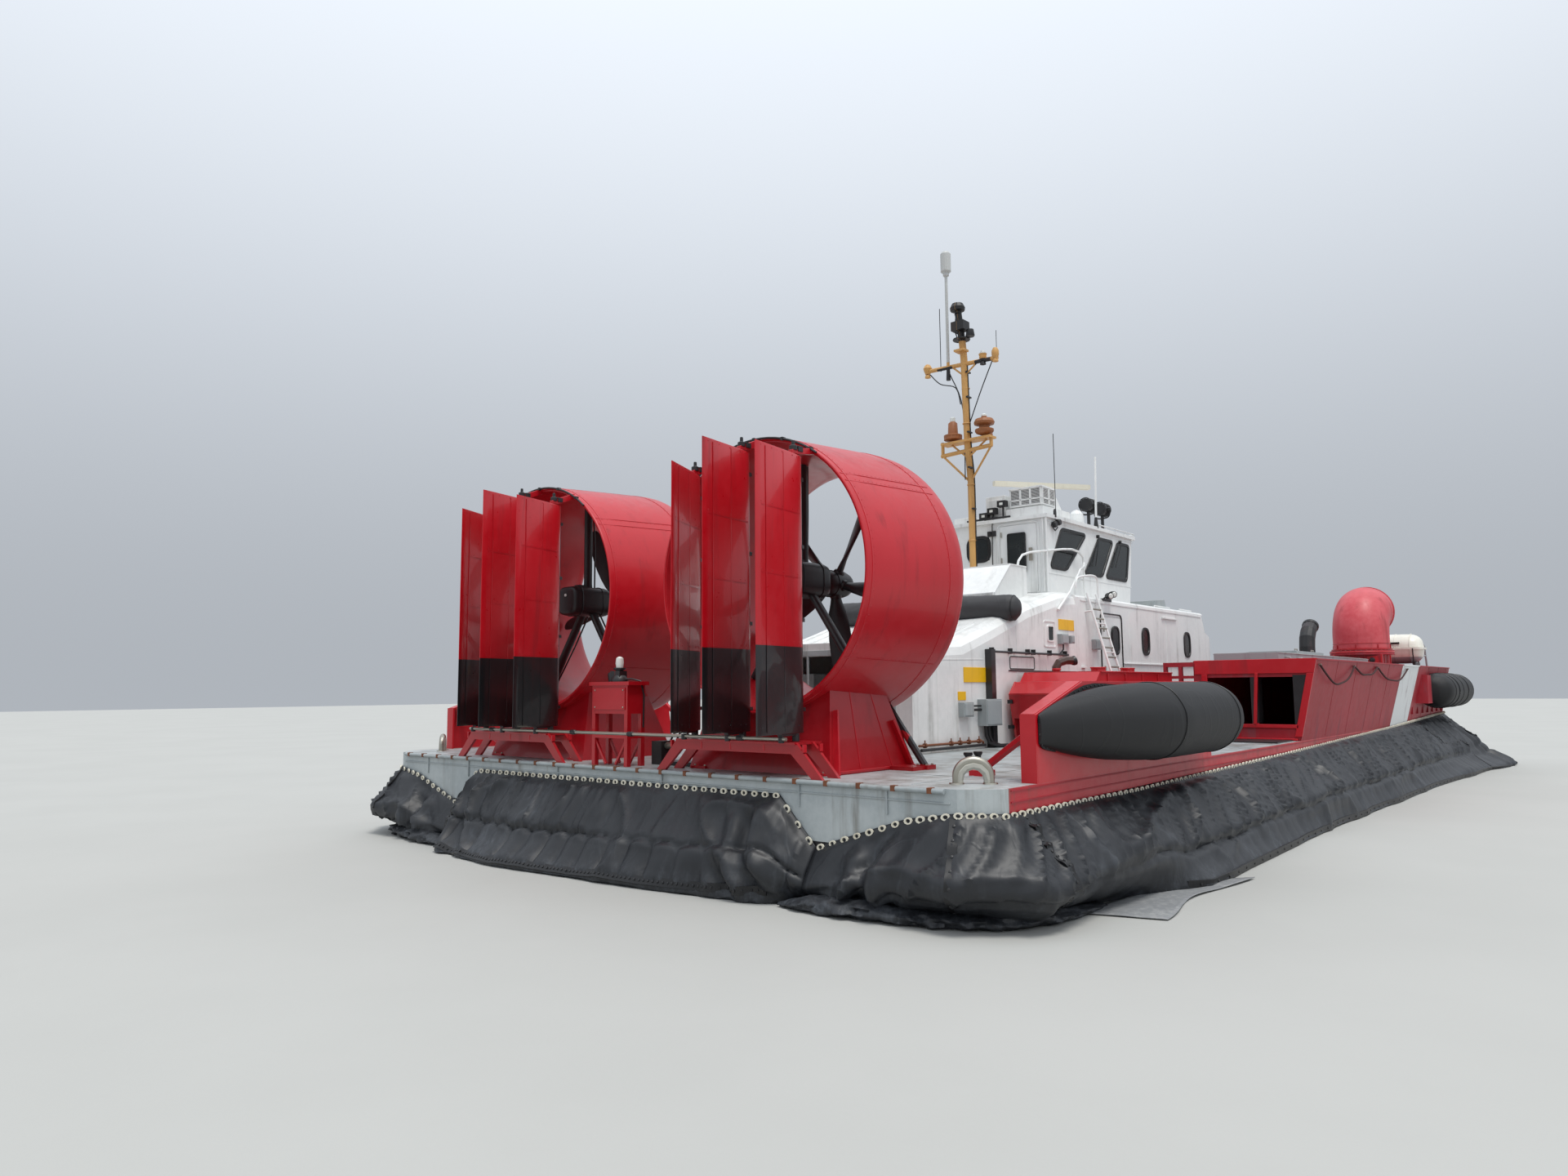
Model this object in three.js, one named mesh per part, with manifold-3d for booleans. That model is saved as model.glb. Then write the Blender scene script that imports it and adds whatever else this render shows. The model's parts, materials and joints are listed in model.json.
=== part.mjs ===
// Utility hovercraft, parked on its landing skids with the skirts down.
// Lengths are in millimetres, +Z up, +X towards the bow, +Y to port.
// Stations along X are measured forward from the transom, and the whole craft is
// moved aft by MIDSHIP_X at the end, so the origin is under the middle of the craft.

import * as THREE from 'three';
import Module from 'manifold-3d';
import { mergeVertices } from 'three/addons/utils/BufferGeometryUtils.js';

const wasm = await Module();
wasm.setup();

// Driving dimensions
const GAP = 0.4;
const MIDSHIP_X = 13430;
const DECK_Z = 1230;
const HALF_BEAM = 5300;
const TRANSOM_HALF = 4970;
const TRANSOM_CHAMFER = 280;
const SKIRT_TOP_Z = 1000;
const HULL_FOOT_Z = 350;
const BOW_X = 25700;
const BOW_CORNER_X = 24600;
const PLATE = 40;

const DUCT_Y = 2100;
const DUCT_Z = 3470;
const DUCT_AFT_X = 454;
const DUCT_FORWARD_X = 2330;
const DUCT_OUTER_R = 1588;
const PROPELLER_X = 1900;
const PROPELLER_R = 1375;
const BLADES = 5;

const RUDDER_PIVOT_X = 150;
const RUDDER_CHORD_AFT = 800;
const RUDDER_NOSE = 150;
const RUDDER_FOOT_Z = 1690;
const TRESTLE_TOP_Z = 1600;
const TIE_ROD_Z = 1640;

const CASING_HALF = 1900;
const CASING_AFT_X = 3900;
const CABIN_AFT_X = 9300;
const CABIN_FRONT_X = 16500;
const CABIN_ROOF_Z = 3850;
const WHEELHOUSE_HALF = 1350;
const WHEELHOUSE_AFT_X = 9340;
const WHEELHOUSE_FRONT_X = 13400;
const WHEELHOUSE_TOP_Z = 5350;

const SIDE_BODY_AFT_X = 10340;
const SIDE_BODY_TOP_Z = 2600;
const SIDE_BODY_INNER_Y = 3600;
const SIDE_BODY_OUTER_Y = 5600;

const THRUSTER_X = 19400;
const THRUSTER_Y = 4500;
const THRUSTER_SEAT_Z = 2975;
const THRUSTER_R = 600;

const RAMP_HINGE_X = BOW_X + 110;
const RAMP_HINGE_Z = DECK_Z + 90;
const RAMP_HALF = 1600;

// Turning shapes into solids

function faceOut(positions, triangles) {
  let volume = 0;
  for (let t = 0; t < triangles.length; t += 3) {
    const [a, b, c] = [0, 1, 2].map((corner) => {
      const at = 3 * triangles[t + corner];
      return new THREE.Vector3(positions[at], positions[at + 1], positions[at + 2]);
    });
    volume += a.dot(b.cross(c));
  }
  if (volume >= 0) return triangles;
  const turnedOver = [];
  for (let t = 0; t < triangles.length; t += 3) {
    turnedOver.push(triangles[t], triangles[t + 2], triangles[t + 1]);
  }
  return turnedOver;
}

function solid(geometry) {
  const bare = geometry.clone();
  bare.deleteAttribute('normal');
  bare.deleteAttribute('uv');
  const merged = mergeVertices(bare, 1e-3);
  const source = Array.from(merged.index.array);
  const triangles = [];
  for (let t = 0; t < source.length; t += 3) {
    const [a, b, c] = source.slice(t, t + 3);
    if (a !== b && b !== c && c !== a) triangles.push(a, b, c);
  }
  const positions = merged.attributes.position.array;
  return new wasm.Manifold(new wasm.Mesh({
    numProp: 3,
    vertProperties: new Float32Array(positions),
    triVerts: new Uint32Array(faceOut(positions, triangles)),
  }));
}

function geometryOf(body) {
  const mesh = body.getMesh();
  const geometry = new THREE.BufferGeometry();
  geometry.setAttribute('position', new THREE.BufferAttribute(new Float32Array(mesh.vertProperties), 3));
  geometry.setIndex(Array.from(mesh.triVerts));
  const flat = geometry.toNonIndexed();
  flat.computeVertexNormals();
  return flat;
}

const join = (...bodies) => bodies.flat().reduce((whole, body) => whole.add(body));
const cut = (body, ...tools) => tools.flat().reduce((left, tool) => left.subtract(tool), body);
const toPort = (body) => body.mirror([0, 1, 0]);
const withPortHalf = (half) => join(half, toPort(half));

// Simple shapes

function block(x0, x1, y0, y1, z0, z1) {
  const box = new THREE.BoxGeometry(x1 - x0, y1 - y0, z1 - z0);
  return solid(box.translate((x0 + x1) / 2, (y0 + y1) / 2, (z0 + z1) / 2));
}

// A body through closed sections that have the same number of [x, y, z] corners
function loft(sections) {
  const corners = sections[0].length;
  const positions = sections.flat(2);
  const triangles = [];
  for (let s = 0; s + 1 < sections.length; s += 1) {
    for (let c = 0; c < corners; c += 1) {
      const next = (c + 1) % corners;
      const a = s * corners + c;
      const b = s * corners + next;
      triangles.push(a, b, b + corners, a, b + corners, a + corners);
    }
  }
  const lastRing = (sections.length - 1) * corners;
  for (const [a, b, c] of lid(sections[0])) triangles.push(a, c, b);
  for (const face of lid(sections[sections.length - 1])) {
    triangles.push(...face.map((corner) => corner + lastRing));
  }
  const geometry = new THREE.BufferGeometry();
  geometry.setAttribute('position', new THREE.BufferAttribute(new Float32Array(positions), 3));
  geometry.setIndex(triangles);
  return solid(geometry);
}

// The triangles that close a section, each with its corners in the outline's own order
function lid(section) {
  const normal = new THREE.Vector3();
  section.forEach((point, i) => {
    const next = section[(i + 1) % section.length];
    normal.add(new THREE.Vector3(...point).cross(new THREE.Vector3(...next)));
  });
  const sizes = normal.toArray().map(Math.abs);
  const facing = sizes.indexOf(Math.max(...sizes));
  const [u, v] = [0, 1, 2].filter((axis) => axis !== facing);
  const outline = section.map((point) => new THREE.Vector2(point[u], point[v]));
  return THREE.ShapeUtils.triangulateShape(outline, []).map((face) => face.sort((a, b) => a - b));
}

// An outline of [x, z] corners, run across from y0 to y1
function acrossY(outline, y0, y1) {
  return loft([y0, y1].map((y) => outline.map(([x, z]) => [x, y, z])));
}

// An outline of [y, z] corners, run along from x0 to x1
function alongX(outline, x0, x1) {
  return loft([x0, x1].map((x) => outline.map(([y, z]) => [x, y, z])));
}

// An outline of [x, y] corners, raised from z0 to z1
function upZ(outline, z0, z1) {
  return loft([z0, z1].map((z) => outline.map(([x, y]) => [x, y, z])));
}

// A round bar through points
function pipe(points, radius, sides = 8) {
  const path = points.map((point) => new THREE.Vector3(...point));
  const tangents = path.map((point, i) => {
    const before = path[Math.max(i - 1, 0)];
    const after = path[Math.min(i + 1, path.length - 1)];
    return after.clone().sub(before).normalize();
  });
  const seed = Math.abs(tangents[0].z) < 0.9 ? new THREE.Vector3(0, 0, 1) : new THREE.Vector3(1, 0, 0);
  let across = seed.cross(tangents[0]).normalize();
  const sections = path.map((point, i) => {
    across = across.sub(tangents[i].clone().multiplyScalar(across.dot(tangents[i]))).normalize();
    const up = tangents[i].clone().cross(across);
    return Array.from({ length: sides }, (_, s) => {
      const angle = (2 * Math.PI * (s + 0.5)) / sides;
      const offset = across.clone().multiplyScalar(Math.cos(angle) * radius)
        .add(up.clone().multiplyScalar(Math.sin(angle) * radius));
      return point.clone().add(offset).toArray();
    });
  });
  return loft(sections);
}

// A profile of [radius, height] corners, turned about an upright axis
function turned(profile, segments = 16) {
  return solid(new THREE.LatheGeometry(profile.map(([r, h]) => new THREE.Vector2(r, h)), segments));
}

// The same, with the profile's height running forward along X
function turnedAlongX(profile, segments = 32) {
  return turned(profile, segments).rotate([0, 0, -90]);
}

// The same, with the profile's height running up Z
function turnedUpZ(profile, segments = 16) {
  return turned(profile, segments).rotate([90, 0, 0]);
}

// The craft and its paints

const craft = new THREE.Group();
const PAINTS = {
  red: [0xb5121f, 0.45, 0.1],
  white: [0xe4e4e0, 0.5, 0.0],
  grey: [0x9aa3a3, 0.5, 0.3],
  black: [0x1b1c1e, 0.5, 0.1],
  rubber: [0x2b2e32, 0.8, 0.0],
  ochre: [0xc8955a, 0.6, 0.0],
  glass: [0x1c2624, 0.1, 0.0],
  steel: [0xa8a69c, 0.3, 0.9],
};

function add(name, body, paint) {
  const [color, roughness, metalness] = PAINTS[paint];
  const material = new THREE.MeshStandardMaterial({ color, roughness, metalness });
  const mesh = new THREE.Mesh(geometryOf(body), material);
  mesh.name = name;
  mesh.position.x = -MIDSHIP_X;
  craft.add(mesh);
}

function addBothSides(stem, starboardBody, paint) {
  add(`${stem}_starboard`, starboardBody, paint);
  add(`${stem}_port`, toPort(starboardBody), paint);
}

// Raft: the buoyancy hull with its deck, the mooring loops on its stern corners,
// the wear deck ahead of the cabin and the lugs of the bow ramp

// Columns: station x, half beam, skirt line z, underside z
const RAFT_STATIONS = [
  [0, TRANSOM_HALF, SKIRT_TOP_Z, 480],
  [TRANSOM_CHAMFER, HALF_BEAM, SKIRT_TOP_Z, 420],
  [1500, HALF_BEAM, SKIRT_TOP_Z, HULL_FOOT_Z],
  [10700, HALF_BEAM, 1100, HULL_FOOT_Z],
  [17500, HALF_BEAM, 1190, HULL_FOOT_Z],
  [BOW_CORNER_X, HALF_BEAM, 1200, 500],
  [25300, 4900, 1200, 650],
  [BOW_X, 3900, 1200, 800],
];

function raftSection([x, half, skirtZ, footZ], grow = 0) {
  const bilge = half - 700;
  const keel = half - 1500;
  return [
    [x, 0, DECK_Z + grow],
    [x, -half - grow, DECK_Z + grow],
    [x, -half - grow, skirtZ - grow],
    [x, -bilge - grow, (skirtZ + footZ) / 2 - grow],
    [x, -keel - grow, footZ - grow],
    [x, 0, footZ - grow],
  ];
}

const raftHull = withPortHalf(loft(RAFT_STATIONS.map((row) => raftSection(row))));
const raftEnvelope = withPortHalf(loft(RAFT_STATIONS.map((row) => raftSection(row, GAP))));

function mooringLoop(side) {
  const [aft, fore] = [[480, -4680 * side], [670, -4940 * side]];
  const [half, top] = [140, DECK_Z + 225];
  const middle = [(aft[0] + fore[0]) / 2, (aft[1] + fore[1]) / 2];
  const along = [(fore[0] - aft[0]) / 320, (fore[1] - aft[1]) / 320];
  const path = [[-1, DECK_Z - 60]];
  for (let step = 0; step <= 6; step += 1) {
    const angle = Math.PI * (1 - step / 6);
    path.push([Math.cos(angle), top - half - 45 + half * Math.sin(angle)]);
  }
  path.push([1, DECK_Z - 60]);
  return pipe(path.map(([u, z]) => [middle[0] + along[0] * u * half, middle[1] + along[1] * u * half, z]), 45);
}

const wearDeck = block(17200, BOW_CORNER_X, -3400, 3400, DECK_Z - 50, DECK_Z + 12);
const KNUCKLE_Y = 1200;
const lugOutline = [[BOW_X - 300, DECK_Z - 20], [BOW_X - 10, DECK_Z - 20], [BOW_X, DECK_Z + 20],
  [RAMP_HINGE_X + 45, RAMP_HINGE_Z - 45], [RAMP_HINGE_X + 45, RAMP_HINGE_Z + 45], [BOW_X - 300, DECK_Z + 70]];
const rampLugs = [-KNUCKLE_Y, KNUCKLE_Y].flatMap((y) => [
  acrossY(lugOutline, y - 100, y - 50),
  acrossY(lugOutline, y + 50, y + 100),
]);
add('raft', join(raftHull, wearDeck, mooringLoop(1), mooringLoop(-1), ...rampLugs), 'grey');

// Landing skids under the raft
const SKID_Y = 2600;
const skid = acrossY([[1800, 0], [21000, 0], [21600, HULL_FOOT_Z - GAP], [1500, HULL_FOOT_Z - GAP]],
  -SKID_Y - 150, -SKID_Y + 150);
addBothSides('landing_skid', skid, 'grey');

// Side bodies: the lift fan and engine rooms along both sides, with their air intakes aft

// Columns: foot x, top x, outer y at the foot, outer y at the top
const SIDE_BODY_STATIONS = [
  [SIDE_BODY_AFT_X, SIDE_BODY_AFT_X, HALF_BEAM, SIDE_BODY_OUTER_Y],
  [BOW_CORNER_X, 24300, HALF_BEAM, SIDE_BODY_OUTER_Y],
  [25300, 24700, 4900, 5150],
];

function sideBodySection([footX, topX, footY, topY], shrink = 0) {
  return [
    [footX, -footY + shrink, DECK_Z],
    [topX, -topY + shrink, SIDE_BODY_TOP_Z - shrink],
    [topX, -SIDE_BODY_INNER_Y - shrink, SIDE_BODY_TOP_Z - shrink],
    [footX, -SIDE_BODY_INNER_Y - shrink, DECK_Z],
  ];
}

const sideShell = (shrink) => loft(SIDE_BODY_STATIONS.map((row) => sideBodySection(row, shrink)));
const ROOM_FRONT_X = 18400;
const COAMING_TOP_Z = SIDE_BODY_TOP_Z + 130;
const BULWARK_TOP_Z = 1950;

// The low wall along the bow's edge, from the side body to the ramp
function bulwark(grow) {
  const [outer, inner, end] = [BOW_X - 10 + grow, BOW_X - 90, -1750 + grow];
  return upZ([[24900, -5110 - grow], [25299 + grow, -4890 - grow], [outer, -3900 - grow], [outer, end],
    [inner, end], [inner, -3870], [25235, -4810], [24900, -5000]], DECK_Z, BULWARK_TOP_Z + grow);
}

function sideBody() {
  const roomRows = [SIDE_BODY_AFT_X + PLATE, ROOM_FRONT_X].map((x) => [x, x, HALF_BEAM, SIDE_BODY_OUTER_Y]);
  const room = loft(roomRows.map((row) => sideBodySection(row, PLATE)));
  const intakes = [[-5230, -4650], [-4550, -3800]].map(([y0, y1]) => (
    block(SIDE_BODY_AFT_X - 100, SIDE_BODY_AFT_X + 200, y0, y1, 1500, 2300)));
  const coaming = block(11000, 18200, -4850, -3750, SIDE_BODY_TOP_Z - 30, COAMING_TOP_Z);
  const housing = block(THRUSTER_X - 500, THRUSTER_X + 500, -THRUSTER_Y - 500, -THRUSTER_Y + 500,
    SIDE_BODY_TOP_Z - 100, THRUSTER_SEAT_Z - 100);
  const flange = turnedUpZ([[0, THRUSTER_SEAT_Z - 110], [680, THRUSTER_SEAT_Z - 110],
    [680, THRUSTER_SEAT_Z - 8], [0, THRUSTER_SEAT_Z - 8]], 24).translate([THRUSTER_X, -THRUSTER_Y, 0]);
  const stackPath = [[16500, -4000, 2600], [16500, -4000, 3000], [16550, -4000, 3200],
    [16680, -4000, 3360], [16880, -4000, 3480]];
  const shell = cut(sideShell(0), room, ...intakes);
  return cut(join(shell, coaming, housing, flange, pipe(stackPath, 160, 12), bulwark(0), intakeFrame(), ...deckRails(),
    fenderBacking), raftEnvelope);
}

// The open frame inboard of the intakes: a top beam, a rail and two posts
function intakeFrame() {
  const [aft, fore] = [SIDE_BODY_AFT_X + 10, SIDE_BODY_AFT_X + 90];
  const [inboard, outboard] = [-3060, -SIDE_BODY_INNER_Y - 30];
  return join(
    block(aft, fore, outboard, inboard, 2500, 2580),
    block(aft, fore, outboard, inboard, 2290, 2340),
    ...[inboard - 60, inboard - 330].map((y) => block(aft, fore, y, y + 60, DECK_Z, 2520)),
  );
}

// The hoop rail ahead of the life raft, with its middle rail
function deckRails() {
  const [y, foot] = [-5250, SIDE_BODY_TOP_Z - 30];
  return [
    pipe([[22050, y, foot], [22050, y, 3050], [22200, y, 3220], [22800, y, 3220], [23050, y, 3130], [23250, y, foot]], 24, 8),
    pipe([[22050, y, 2900], [23150, y, 2900]], 18, 8),
  ];
}

// The board that the bow fender's aft end is fixed to
const fenderBacking = acrossY([[20300, 1700], [20420, 2380], [20899, 2380], [20899, 1700]], -5660, -5380);

addBothSides('side_body', sideBody(), 'red');

// Deck hatches on the side bodies' coamings, hinged at their inboard edge
const hatch = block(12600, 14600, -4750, -3850, COAMING_TOP_Z + 6, COAMING_TOP_Z + 70);
addBothSides('hatch', hatch, 'grey');

// Skirts: deflated bags that hang from the raft's edge to the ground

// A bag's section. Columns: share of the bulge, share of the hem's reach, share of the skirt line's height
const BAG_SECTION = [
  [0, 0, 1.0],
  [0.22, 0, 0.98],
  [0.78, 0, 0.74],
  [1.0, 0, 0.5],
  [0.45, 0.55, 0.22],
  [0, 1.0, 0.03],
  [0, 0.95, 0.0],
];
const BAG_FOOT_WIDTH = 1100;
const BAG_HEEL = 600;

function bagSections(rows) {
  return rows.map(({ edge, out, top, bulge, hem }) => {
    const at = (distance, height) => [edge[0] + out[0] * distance, edge[1] + out[1] * distance, height];
    const outer = BAG_SECTION.map(([b, h, share]) => at(GAP + bulge * b + hem * h, share * top));
    return [...outer, at(hem - BAG_FOOT_WIDTH, 0), at(-BAG_HEEL, 0.45 * top)];
  });
}

// Outboard direction, in degrees from straight aft towards starboard
function outward(degrees) {
  const angle = THREE.MathUtils.degToRad(degrees);
  return [-Math.cos(angle), -Math.sin(angle)];
}

const bagRow = ([x, y, degrees, top, bulge, hem]) => ({ edge: [x, y], out: outward(degrees), top, bulge, hem });
const NOTCH_Y = 3320;
// Columns: edge x, edge y, outward direction, skirt line z, bulge, hem's reach
const SIDE_BAG = [
  [0, -NOTCH_Y - GAP, 0, 560, 220, -60],
  [0, -4420, 5, 920, 330, -200],
  [0, -TRANSOM_HALF, 25, 1010, 380, -400],
  [TRANSOM_CHAMFER, -HALF_BEAM, 70, 1000, 450, -150],
  [2200, -HALF_BEAM, 90, 1000, 560, 290],
  [3300, -HALF_BEAM, 90, 1000, 570, 790],
  [9200, -HALF_BEAM, 90, 1085, 600, 690],
  [17500, -HALF_BEAM, 90, 1230, 640, 880],
  [22700, -HALF_BEAM, 92, 1370, 740, 1180],
  [BOW_CORNER_X, -HALF_BEAM, 123.5, 1410, 900, 1810],
];
const STERN_BAG = [
  [0, -NOTCH_Y, 0, 560, 200, -60],
  [0, -2830, 0, 1060, 420, 400],
  [0, -1300, 0, 1060, 480, 620],
  [0, 0, 0, 1060, 500, 720],
  [0, 1300, 0, 1060, 500, 820],
  [0, 2830, 0, 1060, 450, 660],
  [0, NOTCH_Y, 0, 560, 200, -60],
];
const BOW_BAG = [
  [BOW_CORNER_X + 2, -HALF_BEAM + 2, 123.5, 1410, 900, 1800],
  [25300, -4900, 150, 1350, 950, 1900],
  [BOW_X, -3900, 172, 1250, 950, 1960],
  [BOW_X, -1900, 180, 1200, 950, 1980],
  [BOW_X, 1900, 180, 1200, 950, 1980],
  [BOW_X, 3900, 188, 1250, 950, 1960],
  [25300, 4900, 210, 1350, 950, 1900],
  [BOW_CORNER_X + 2, HALF_BEAM - 2, 236.5, 1410, 900, 1800],
];
const [sideBag, sternBag, bowBag] = [SIDE_BAG, STERN_BAG, BOW_BAG].map((rows) => loft(bagSections(rows.map(bagRow))));
const starboardCarrier = join(sideShell(-GAP), bulwark(1));
const carriers = [raftEnvelope, starboardCarrier, toPort(starboardCarrier)];
addBothSides('skirt_side', cut(sideBag, ...carriers), 'rubber');
add('skirt_stern', cut(sternBag, ...carriers, sideBag, toPort(sideBag)), 'rubber');
add('skirt_bow', cut(bowBag, ...carriers, sideBag, toPort(sideBag)), 'rubber');

// Bow thrusters: nozzles that swivel on their seats
function thrusterNozzle() {
  const [bend, neck] = [640, 335];
  const elbow = [];
  for (let step = 0; step <= 6; step += 1) {
    const angle = (Math.PI / 2) * (step / 6);
    elbow.push([bend * (1 - Math.cos(angle)), 0, neck + bend * Math.sin(angle)]);
  }
  const outer = pipe([[0, 0, 0], [0, 0, 200], ...elbow, [900, 0, neck + bend]], THRUSTER_R, 20);
  const bore = pipe([elbow[5], elbow[6], [1200, 0, neck + bend]], THRUSTER_R - 50, 20);
  return cut(outer, bore, block(760, 2000, -900, 900, -10, 2000)).translate([THRUSTER_X, -THRUSTER_Y, THRUSTER_SEAT_Z]);
}
addBothSides('thruster_nozzle', thrusterNozzle(), 'red');

// Life rafts in their canisters, lying across the side bodies on cradles
const CANISTER = { x: 21400, y: -4900, z: SIDE_BODY_TOP_Z + 450, half: 600, radius: 370 };
const canisterHalf = [[370, 0], [370, 220], [330, 420], [200, 560], [0, 600]];
const canisterProfile = [...canisterHalf.slice(1).reverse().map(([r, h]) => [r, -h]), ...canisterHalf.slice(1)];
const seam = upZ([[-400, -380], [-330, -520], [-180, -620], [180, -620], [330, -520], [400, -380],
  [400, 380], [330, 520], [180, 620], [-180, 620], [-330, 520], [-400, 380]], -14, 14);
addBothSides('life_raft', join(
  join(turnedAlongX(canisterProfile, 16).rotate([0, 0, 90]), seam).translate([CANISTER.x, CANISTER.y, CANISTER.z]),
  ...[-300, 300].map((y) => block(CANISTER.x - 330, CANISTER.x + 330, CANISTER.y + y - 40, CANISTER.y + y + 40,
    SIDE_BODY_TOP_Z + GAP, CANISTER.z - 180)),
), 'white');

// Fenders: air-filled black cylinders on the aft sides and at the bow corners
const FENDER_R = 425;
const fenderProfile = [[0, 0], [60, 40], [FENDER_R, 2150], [FENDER_R, 4060], [370, 4310], [220, 4460], [0, 4500]];
const fender = cut(turnedAlongX(fenderProfile, 16).translate([950, -5560, 1775]),
  block(0, 8000, -HALF_BEAM - GAP, 0, 0, 4000));
addBothSides('fender', fender, 'rubber');

const FRAME_FRONT_X = 5900;
const framePanel = acrossY([[950, DECK_Z + GAP], [950, 1890], [2010, 2210], [FRAME_FRONT_X - 150, 2210],
  [FRAME_FRONT_X, DECK_Z + GAP]], -HALF_BEAM, -HALF_BEAM + 60);
// Columns: station x, z at the panel
const FRAME_STRUTS = [[1100, 1800], [2500, 2150], [4000, 2150], [5400, 2150]];
const frameStruts = FRAME_STRUTS.flatMap(([x, z]) => [
  pipe([[x, -HALF_BEAM + 30, z], [x + 350, -4400, DECK_Z + 60]], 45, 6),
  block(x + 250, x + 450, -4500, -4300, DECK_Z + GAP, DECK_Z + 60),
]);
const frameFlange = acrossY([[950, 1865], [950, 1895], [2005, 2216], [FRAME_FRONT_X - 145, 2216],
  [FRAME_FRONT_X - 145, 2190], [2010, 2190]], -HALF_BEAM + 20, -HALF_BEAM + 170);
const framePost = block(932, 962, -HALF_BEAM + 1, -HALF_BEAM + 170, DECK_Z + GAP, 1890);
addBothSides('fender_frame', join(framePanel, frameFlange, framePost, ...frameStruts), 'red');

const bowFenderProfile = [[0, 0], [250, 60], [380, 220], [FENDER_R, 500], [FENDER_R, 3500], [370, 3780],
  [230, 3940], [0, 4000]];
addBothSides('bow_fender', cut(
  turnedAlongX(bowFenderProfile, 16).translate([20900, -5680, 2000]),
  sideShell(-GAP), raftEnvelope, sideBag), 'rubber');

// Ducts with their pedestals
const DUCT_PROFILE = [
  [DUCT_OUTER_R - 30, DUCT_AFT_X], [DUCT_OUTER_R, DUCT_AFT_X], [1640, 1200], [1690, 2080],
  [1675, 2220], [1620, 2300], [1560, DUCT_FORWARD_X], [1500, 2300], [1440, 2200],
  [1412, 2000], [1408, 1750], [1450, 1200], [1545, DUCT_AFT_X], [DUCT_OUTER_R - 30, DUCT_AFT_X],
];
const atDuct = (body) => body.translate([0, -DUCT_Y, DUCT_Z]);

// Columns: offset from the duct's axis, top z of the rudder below. Brackets from the rim hold the rudders' heads.
const RUDDER_HEADS = [[-825, 4700], [-50, 4870], [710, 4700]];
const RIM_R = DUCT_OUTER_R - 15;
const headBrackets = RUDDER_HEADS.map(([offset, topZ]) => {
  const rimZ = DUCT_Z + Math.sqrt(RIM_R * RIM_R - offset * offset);
  return acrossY([[480, rimZ + 8], [445, rimZ + 8], [100, topZ + 48], [100, topZ + 8], [200, topZ + 8], [480, rimZ - 60]],
    offset - DUCT_Y - 30, offset - DUCT_Y + 30);
});
const ductThroat = turnedAlongX([[0, 300], [1544, DUCT_AFT_X], [1449, 1200], [0, 1200]], 48);
addBothSides('duct', join(atDuct(turnedAlongX(DUCT_PROFILE, 48)), ...headBrackets.map((arm) => cut(arm, atDuct(ductThroat)))),
  'red');

function pedestal() {
  const skin = turnedAlongX([[0, DUCT_AFT_X - 300], [DUCT_OUTER_R + 1, DUCT_AFT_X - 300],
    [DUCT_OUTER_R + 1, DUCT_AFT_X], [1641, 1200], [1691, 2080], [1691, 3200], [0, 3200]], 48);
  const level = (z, x0, x1, half) => [[x0, -half, z], [x1, -half, z], [x1, half, z], [x0, half, z]]
    .map(([x, y, height]) => [x, y - DUCT_Y, height]);
  const wedge = loft([level(DECK_Z + GAP, 410, 2040, 1070), level(2350, 700, 1580, 860)]);
  const strut = pipe([[2030, -DUCT_Y - 630, 2040], [1830, -3440, DECK_Z + 40]], 45, 8);
  const strutFoot = block(1740, 1920, -3530, -3350, DECK_Z + GAP, DECK_Z + 50);
  return cut(join(wedge, block(1500, 1800, -3500, -2700, DECK_Z + GAP, DECK_Z + 45), strut, strutFoot), atDuct(skin));
}

// The trestle that carries the rudders' feet behind a duct. Columns: offset from the duct's axis, z
const TRESTLE_OUTLINE = [[-1300, DECK_Z + GAP], [-950, TRESTLE_TOP_Z], [850, TRESTLE_TOP_Z], [1200, DECK_Z + GAP],
  [1060, DECK_Z + GAP], [780, 1480], [-880, 1480], [-1160, DECK_Z + GAP]];
const trestlePlates = [[0, 40], [270, 310]].map(([x0, x1]) => (
  alongX(TRESTLE_OUTLINE.map(([offset, z]) => [offset - DUCT_Y, z]), x0, x1)));
const trestleTop = block(-20, 430, -DUCT_Y - 950, -DUCT_Y + 850, TRESTLE_TOP_Z - 25, TRESTLE_TOP_Z);
const trestleLink = block(300, 600, -DUCT_Y - 600, -DUCT_Y + 600, TRESTLE_TOP_Z - 65, TRESTLE_TOP_Z - 20);
addBothSides('duct_pedestal', join(pedestal(), trestleTop, trestleLink, ...trestlePlates), 'red');

// Propeller gearboxes on their struts inside the ducts
function gearbox() {
  const body = turnedAlongX([[0, 900], [170, 900], [220, 980], [220, 1560], [150, 1640], [0, 1640]], 12);
  const struts = [35, -35, 180].map((tilt) => pipe([[1300, 0, 0], [1300, 0, -1420]], 60, 8).rotate([tilt, 0, 0]));
  const throat = turnedAlongX([[0, 800], [1480, 800], [1449, 1200], [1407, 1750], [1407, 1900], [0, 1900]], 48);
  return atDuct(join(body, ...struts).intersect(throat));
}
addBothSides('propeller_gearbox', gearbox(), 'black');

// Propellers, five blades each, clockwise angles from the top seen from astern
const BLADE_ZERO_DEG = -43;
// Columns: radius, chord, blade angle from the disc in degrees, half thickness
const BLADE_STATIONS = [
  [140, 150, 60, 40],
  [350, 220, 48, 26],
  [700, 290, 36, 18],
  [1050, 270, 28, 13],
  [1300, 200, 24, 9],
  [PROPELLER_R, 120, 22, 6],
];

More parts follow.
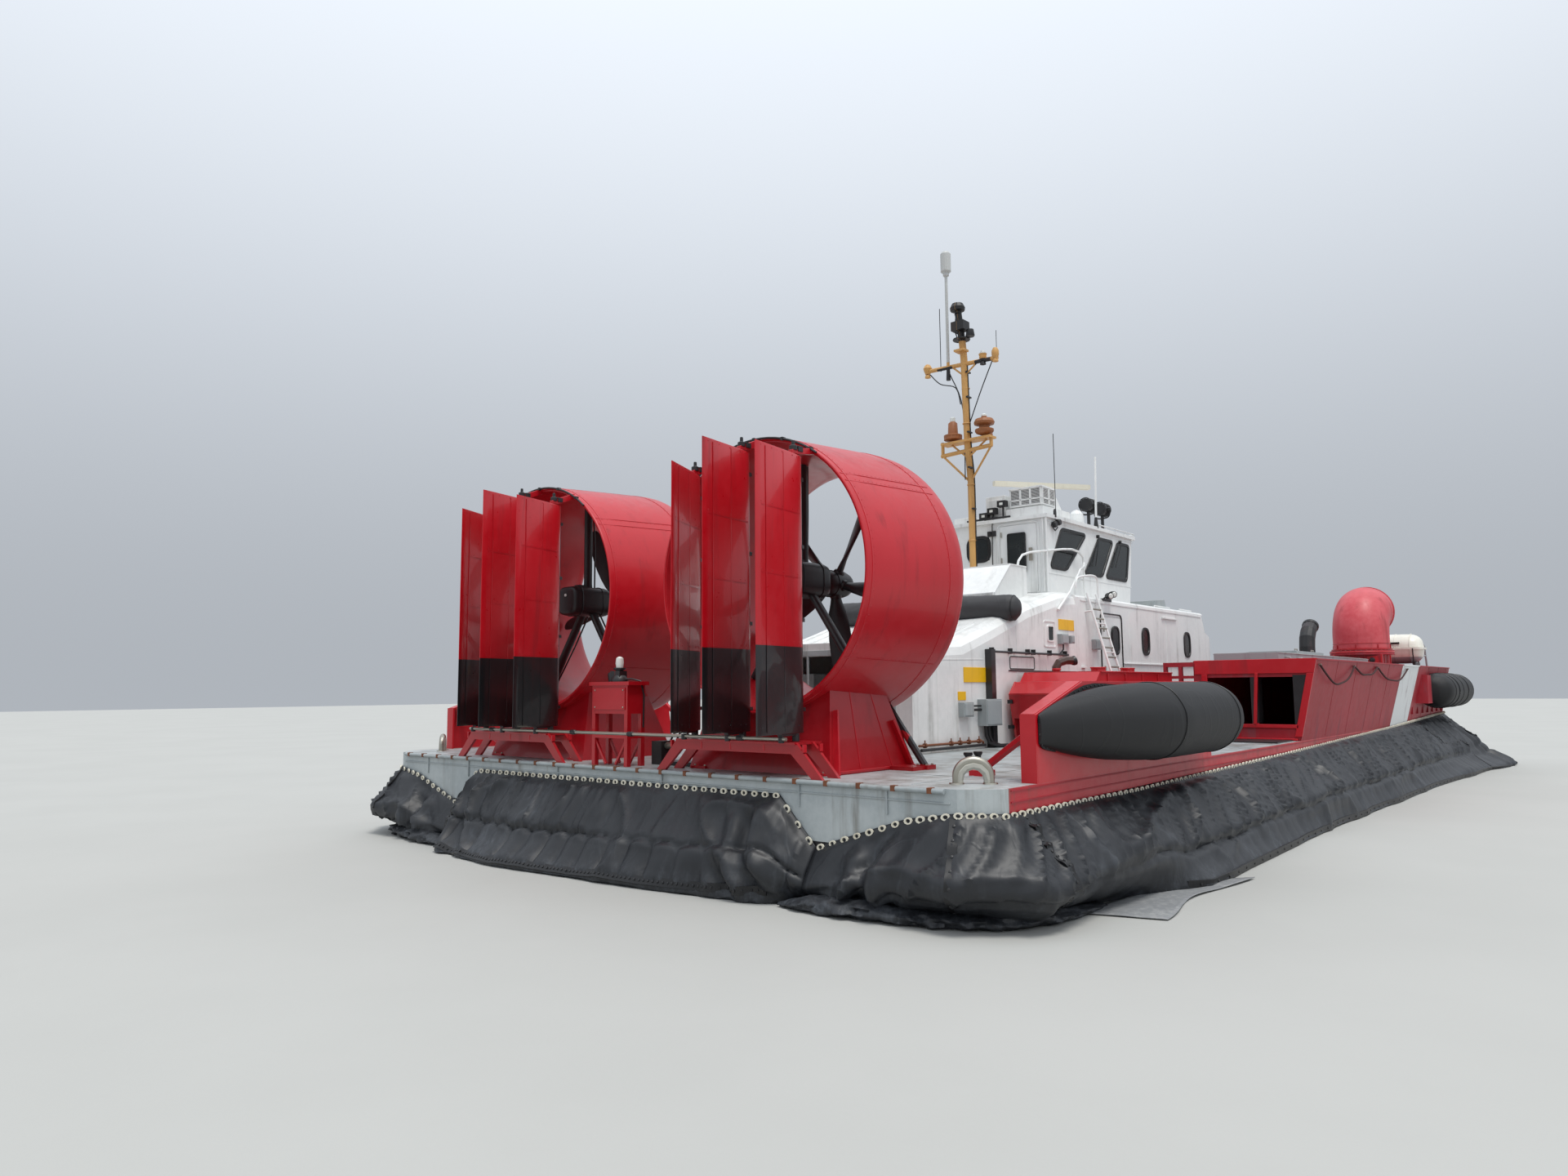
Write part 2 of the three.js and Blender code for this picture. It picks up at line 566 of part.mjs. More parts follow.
function blade() {
  return loft(BLADE_STATIONS.map(([r, chord, angle, half]) => {
    const turn = THREE.MathUtils.degToRad(angle);
    const outline = [[-chord / 2, 0], [-chord / 5, -half], [chord / 4, -half], [chord / 2, 0],
      [chord / 4, half], [-chord / 5, half]];
    return outline.map(([u, v]) => (
      [u * Math.sin(turn) + v * Math.cos(turn), u * Math.cos(turn) - v * Math.sin(turn), r]));
  }));
}

function propeller() {
  const hub = turnedAlongX([[0, -240], [130, -240], [170, -120], [170, 140], [120, 260], [0, 300]], 12);
  const blades = Array.from({ length: BLADES }, (_, i) => (
    blade().rotate([BLADE_ZERO_DEG + (360 / BLADES) * i, 0, 0])));
  return atDuct(join(hub, ...blades).translate([PROPELLER_X, 0, 0]));
}
addBothSides('propeller', propeller(), 'black');

// Rudders, three behind each duct, and the tie rod across their feet
const rudderOutline = [[RUDDER_NOSE, 0], [RUDDER_NOSE - 60, 38], [RUDDER_NOSE - 200, 45],
  [-RUDDER_CHORD_AFT, 6], [-RUDDER_CHORD_AFT, -6], [RUDDER_NOSE - 200, -45], [RUDDER_NOSE - 60, -38]];
const LEVER_ARM = 300;

// Columns: side and place, pivot y, top z, angle as parked with the trailing edge to starboard
const RUDDERS = [
  ['starboard_outer', -2925, 4700, 11],
  ['starboard_middle', -2150, 4870, 11.5],
  ['starboard_inner', -1390, 4700, 27],
  ['port_inner', 1390, 4700, 18],
  ['port_middle', 2150, 4870, 17],
  ['port_outer', 2925, 4700, 29],
];

function rudder(topZ) {
  const vane = upZ(rudderOutline, RUDDER_FOOT_Z, topZ);
  const stock = turnedUpZ([[0, TRESTLE_TOP_Z + 6], [40, TRESTLE_TOP_Z + 6], [40, RUDDER_FOOT_Z + 20],
    [0, RUDDER_FOOT_Z + 20]], 10);
  const lever = block(-LEVER_ARM - 40, 30, -25, 25, TIE_ROD_Z + 28, RUDDER_FOOT_Z + 10);
  return join(vane, stock, lever);
}

for (const [place, pivotY, topZ, parkedDeg] of RUDDERS) {
  add(`rudder_${place}`, rudder(topZ).rotate([0, 0, parkedDeg]).translate([RUDDER_PIVOT_X, pivotY, 0]), 'red');
}

const tieRodX = RUDDER_PIVOT_X - LEVER_ARM;
add('rudder_tie_rod', pipe([[tieRodX, -3050, TIE_ROD_Z], [tieRodX, 2850, TIE_ROD_Z]], 20, 8), 'steel');

// Stand with a bare plate and a stern lamp between the ducts
const standPosts = [[20, 80], [240, 300]].flatMap(([x0, x1]) => [[-340, -280], [280, 340]].map(([y0, y1]) => (
  block(x0, x1, y0, y1, DECK_Z + GAP, 1900))));
add('stern_stand', join(
  ...standPosts,
  block(20, 300, -340, 340, 1870, 2230),
  block(0, 330, -385, 385, 2220, 2265),
  block(20, 300, -340, 340, 1570, 1630),
  block(100, 220, -90, 90, 2260, 2400),
), 'red');

// Engine casing: the white hood over the propulsion engines, with rounded shoulders

// Columns: station x, roof z
const CASING_STATIONS = [
  [CASING_AFT_X, 2830],
  [5300, 2900],
  [6300, 3200],
  [7450, 3570],
  [8700, 3860],
  [CABIN_AFT_X - GAP, 3900],
];
const SHOULDER_R = 240;

function casingSection(x, footZ, roofZ, inset) {
  const half = CASING_HALF - inset;
  const top = roofZ - inset;
  const shoulder = [0, 30, 60, 90].map((degrees) => {
    const angle = THREE.MathUtils.degToRad(degrees);
    const radius = SHOULDER_R - inset;
    return [half - radius + radius * Math.cos(angle), top - radius + radius * Math.sin(angle)];
  });
  const starboard = shoulder.map(([y, z]) => [x, -y, z]);
  const port = shoulder.reverse().map(([y, z]) => [x, y, z]);
  return [[x, -half, footZ], ...starboard, ...port, [x, half, footZ]];
}

const casingShape = loft(CASING_STATIONS.map(([x, z]) => casingSection(x, DECK_Z + GAP, z, 0)));
const casingRoom = loft(CASING_STATIONS.map(([x, z], i) => {
  const last = CASING_STATIONS.length - 1;
  return casingSection(x + (i === 0 ? PLATE : 0) - (i === last ? PLATE : 0), 0, z, PLATE);
}));
const casingMouth = block(CASING_AFT_X - 100, CASING_AFT_X + 200, -1600, 1600, DECK_Z + 100, 2650);
const ventOutline = [[7300, 3200], [7300, 3780], [7900, 4330], [8500, 4330], [8500, 3600]];
const vent = acrossY(ventOutline, -1350, 1350);
// A long bag lashed across the roof, aft of the hood
const bag = pipe([[6860, -1760, 3470], [6840, -1700, 3465], [6780, -1400, 3470], [6700, -900, 3480], [6640, 0, 3490],
  [6640, 900, 3490], [6660, 1300, 3500]], 215, 12);
const bagNose = turned([[0, 0], [120, 20], [190, 80], [215, 180], [215, 220], [0, 220]], 12);
const bagEnds = [bagNose.translate([6870, -1850, 3470]), bagNose.rotate([180, 0, 0]).translate([6662, 1500, 3500])];
// A dark post with a rail beside the casing, above the lift engines
const RAIL_Z = 2725;
const railBrackets = [6900, 7800, 8700].map((x) => block(x - 15, x + 15, -1960, -1880, RAIL_Z - 15, RAIL_Z + 15));
const casingRail = join(block(5950, 6080, -2020, -1880, DECK_Z + GAP, 2760), ...railBrackets,
  pipe([[6050, -1955, RAIL_Z], [8800, -1955, RAIL_Z]], 20, 8));
const casingOuter = join(casingShape, vent, bag, ...bagEnds, casingRail, toPort(casingRail));
add('engine_casing', cut(casingOuter, casingRoom, casingMouth), 'white');

// Propulsion engines, one plain block each
addBothSides('propulsion_engine', block(4700, 6700, -1600, -550, DECK_Z + 60, 2400), 'grey');

// Lift engine rooms beside the casing, and their engines
const coverOutline = [[6700, DECK_Z + GAP], [6500, 2050], [6700, 2240], [6900, 2250], [7040, 2390], [10100, 2390],
  [10100, DECK_Z + GAP]];
const coverRoom = [[6750, 0], [6560, 2030], [6730, 2200], [6910, 2210], [7050, 2350], [10060, 2350], [10060, 0]];
const coverCaps = [7900, 9100].map((x) => (
  turnedUpZ([[0, 2370], [120, 2370], [120, 2465], [100, 2480], [0, 2480]], 16).translate([x, -2900, 0])));
const exhaustPath = [[7600, -2300, 2360], [7600, -2300, 2480], [7640, -2330, 2560], [7760, -2400, 2600],
  [7900, -2480, 2600]];
addBothSides('lift_engine_cover', join(
  cut(acrossY(coverOutline, -3300, -2000), acrossY(coverRoom, -3260, -2040)),
  pipe(exhaustPath, 70, 8),
  ...coverCaps,
), 'red');
addBothSides('lift_engine', block(7200, 9300, -3050, -2250, DECK_Z + 60, 2080), 'grey');

// Cabin: walls, bulkheads and roof, with its doors
const CABIN_WALL = 50;
const WALL_TOP_Z = CABIN_ROOF_Z - 60 - GAP;
const DOOR = { x0: 10400, x1: 11280, z0: 1500, z1: 3500 };
const WINDOW_X = [12560, 14980];

function ovalWindow(x, z, half, tall) {
  const outline = Array.from({ length: 12 }, (_, i) => {
    const angle = (2 * Math.PI * (i + 0.5)) / 12;
    return [x + half * Math.cos(angle), z + Math.sign(Math.sin(angle)) * (tall - half) + half * Math.sin(angle)];
  });
  return acrossY(outline, -3000, -1000);
}

const wallOutline = [[CABIN_AFT_X, DECK_Z + GAP], [CABIN_AFT_X, WALL_TOP_Z],
  [16000, WALL_TOP_Z], [16200, 3400], [CABIN_FRONT_X, 3300], [CABIN_FRONT_X, DECK_Z + GAP]];
const cabinWall = cut(
  acrossY(wallOutline, -CASING_HALF, -CASING_HALF + CABIN_WALL),
  block(DOOR.x0 - 6, DOOR.x1 + 6, -3000, -1000, DOOR.z0 - 6, DOOR.z1 + 6),
  ...WINDOW_X.map((x) => ovalWindow(x, 3080, 180, 265)),
);

// The ladder to the cabin roof, which stands off the wall and leans on its top
const LADDER_X = [9750, 10150];
const ladderAt = (x, z) => [x, -1950 - (3800 - z) * 0.28, z];
const ladder = join(
  ...LADDER_X.map((x) => pipe([ladderAt(x, 2400), ladderAt(x, 3900)], 22, 8)),
  ...[2520, 2790, 3060, 3330, 3600].map((z) => pipe([ladderAt(LADDER_X[0], z), ladderAt(LADDER_X[1], z)], 15, 6)),
  ...LADDER_X.map((x) => block(x - 15, x + 15, -1985, -1880, 3700, 3730)),
);
addBothSides('cabin_wall', join(cabinWall, ladder), 'white');
const cabinDoor = block(DOOR.x0, DOOR.x1, -CASING_HALF, -CASING_HALF + CABIN_WALL - 5, DOOR.z0, DOOR.z1);
addBothSides('cabin_door', cut(cabinDoor, ovalWindow(10980, 3050, 150, 280)), 'white');

const innerHalf = CASING_HALF - CABIN_WALL - GAP;
add('cabin_bulkhead', block(CABIN_AFT_X, CABIN_AFT_X + CABIN_WALL, -innerHalf, innerHalf, DECK_Z + GAP, WALL_TOP_Z),
  'white');
const frontOutline = [[CABIN_FRONT_X - CABIN_WALL, DECK_Z + GAP], [CABIN_FRONT_X, DECK_Z + GAP],
  [CABIN_FRONT_X, 3300], [16200, 3400], [16000, WALL_TOP_Z],
  [16000 - CABIN_WALL, WALL_TOP_Z], [16160, 3350], [CABIN_FRONT_X - CABIN_WALL, 3255]];
const frontWindows = [-1150, 0, 1150].map((y) => block(15000, 17000, y - 380, y + 380, 3450, 3700));
add('cabin_front', cut(acrossY(frontOutline, -innerHalf, innerHalf), ...frontWindows), 'white');

const roofOutline = [[-CASING_HALF, CABIN_ROOF_Z - 60], [-CASING_HALF, CABIN_ROOF_Z - 45],
  [-CASING_HALF + 20, CABIN_ROOF_Z - 15], [-CASING_HALF + 60, CABIN_ROOF_Z], [CASING_HALF - 60, CABIN_ROOF_Z],
  [CASING_HALF - 20, CABIN_ROOF_Z - 15], [CASING_HALF, CABIN_ROOF_Z - 45], [CASING_HALF, CABIN_ROOF_Z - 60]];
const stairwell = block(WHEELHOUSE_AFT_X + 260, WHEELHOUSE_FRONT_X - 800, -1200, 1200, 3000, 4200);
add('cabin_roof', cut(alongX(roofOutline, CABIN_AFT_X, 16060), stairwell), 'white');

// Wheelhouse: a band of walls with its windows cut, the glass inside, the roof and its gear
const WHEELHOUSE_WALL = 50;
const WHEELHOUSE_CHAMFER = 200;
const FORWARD_LEAN = 0.15;
const sillZ = CABIN_ROOF_Z + GAP;

function wheelhouseRing(z, inset) {
  const half = WHEELHOUSE_HALF - inset;
  const aft = WHEELHOUSE_AFT_X + inset;
  const fore = WHEELHOUSE_FRONT_X + (z - sillZ) * FORWARD_LEAN - inset;
  const corner = WHEELHOUSE_CHAMFER;
  return [[aft, -half], [fore - corner, -half], [fore, -half + corner], [fore, half - corner],
    [fore - corner, half], [aft, half]].map(([x, y]) => [x, y, z]);
}

function wheelhouseShell(z0, z1, outerInset, innerInset) {
  const outer = loft([wheelhouseRing(z0, outerInset), wheelhouseRing(z1, outerInset)]);
  const inner = loft([wheelhouseRing(z0 - 10, innerInset), wheelhouseRing(z1 + 10, innerInset)]);
  return cut(outer, inner);
}

// Columns: bottom aft x, top aft x, top fore x, bottom fore x
const SIDE_WINDOWS = [
  [9480, 9990, 11050, 10140],
  [10980, 11700, 12380, 11790],
  [12000, 12640, 13240, 13050],
];
const WINDOW_FOOT_Z = 4420;
const WINDOW_TOP_Z = 5195;
const windowCutters = SIDE_WINDOWS.map(([bottomAft, topAft, topFore, bottomFore]) => (
  acrossY([[bottomAft, WINDOW_FOOT_Z], [topAft, WINDOW_TOP_Z], [topFore, WINDOW_TOP_Z], [bottomFore, WINDOW_FOOT_Z]],
    -2000, 2000)));
const frontCutters = [-760, 0, 760].map((y) => (
  block(13300, 14000, y - 330, y + 330, WINDOW_FOOT_Z, WINDOW_TOP_Z)));
const WHEEL_DOOR = { y0: -1150, y1: -380, z0: 3950, z1: 5270 };
const aftWindow = block(9300, 9420, -140, 330, 4640, 5100);
const doorWindow = block(9300, 9420, -920, -560, 4350, 5100);
const walkwayRail = join(
  pipe([[8380, -1240, 4345], [8400, -1250, 4440], [8520, -1270, 4560], [8760, -1300, 4630], [9400, -1380, 4720],
    [9850, -1430, 4785], [10190, -1450, 4815], [10490, -1450, 4795], [10680, -1450, 4710], [10720, -1450, 4600],
    [10560, -1520, 4500], [9980, -1700, 4370], [9000, -1930, 3860], [8520, -1930, 3520]], 22, 8),
  pipe([[10700, -1450, 4650], [10700, -1450, CABIN_ROOF_Z + GAP]], 18, 8),
  pipe([[10700, -1450, 4250], [10700, -1320, 4250]], 15, 8),
);
add('wheelhouse_walls', join(walkwayRail, cut(
  wheelhouseShell(sillZ, WHEELHOUSE_TOP_Z - GAP, 0, WHEELHOUSE_WALL),
  ...windowCutters,
  ...frontCutters,
  aftWindow,
  block(9300, 9420, WHEEL_DOOR.y0 - 6, WHEEL_DOOR.y1 + 6, WHEEL_DOOR.z0 - 6, WHEEL_DOOR.z1 + 6),
)), 'white');
add('wheelhouse_glazing', cut(
  wheelhouseShell(4380, 5235, WHEELHOUSE_WALL + GAP, WHEELHOUSE_WALL + 10),
  block(9000, 9460, -2000, 200, 4000, 5500),
), 'glass');
add('wheelhouse_door', cut(block(WHEELHOUSE_AFT_X, WHEELHOUSE_AFT_X + PLATE, WHEEL_DOOR.y0, WHEEL_DOOR.y1,
  WHEEL_DOOR.z0, WHEEL_DOOR.z1), doorWindow), 'white');

const RADAR_X = 11970;
const RADAR_Z = 6540;
const RADAR_PARKED_DEG = 54.6;
const roofPlan = wheelhouseRing(WHEELHOUSE_TOP_Z, -60).map(([x, y]) => [x, y]);
add('wheelhouse_roof', join(
  upZ(roofPlan, WHEELHOUSE_TOP_Z, WHEELHOUSE_TOP_Z + 70),
  block(9440, 10600, -1250, -470, WHEELHOUSE_TOP_Z + 60, WHEELHOUSE_TOP_Z + 260),
  block(9570, 10040, -1150, -560, WHEELHOUSE_TOP_Z + 250, WHEELHOUSE_TOP_Z + 310),
  block(9520, 10080, -1190, -520, WHEELHOUSE_TOP_Z + 300, WHEELHOUSE_TOP_Z + 660),
  acrossY([[10070, 5600], [10070, 5980], [10120, 5980], [10440, 5670], [10440, 5600]], -1150, -560),
  turnedUpZ([[0, 5410], [150, 5410], [150, 5620], [135, 5720], [90, 5790], [0, 5820]], 16).translate([11500, -980, 0]),
  pipe([[11560, -1370, 5400], [11640, -1370, 6900]], 22, 8),
  turnedUpZ([[0, WHEELHOUSE_TOP_Z + 60], [180, WHEELHOUSE_TOP_Z + 60], [150, 5900], [150, RADAR_Z - 110],
    [0, RADAR_Z - 110]], 12).translate([RADAR_X, 0, 0]),
), 'white');
add('radar_scanner', join(
  block(-60, 60, -1140, 1140, RADAR_Z - 50, RADAR_Z + 50),
  turnedUpZ([[0, RADAR_Z - 104], [80, RADAR_Z - 104], [80, RADAR_Z - 40], [0, RADAR_Z - 40]], 12),
).rotate([0, 0, RADAR_PARKED_DEG]).translate([RADAR_X, 0, 0]), 'white');

// Searchlights on the starboard edge of the wheelhouse roof
const searchlight = join(
  turnedAlongX([[0, -150], [130, -150], [145, 110], [130, 150], [0, 150]], 12).translate([0, 0, 560]),
  turnedUpZ([[0, 0], [60, 0], [60, 120], [35, 140], [35, 450], [0, 450]], 10),
);
for (const [place, x] of [['aft', 12050], ['forward', 12750]]) {
  add(`searchlight_${place}`, searchlight.translate([x, -1000, WHEELHOUSE_TOP_Z + 76]), 'black');
}

// Mast
const MAST_X = 8950;
const LEAN_X = MAST_X - 100;
const BAR_Z = 6770;
const SHELF_Z = 6950;
const TREE_Z = 8490;
// Columns: across, foot z, and the profile of what stands there
const MAST_FITTINGS = [
  [320, SHELF_Z, [[0, 0], [60, 0], [60, 60], [180, 80], [180, 170], [0, 180]]],
  [-380, SHELF_Z, [[0, 0], [40, 0], [40, 230], [190, 270], [200, 310], [170, 370], [60, 390], [55, 430], [0, 430]]],
  [840, TREE_Z, [[0, 0], [70, 20], [90, 90], [60, 150], [0, 150]]],
  [-420, TREE_Z, [[0, 0], [60, 20], [80, 110], [0, 130]]],
  [-690, TREE_Z, [[0, 0], [60, 20], [70, 90], [0, 110]]],
  [360, TREE_Z - 250, [[0, 0], [45, 0], [32, 300], [30, 2130], [60, 2150], [60, 2200], [105, 2240], [105, 2600],
    [80, 2640], [0, 2650]]],
];
add('mast', join(
  pipe([[MAST_X, 0, 3890], [MAST_X, 0, 6200], [MAST_X - 90, 0, 6900], [MAST_X - 150, 0, 8600],
    [MAST_X - 200, 0, 8950], [MAST_X - 300, 20, 9520]], 70, 10).subtract(casingShape),
  block(LEAN_X - 130, LEAN_X + 130, -560, 530, SHELF_Z - 20, SHELF_Z + 20),
  pipe([[LEAN_X, -530, BAR_Z + 20], [LEAN_X, 590, BAR_Z - 30]], 40, 8),
  ...[[-520, BAR_Z], [560, BAR_Z - 30]].map(([y, z]) => pipe([[LEAN_X, y, z], [LEAN_X, y, SHELF_Z + 60]], 34, 8)),
  pipe([[MAST_X - 20, 0, 6150], [LEAN_X, -510, BAR_Z]], 22, 6),
  pipe([[MAST_X - 20, 0, 6150], [LEAN_X, 560, BAR_Z - 30]], 22, 6),
  pipe([[MAST_X - 150, -740, TREE_Z - 30], [MAST_X - 150, 870, TREE_Z + 30]], 42, 8),
  ...MAST_FITTINGS.map(([y, z, profile]) => (
    turnedUpZ(profile, 16).translate([z > 8000 ? MAST_X - 150 : LEAN_X, y, z]))),
  turnedUpZ([[0, 0], [170, 0], [170, 25], [0, 25]], 12).translate([MAST_X - 205, 10, 8960]),
  block(MAST_X - 400, MAST_X - 160, -150, 130, 9120, 9300),
  turnedUpZ([[0, 0], [140, 30], [150, 90], [110, 170], [0, 180]], 12).translate([MAST_X - 310, 20, 9500]),
), 'ochre');

// Bow ramp, hinged on its lugs at the front edge of the deck, raised
const RAMP_LENGTH = 1550;
const RAMP_RAISED_DEG = 78;
const rampRibs = [400, 900, 1400].map((x) => block(x - 20, x + 20, -RAMP_HALF, RAMP_HALF, -80, -20));
const rampKnuckles = [-KNUCKLE_Y, KNUCKLE_Y].flatMap((y) => [
  pipe([[0, y - 45, 0], [0, y + 45, 0]], 38, 10),
  block(0, 120, y - 45, y + 45, -25, 25),
]);
const ramp = join(block(75, RAMP_LENGTH, -RAMP_HALF, RAMP_HALF, -30, 10), ...rampRibs, ...rampKnuckles,
  ...[-RAMP_HALF, RAMP_HALF - 40].map((y) => block(75, RAMP_LENGTH, y, y + 40, -80, 110)));
add('bow_ramp', ramp.rotate([0, -RAMP_RAISED_DEG, 0]).translate([RAMP_HINGE_X, 0, RAMP_HINGE_Z]), 'red');

export default craft;
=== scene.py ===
"""Looks of a utility hovercraft that stands parked with its skirts down.

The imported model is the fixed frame. Each sub-assembly of the craft is a class that holds
its sizes in metres and builds and dresses its own pieces. Points are given as [station,
across, height]: stations run forward from the transom, across is positive to port, and
height is above the ground. A finished piece is moved aft by TRANSOM_TO_MIDSHIP, which is
where the model's own frame has its middle.
"""

import functools
import json
import logging
import math
from dataclasses import dataclass
from enum import Enum
from typing import Any, Callable, Iterable, Optional, Sequence, Union

import bmesh
import bpy
from mathutils import Matrix, Vector, noise

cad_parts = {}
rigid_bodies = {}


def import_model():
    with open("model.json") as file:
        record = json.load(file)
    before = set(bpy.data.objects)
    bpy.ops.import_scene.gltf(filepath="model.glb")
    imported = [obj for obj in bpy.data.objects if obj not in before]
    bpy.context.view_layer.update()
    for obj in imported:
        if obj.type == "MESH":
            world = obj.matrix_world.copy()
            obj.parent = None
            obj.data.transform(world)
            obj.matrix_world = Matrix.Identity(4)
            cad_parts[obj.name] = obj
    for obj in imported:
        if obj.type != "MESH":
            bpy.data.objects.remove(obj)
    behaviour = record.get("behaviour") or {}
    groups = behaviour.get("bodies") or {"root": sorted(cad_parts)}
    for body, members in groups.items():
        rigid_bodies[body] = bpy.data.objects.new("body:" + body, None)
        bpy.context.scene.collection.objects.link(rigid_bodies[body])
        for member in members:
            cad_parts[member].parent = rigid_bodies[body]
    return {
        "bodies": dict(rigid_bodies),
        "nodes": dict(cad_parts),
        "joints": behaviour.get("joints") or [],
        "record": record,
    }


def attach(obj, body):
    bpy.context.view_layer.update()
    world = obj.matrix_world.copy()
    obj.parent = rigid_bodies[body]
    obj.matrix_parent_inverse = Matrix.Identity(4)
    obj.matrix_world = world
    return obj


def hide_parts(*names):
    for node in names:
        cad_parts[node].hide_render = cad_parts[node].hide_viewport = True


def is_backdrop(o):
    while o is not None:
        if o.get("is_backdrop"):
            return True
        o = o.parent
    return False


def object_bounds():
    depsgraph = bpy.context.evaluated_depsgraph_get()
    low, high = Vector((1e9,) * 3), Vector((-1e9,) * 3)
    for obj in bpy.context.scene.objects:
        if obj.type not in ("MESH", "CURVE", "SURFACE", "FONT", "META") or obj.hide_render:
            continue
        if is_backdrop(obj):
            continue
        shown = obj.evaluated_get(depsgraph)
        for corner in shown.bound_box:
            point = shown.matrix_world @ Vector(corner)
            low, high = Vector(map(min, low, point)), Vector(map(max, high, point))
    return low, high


log = logging.getLogger("hovercraft")

# Sizes in metres that several sub-assemblies share: the deck's height, the half width at it, how much a side
# leans out for each metre up, and where the ducts' axes and the casing's wall are, to starboard
TRANSOM_TO_MIDSHIP = 13.43
DECK = 1.23
RAFT_EDGE = 5.3
SIDE_LEAN = 0.219
DUCT_ACROSS = -2.1
DUCT_HEIGHT = 3.47
CASING_WALL = -1.9

HULL = "hull"

Colour = tuple[float, float, float]
Point = Sequence[float]
Number = Union[int, float]

# Ways in the craft's frame
UP = (0, 0, 1)
DOWN = (0, 0, -1)
FORWARD = (1, 0, 0)
AFT = (-1, 0, 0)
OUTBOARD = (0, -1, 0)
TO_PORT = (0, 1, 0)


def tone(red: int, green: int, blue: int) -> Colour:
    """A colour given as a screen shows it, 0 to 255, in linear light."""
    shares = (channel / 255 for channel in (red, green, blue))
    return tuple(s / 12.92 if s < 0.04045 else ((s + 0.055) / 1.055) ** 2.4 for s in shares)


# Node trees


class Value:
    """A socket of a node tree, with arithmetic that adds Math nodes."""

    def __init__(self, tree: "Tree", socket: bpy.types.NodeSocket) -> None:
        """Wraps one output socket of a tree."""
        self.tree = tree
        self.socket = socket

    def _math(self, operation: str, first: Any, second: Any = 0.0) -> "Value":
        """One Math node on two numbers or values."""
        return self.tree.node("ShaderNodeMath", {"operation": operation}, {0: first, 1: second})

    def __add__(self, other: Any) -> "Value":
        """self + other."""
        return self._math("ADD", self, other)

    __radd__ = __add__

    def __sub__(self, other: Any) -> "Value":
        """self - other."""
        return self._math("SUBTRACT", self, other)

    def __rsub__(self, other: Any) -> "Value":
        """other - self."""
        return self._math("SUBTRACT", other, self)

    def __mul__(self, other: Any) -> "Value":
        """self * other."""
        return self._math("MULTIPLY", self, other)

    __rmul__ = __mul__

    def __truediv__(self, other: Any) -> "Value":
        """self / other."""
        return self._math("DIVIDE", self, other)

    def __rtruediv__(self, other: Any) -> "Value":
        """other / self."""
        return self._math("DIVIDE", other, self)

    def __pow__(self, other: Any) -> "Value":
        """self to the power of other."""
        return self._math("POWER", self, other)

    def size(self) -> "Value":
        """The value without its sign."""
        return self._math("ABSOLUTE", self)

    def wave(self) -> "Value":
        """The sine of the value."""
        return self._math("SINE", self)

    def rise(self, low: Number, high: Number) -> "Value":
        """0 below low and 1 above high, with a smooth step between, which falls if low is the larger.

        Args:
            low: where it is 0.
            high: where it is 1.

        Returns:
            The step.
        """
        return self.tree.node(
            "ShaderNodeMapRange",
            {"interpolation_type": "SMOOTHSTEP"},
            {"Value": self, "From Min": low, "From Max": high},
        )


class Tree:
    """A node tree and the one method that adds nodes to it."""

    def __init__(self, tree: bpy.types.NodeTree) -> None:
        """Starts with an empty tree."""
        self.tree = tree
        tree.nodes.clear()

    def node(
        self,
        kind: str,
        settings: Optional[dict[str, Any]] = None,
        sockets: Optional[dict[Union[int, str], Any]] = None,
        out: Union[int, str] = 0,
    ) -> Value:
        """Adds a node.

        Args:
            kind: the node's type.
            settings: its own settings, set first; "stops" are a colour ramp's.
            sockets: what goes into each input, a number, a colour or a Value.
            out: the output that is wanted.

        Returns:
            That output as a Value.
        """
        made = self.tree.nodes.new(kind)
        for name, setting in (settings or {}).items():
            if name == "stops":
                self._set_stops(made.color_ramp, setting)
            else:
                setattr(made, name, setting)
        for name, source in (sockets or {}).items():
            self.feed(made.inputs[name], source)
        return Value(self, made.outputs[out])

    def feed(self, socket: bpy.types.NodeSocket, source: Any) -> None:
        """Links a Value to a socket, or sets the socket's own number or colour.

        Args:
            socket: the input.
            source: a Value, a number, a vector or a colour.
        """
        if isinstance(source, Value):
            self.tree.links.new(source.socket, socket)
        elif socket.type == "RGBA" and len(source) == 3:
            socket.default_value = (*source, 1.0)
        else:
            socket.default_value = source

    @staticmethod
    def _set_stops(ramp: bpy.types.ColorRamp, stops: Sequence[tuple[float, Colour]]) -> None:
        """Sets a ramp's stops, given as (place, colour).

        Args:
            ramp: the ramp's node.
            stops: the stops, in order.
        """
        while len(ramp.elements) < len(stops):
            ramp.elements.new(0.5)
        for element, (place, colour) in zip(ramp.elements, stops):
            element.position = place
            element.color = (*colour, 1.0)


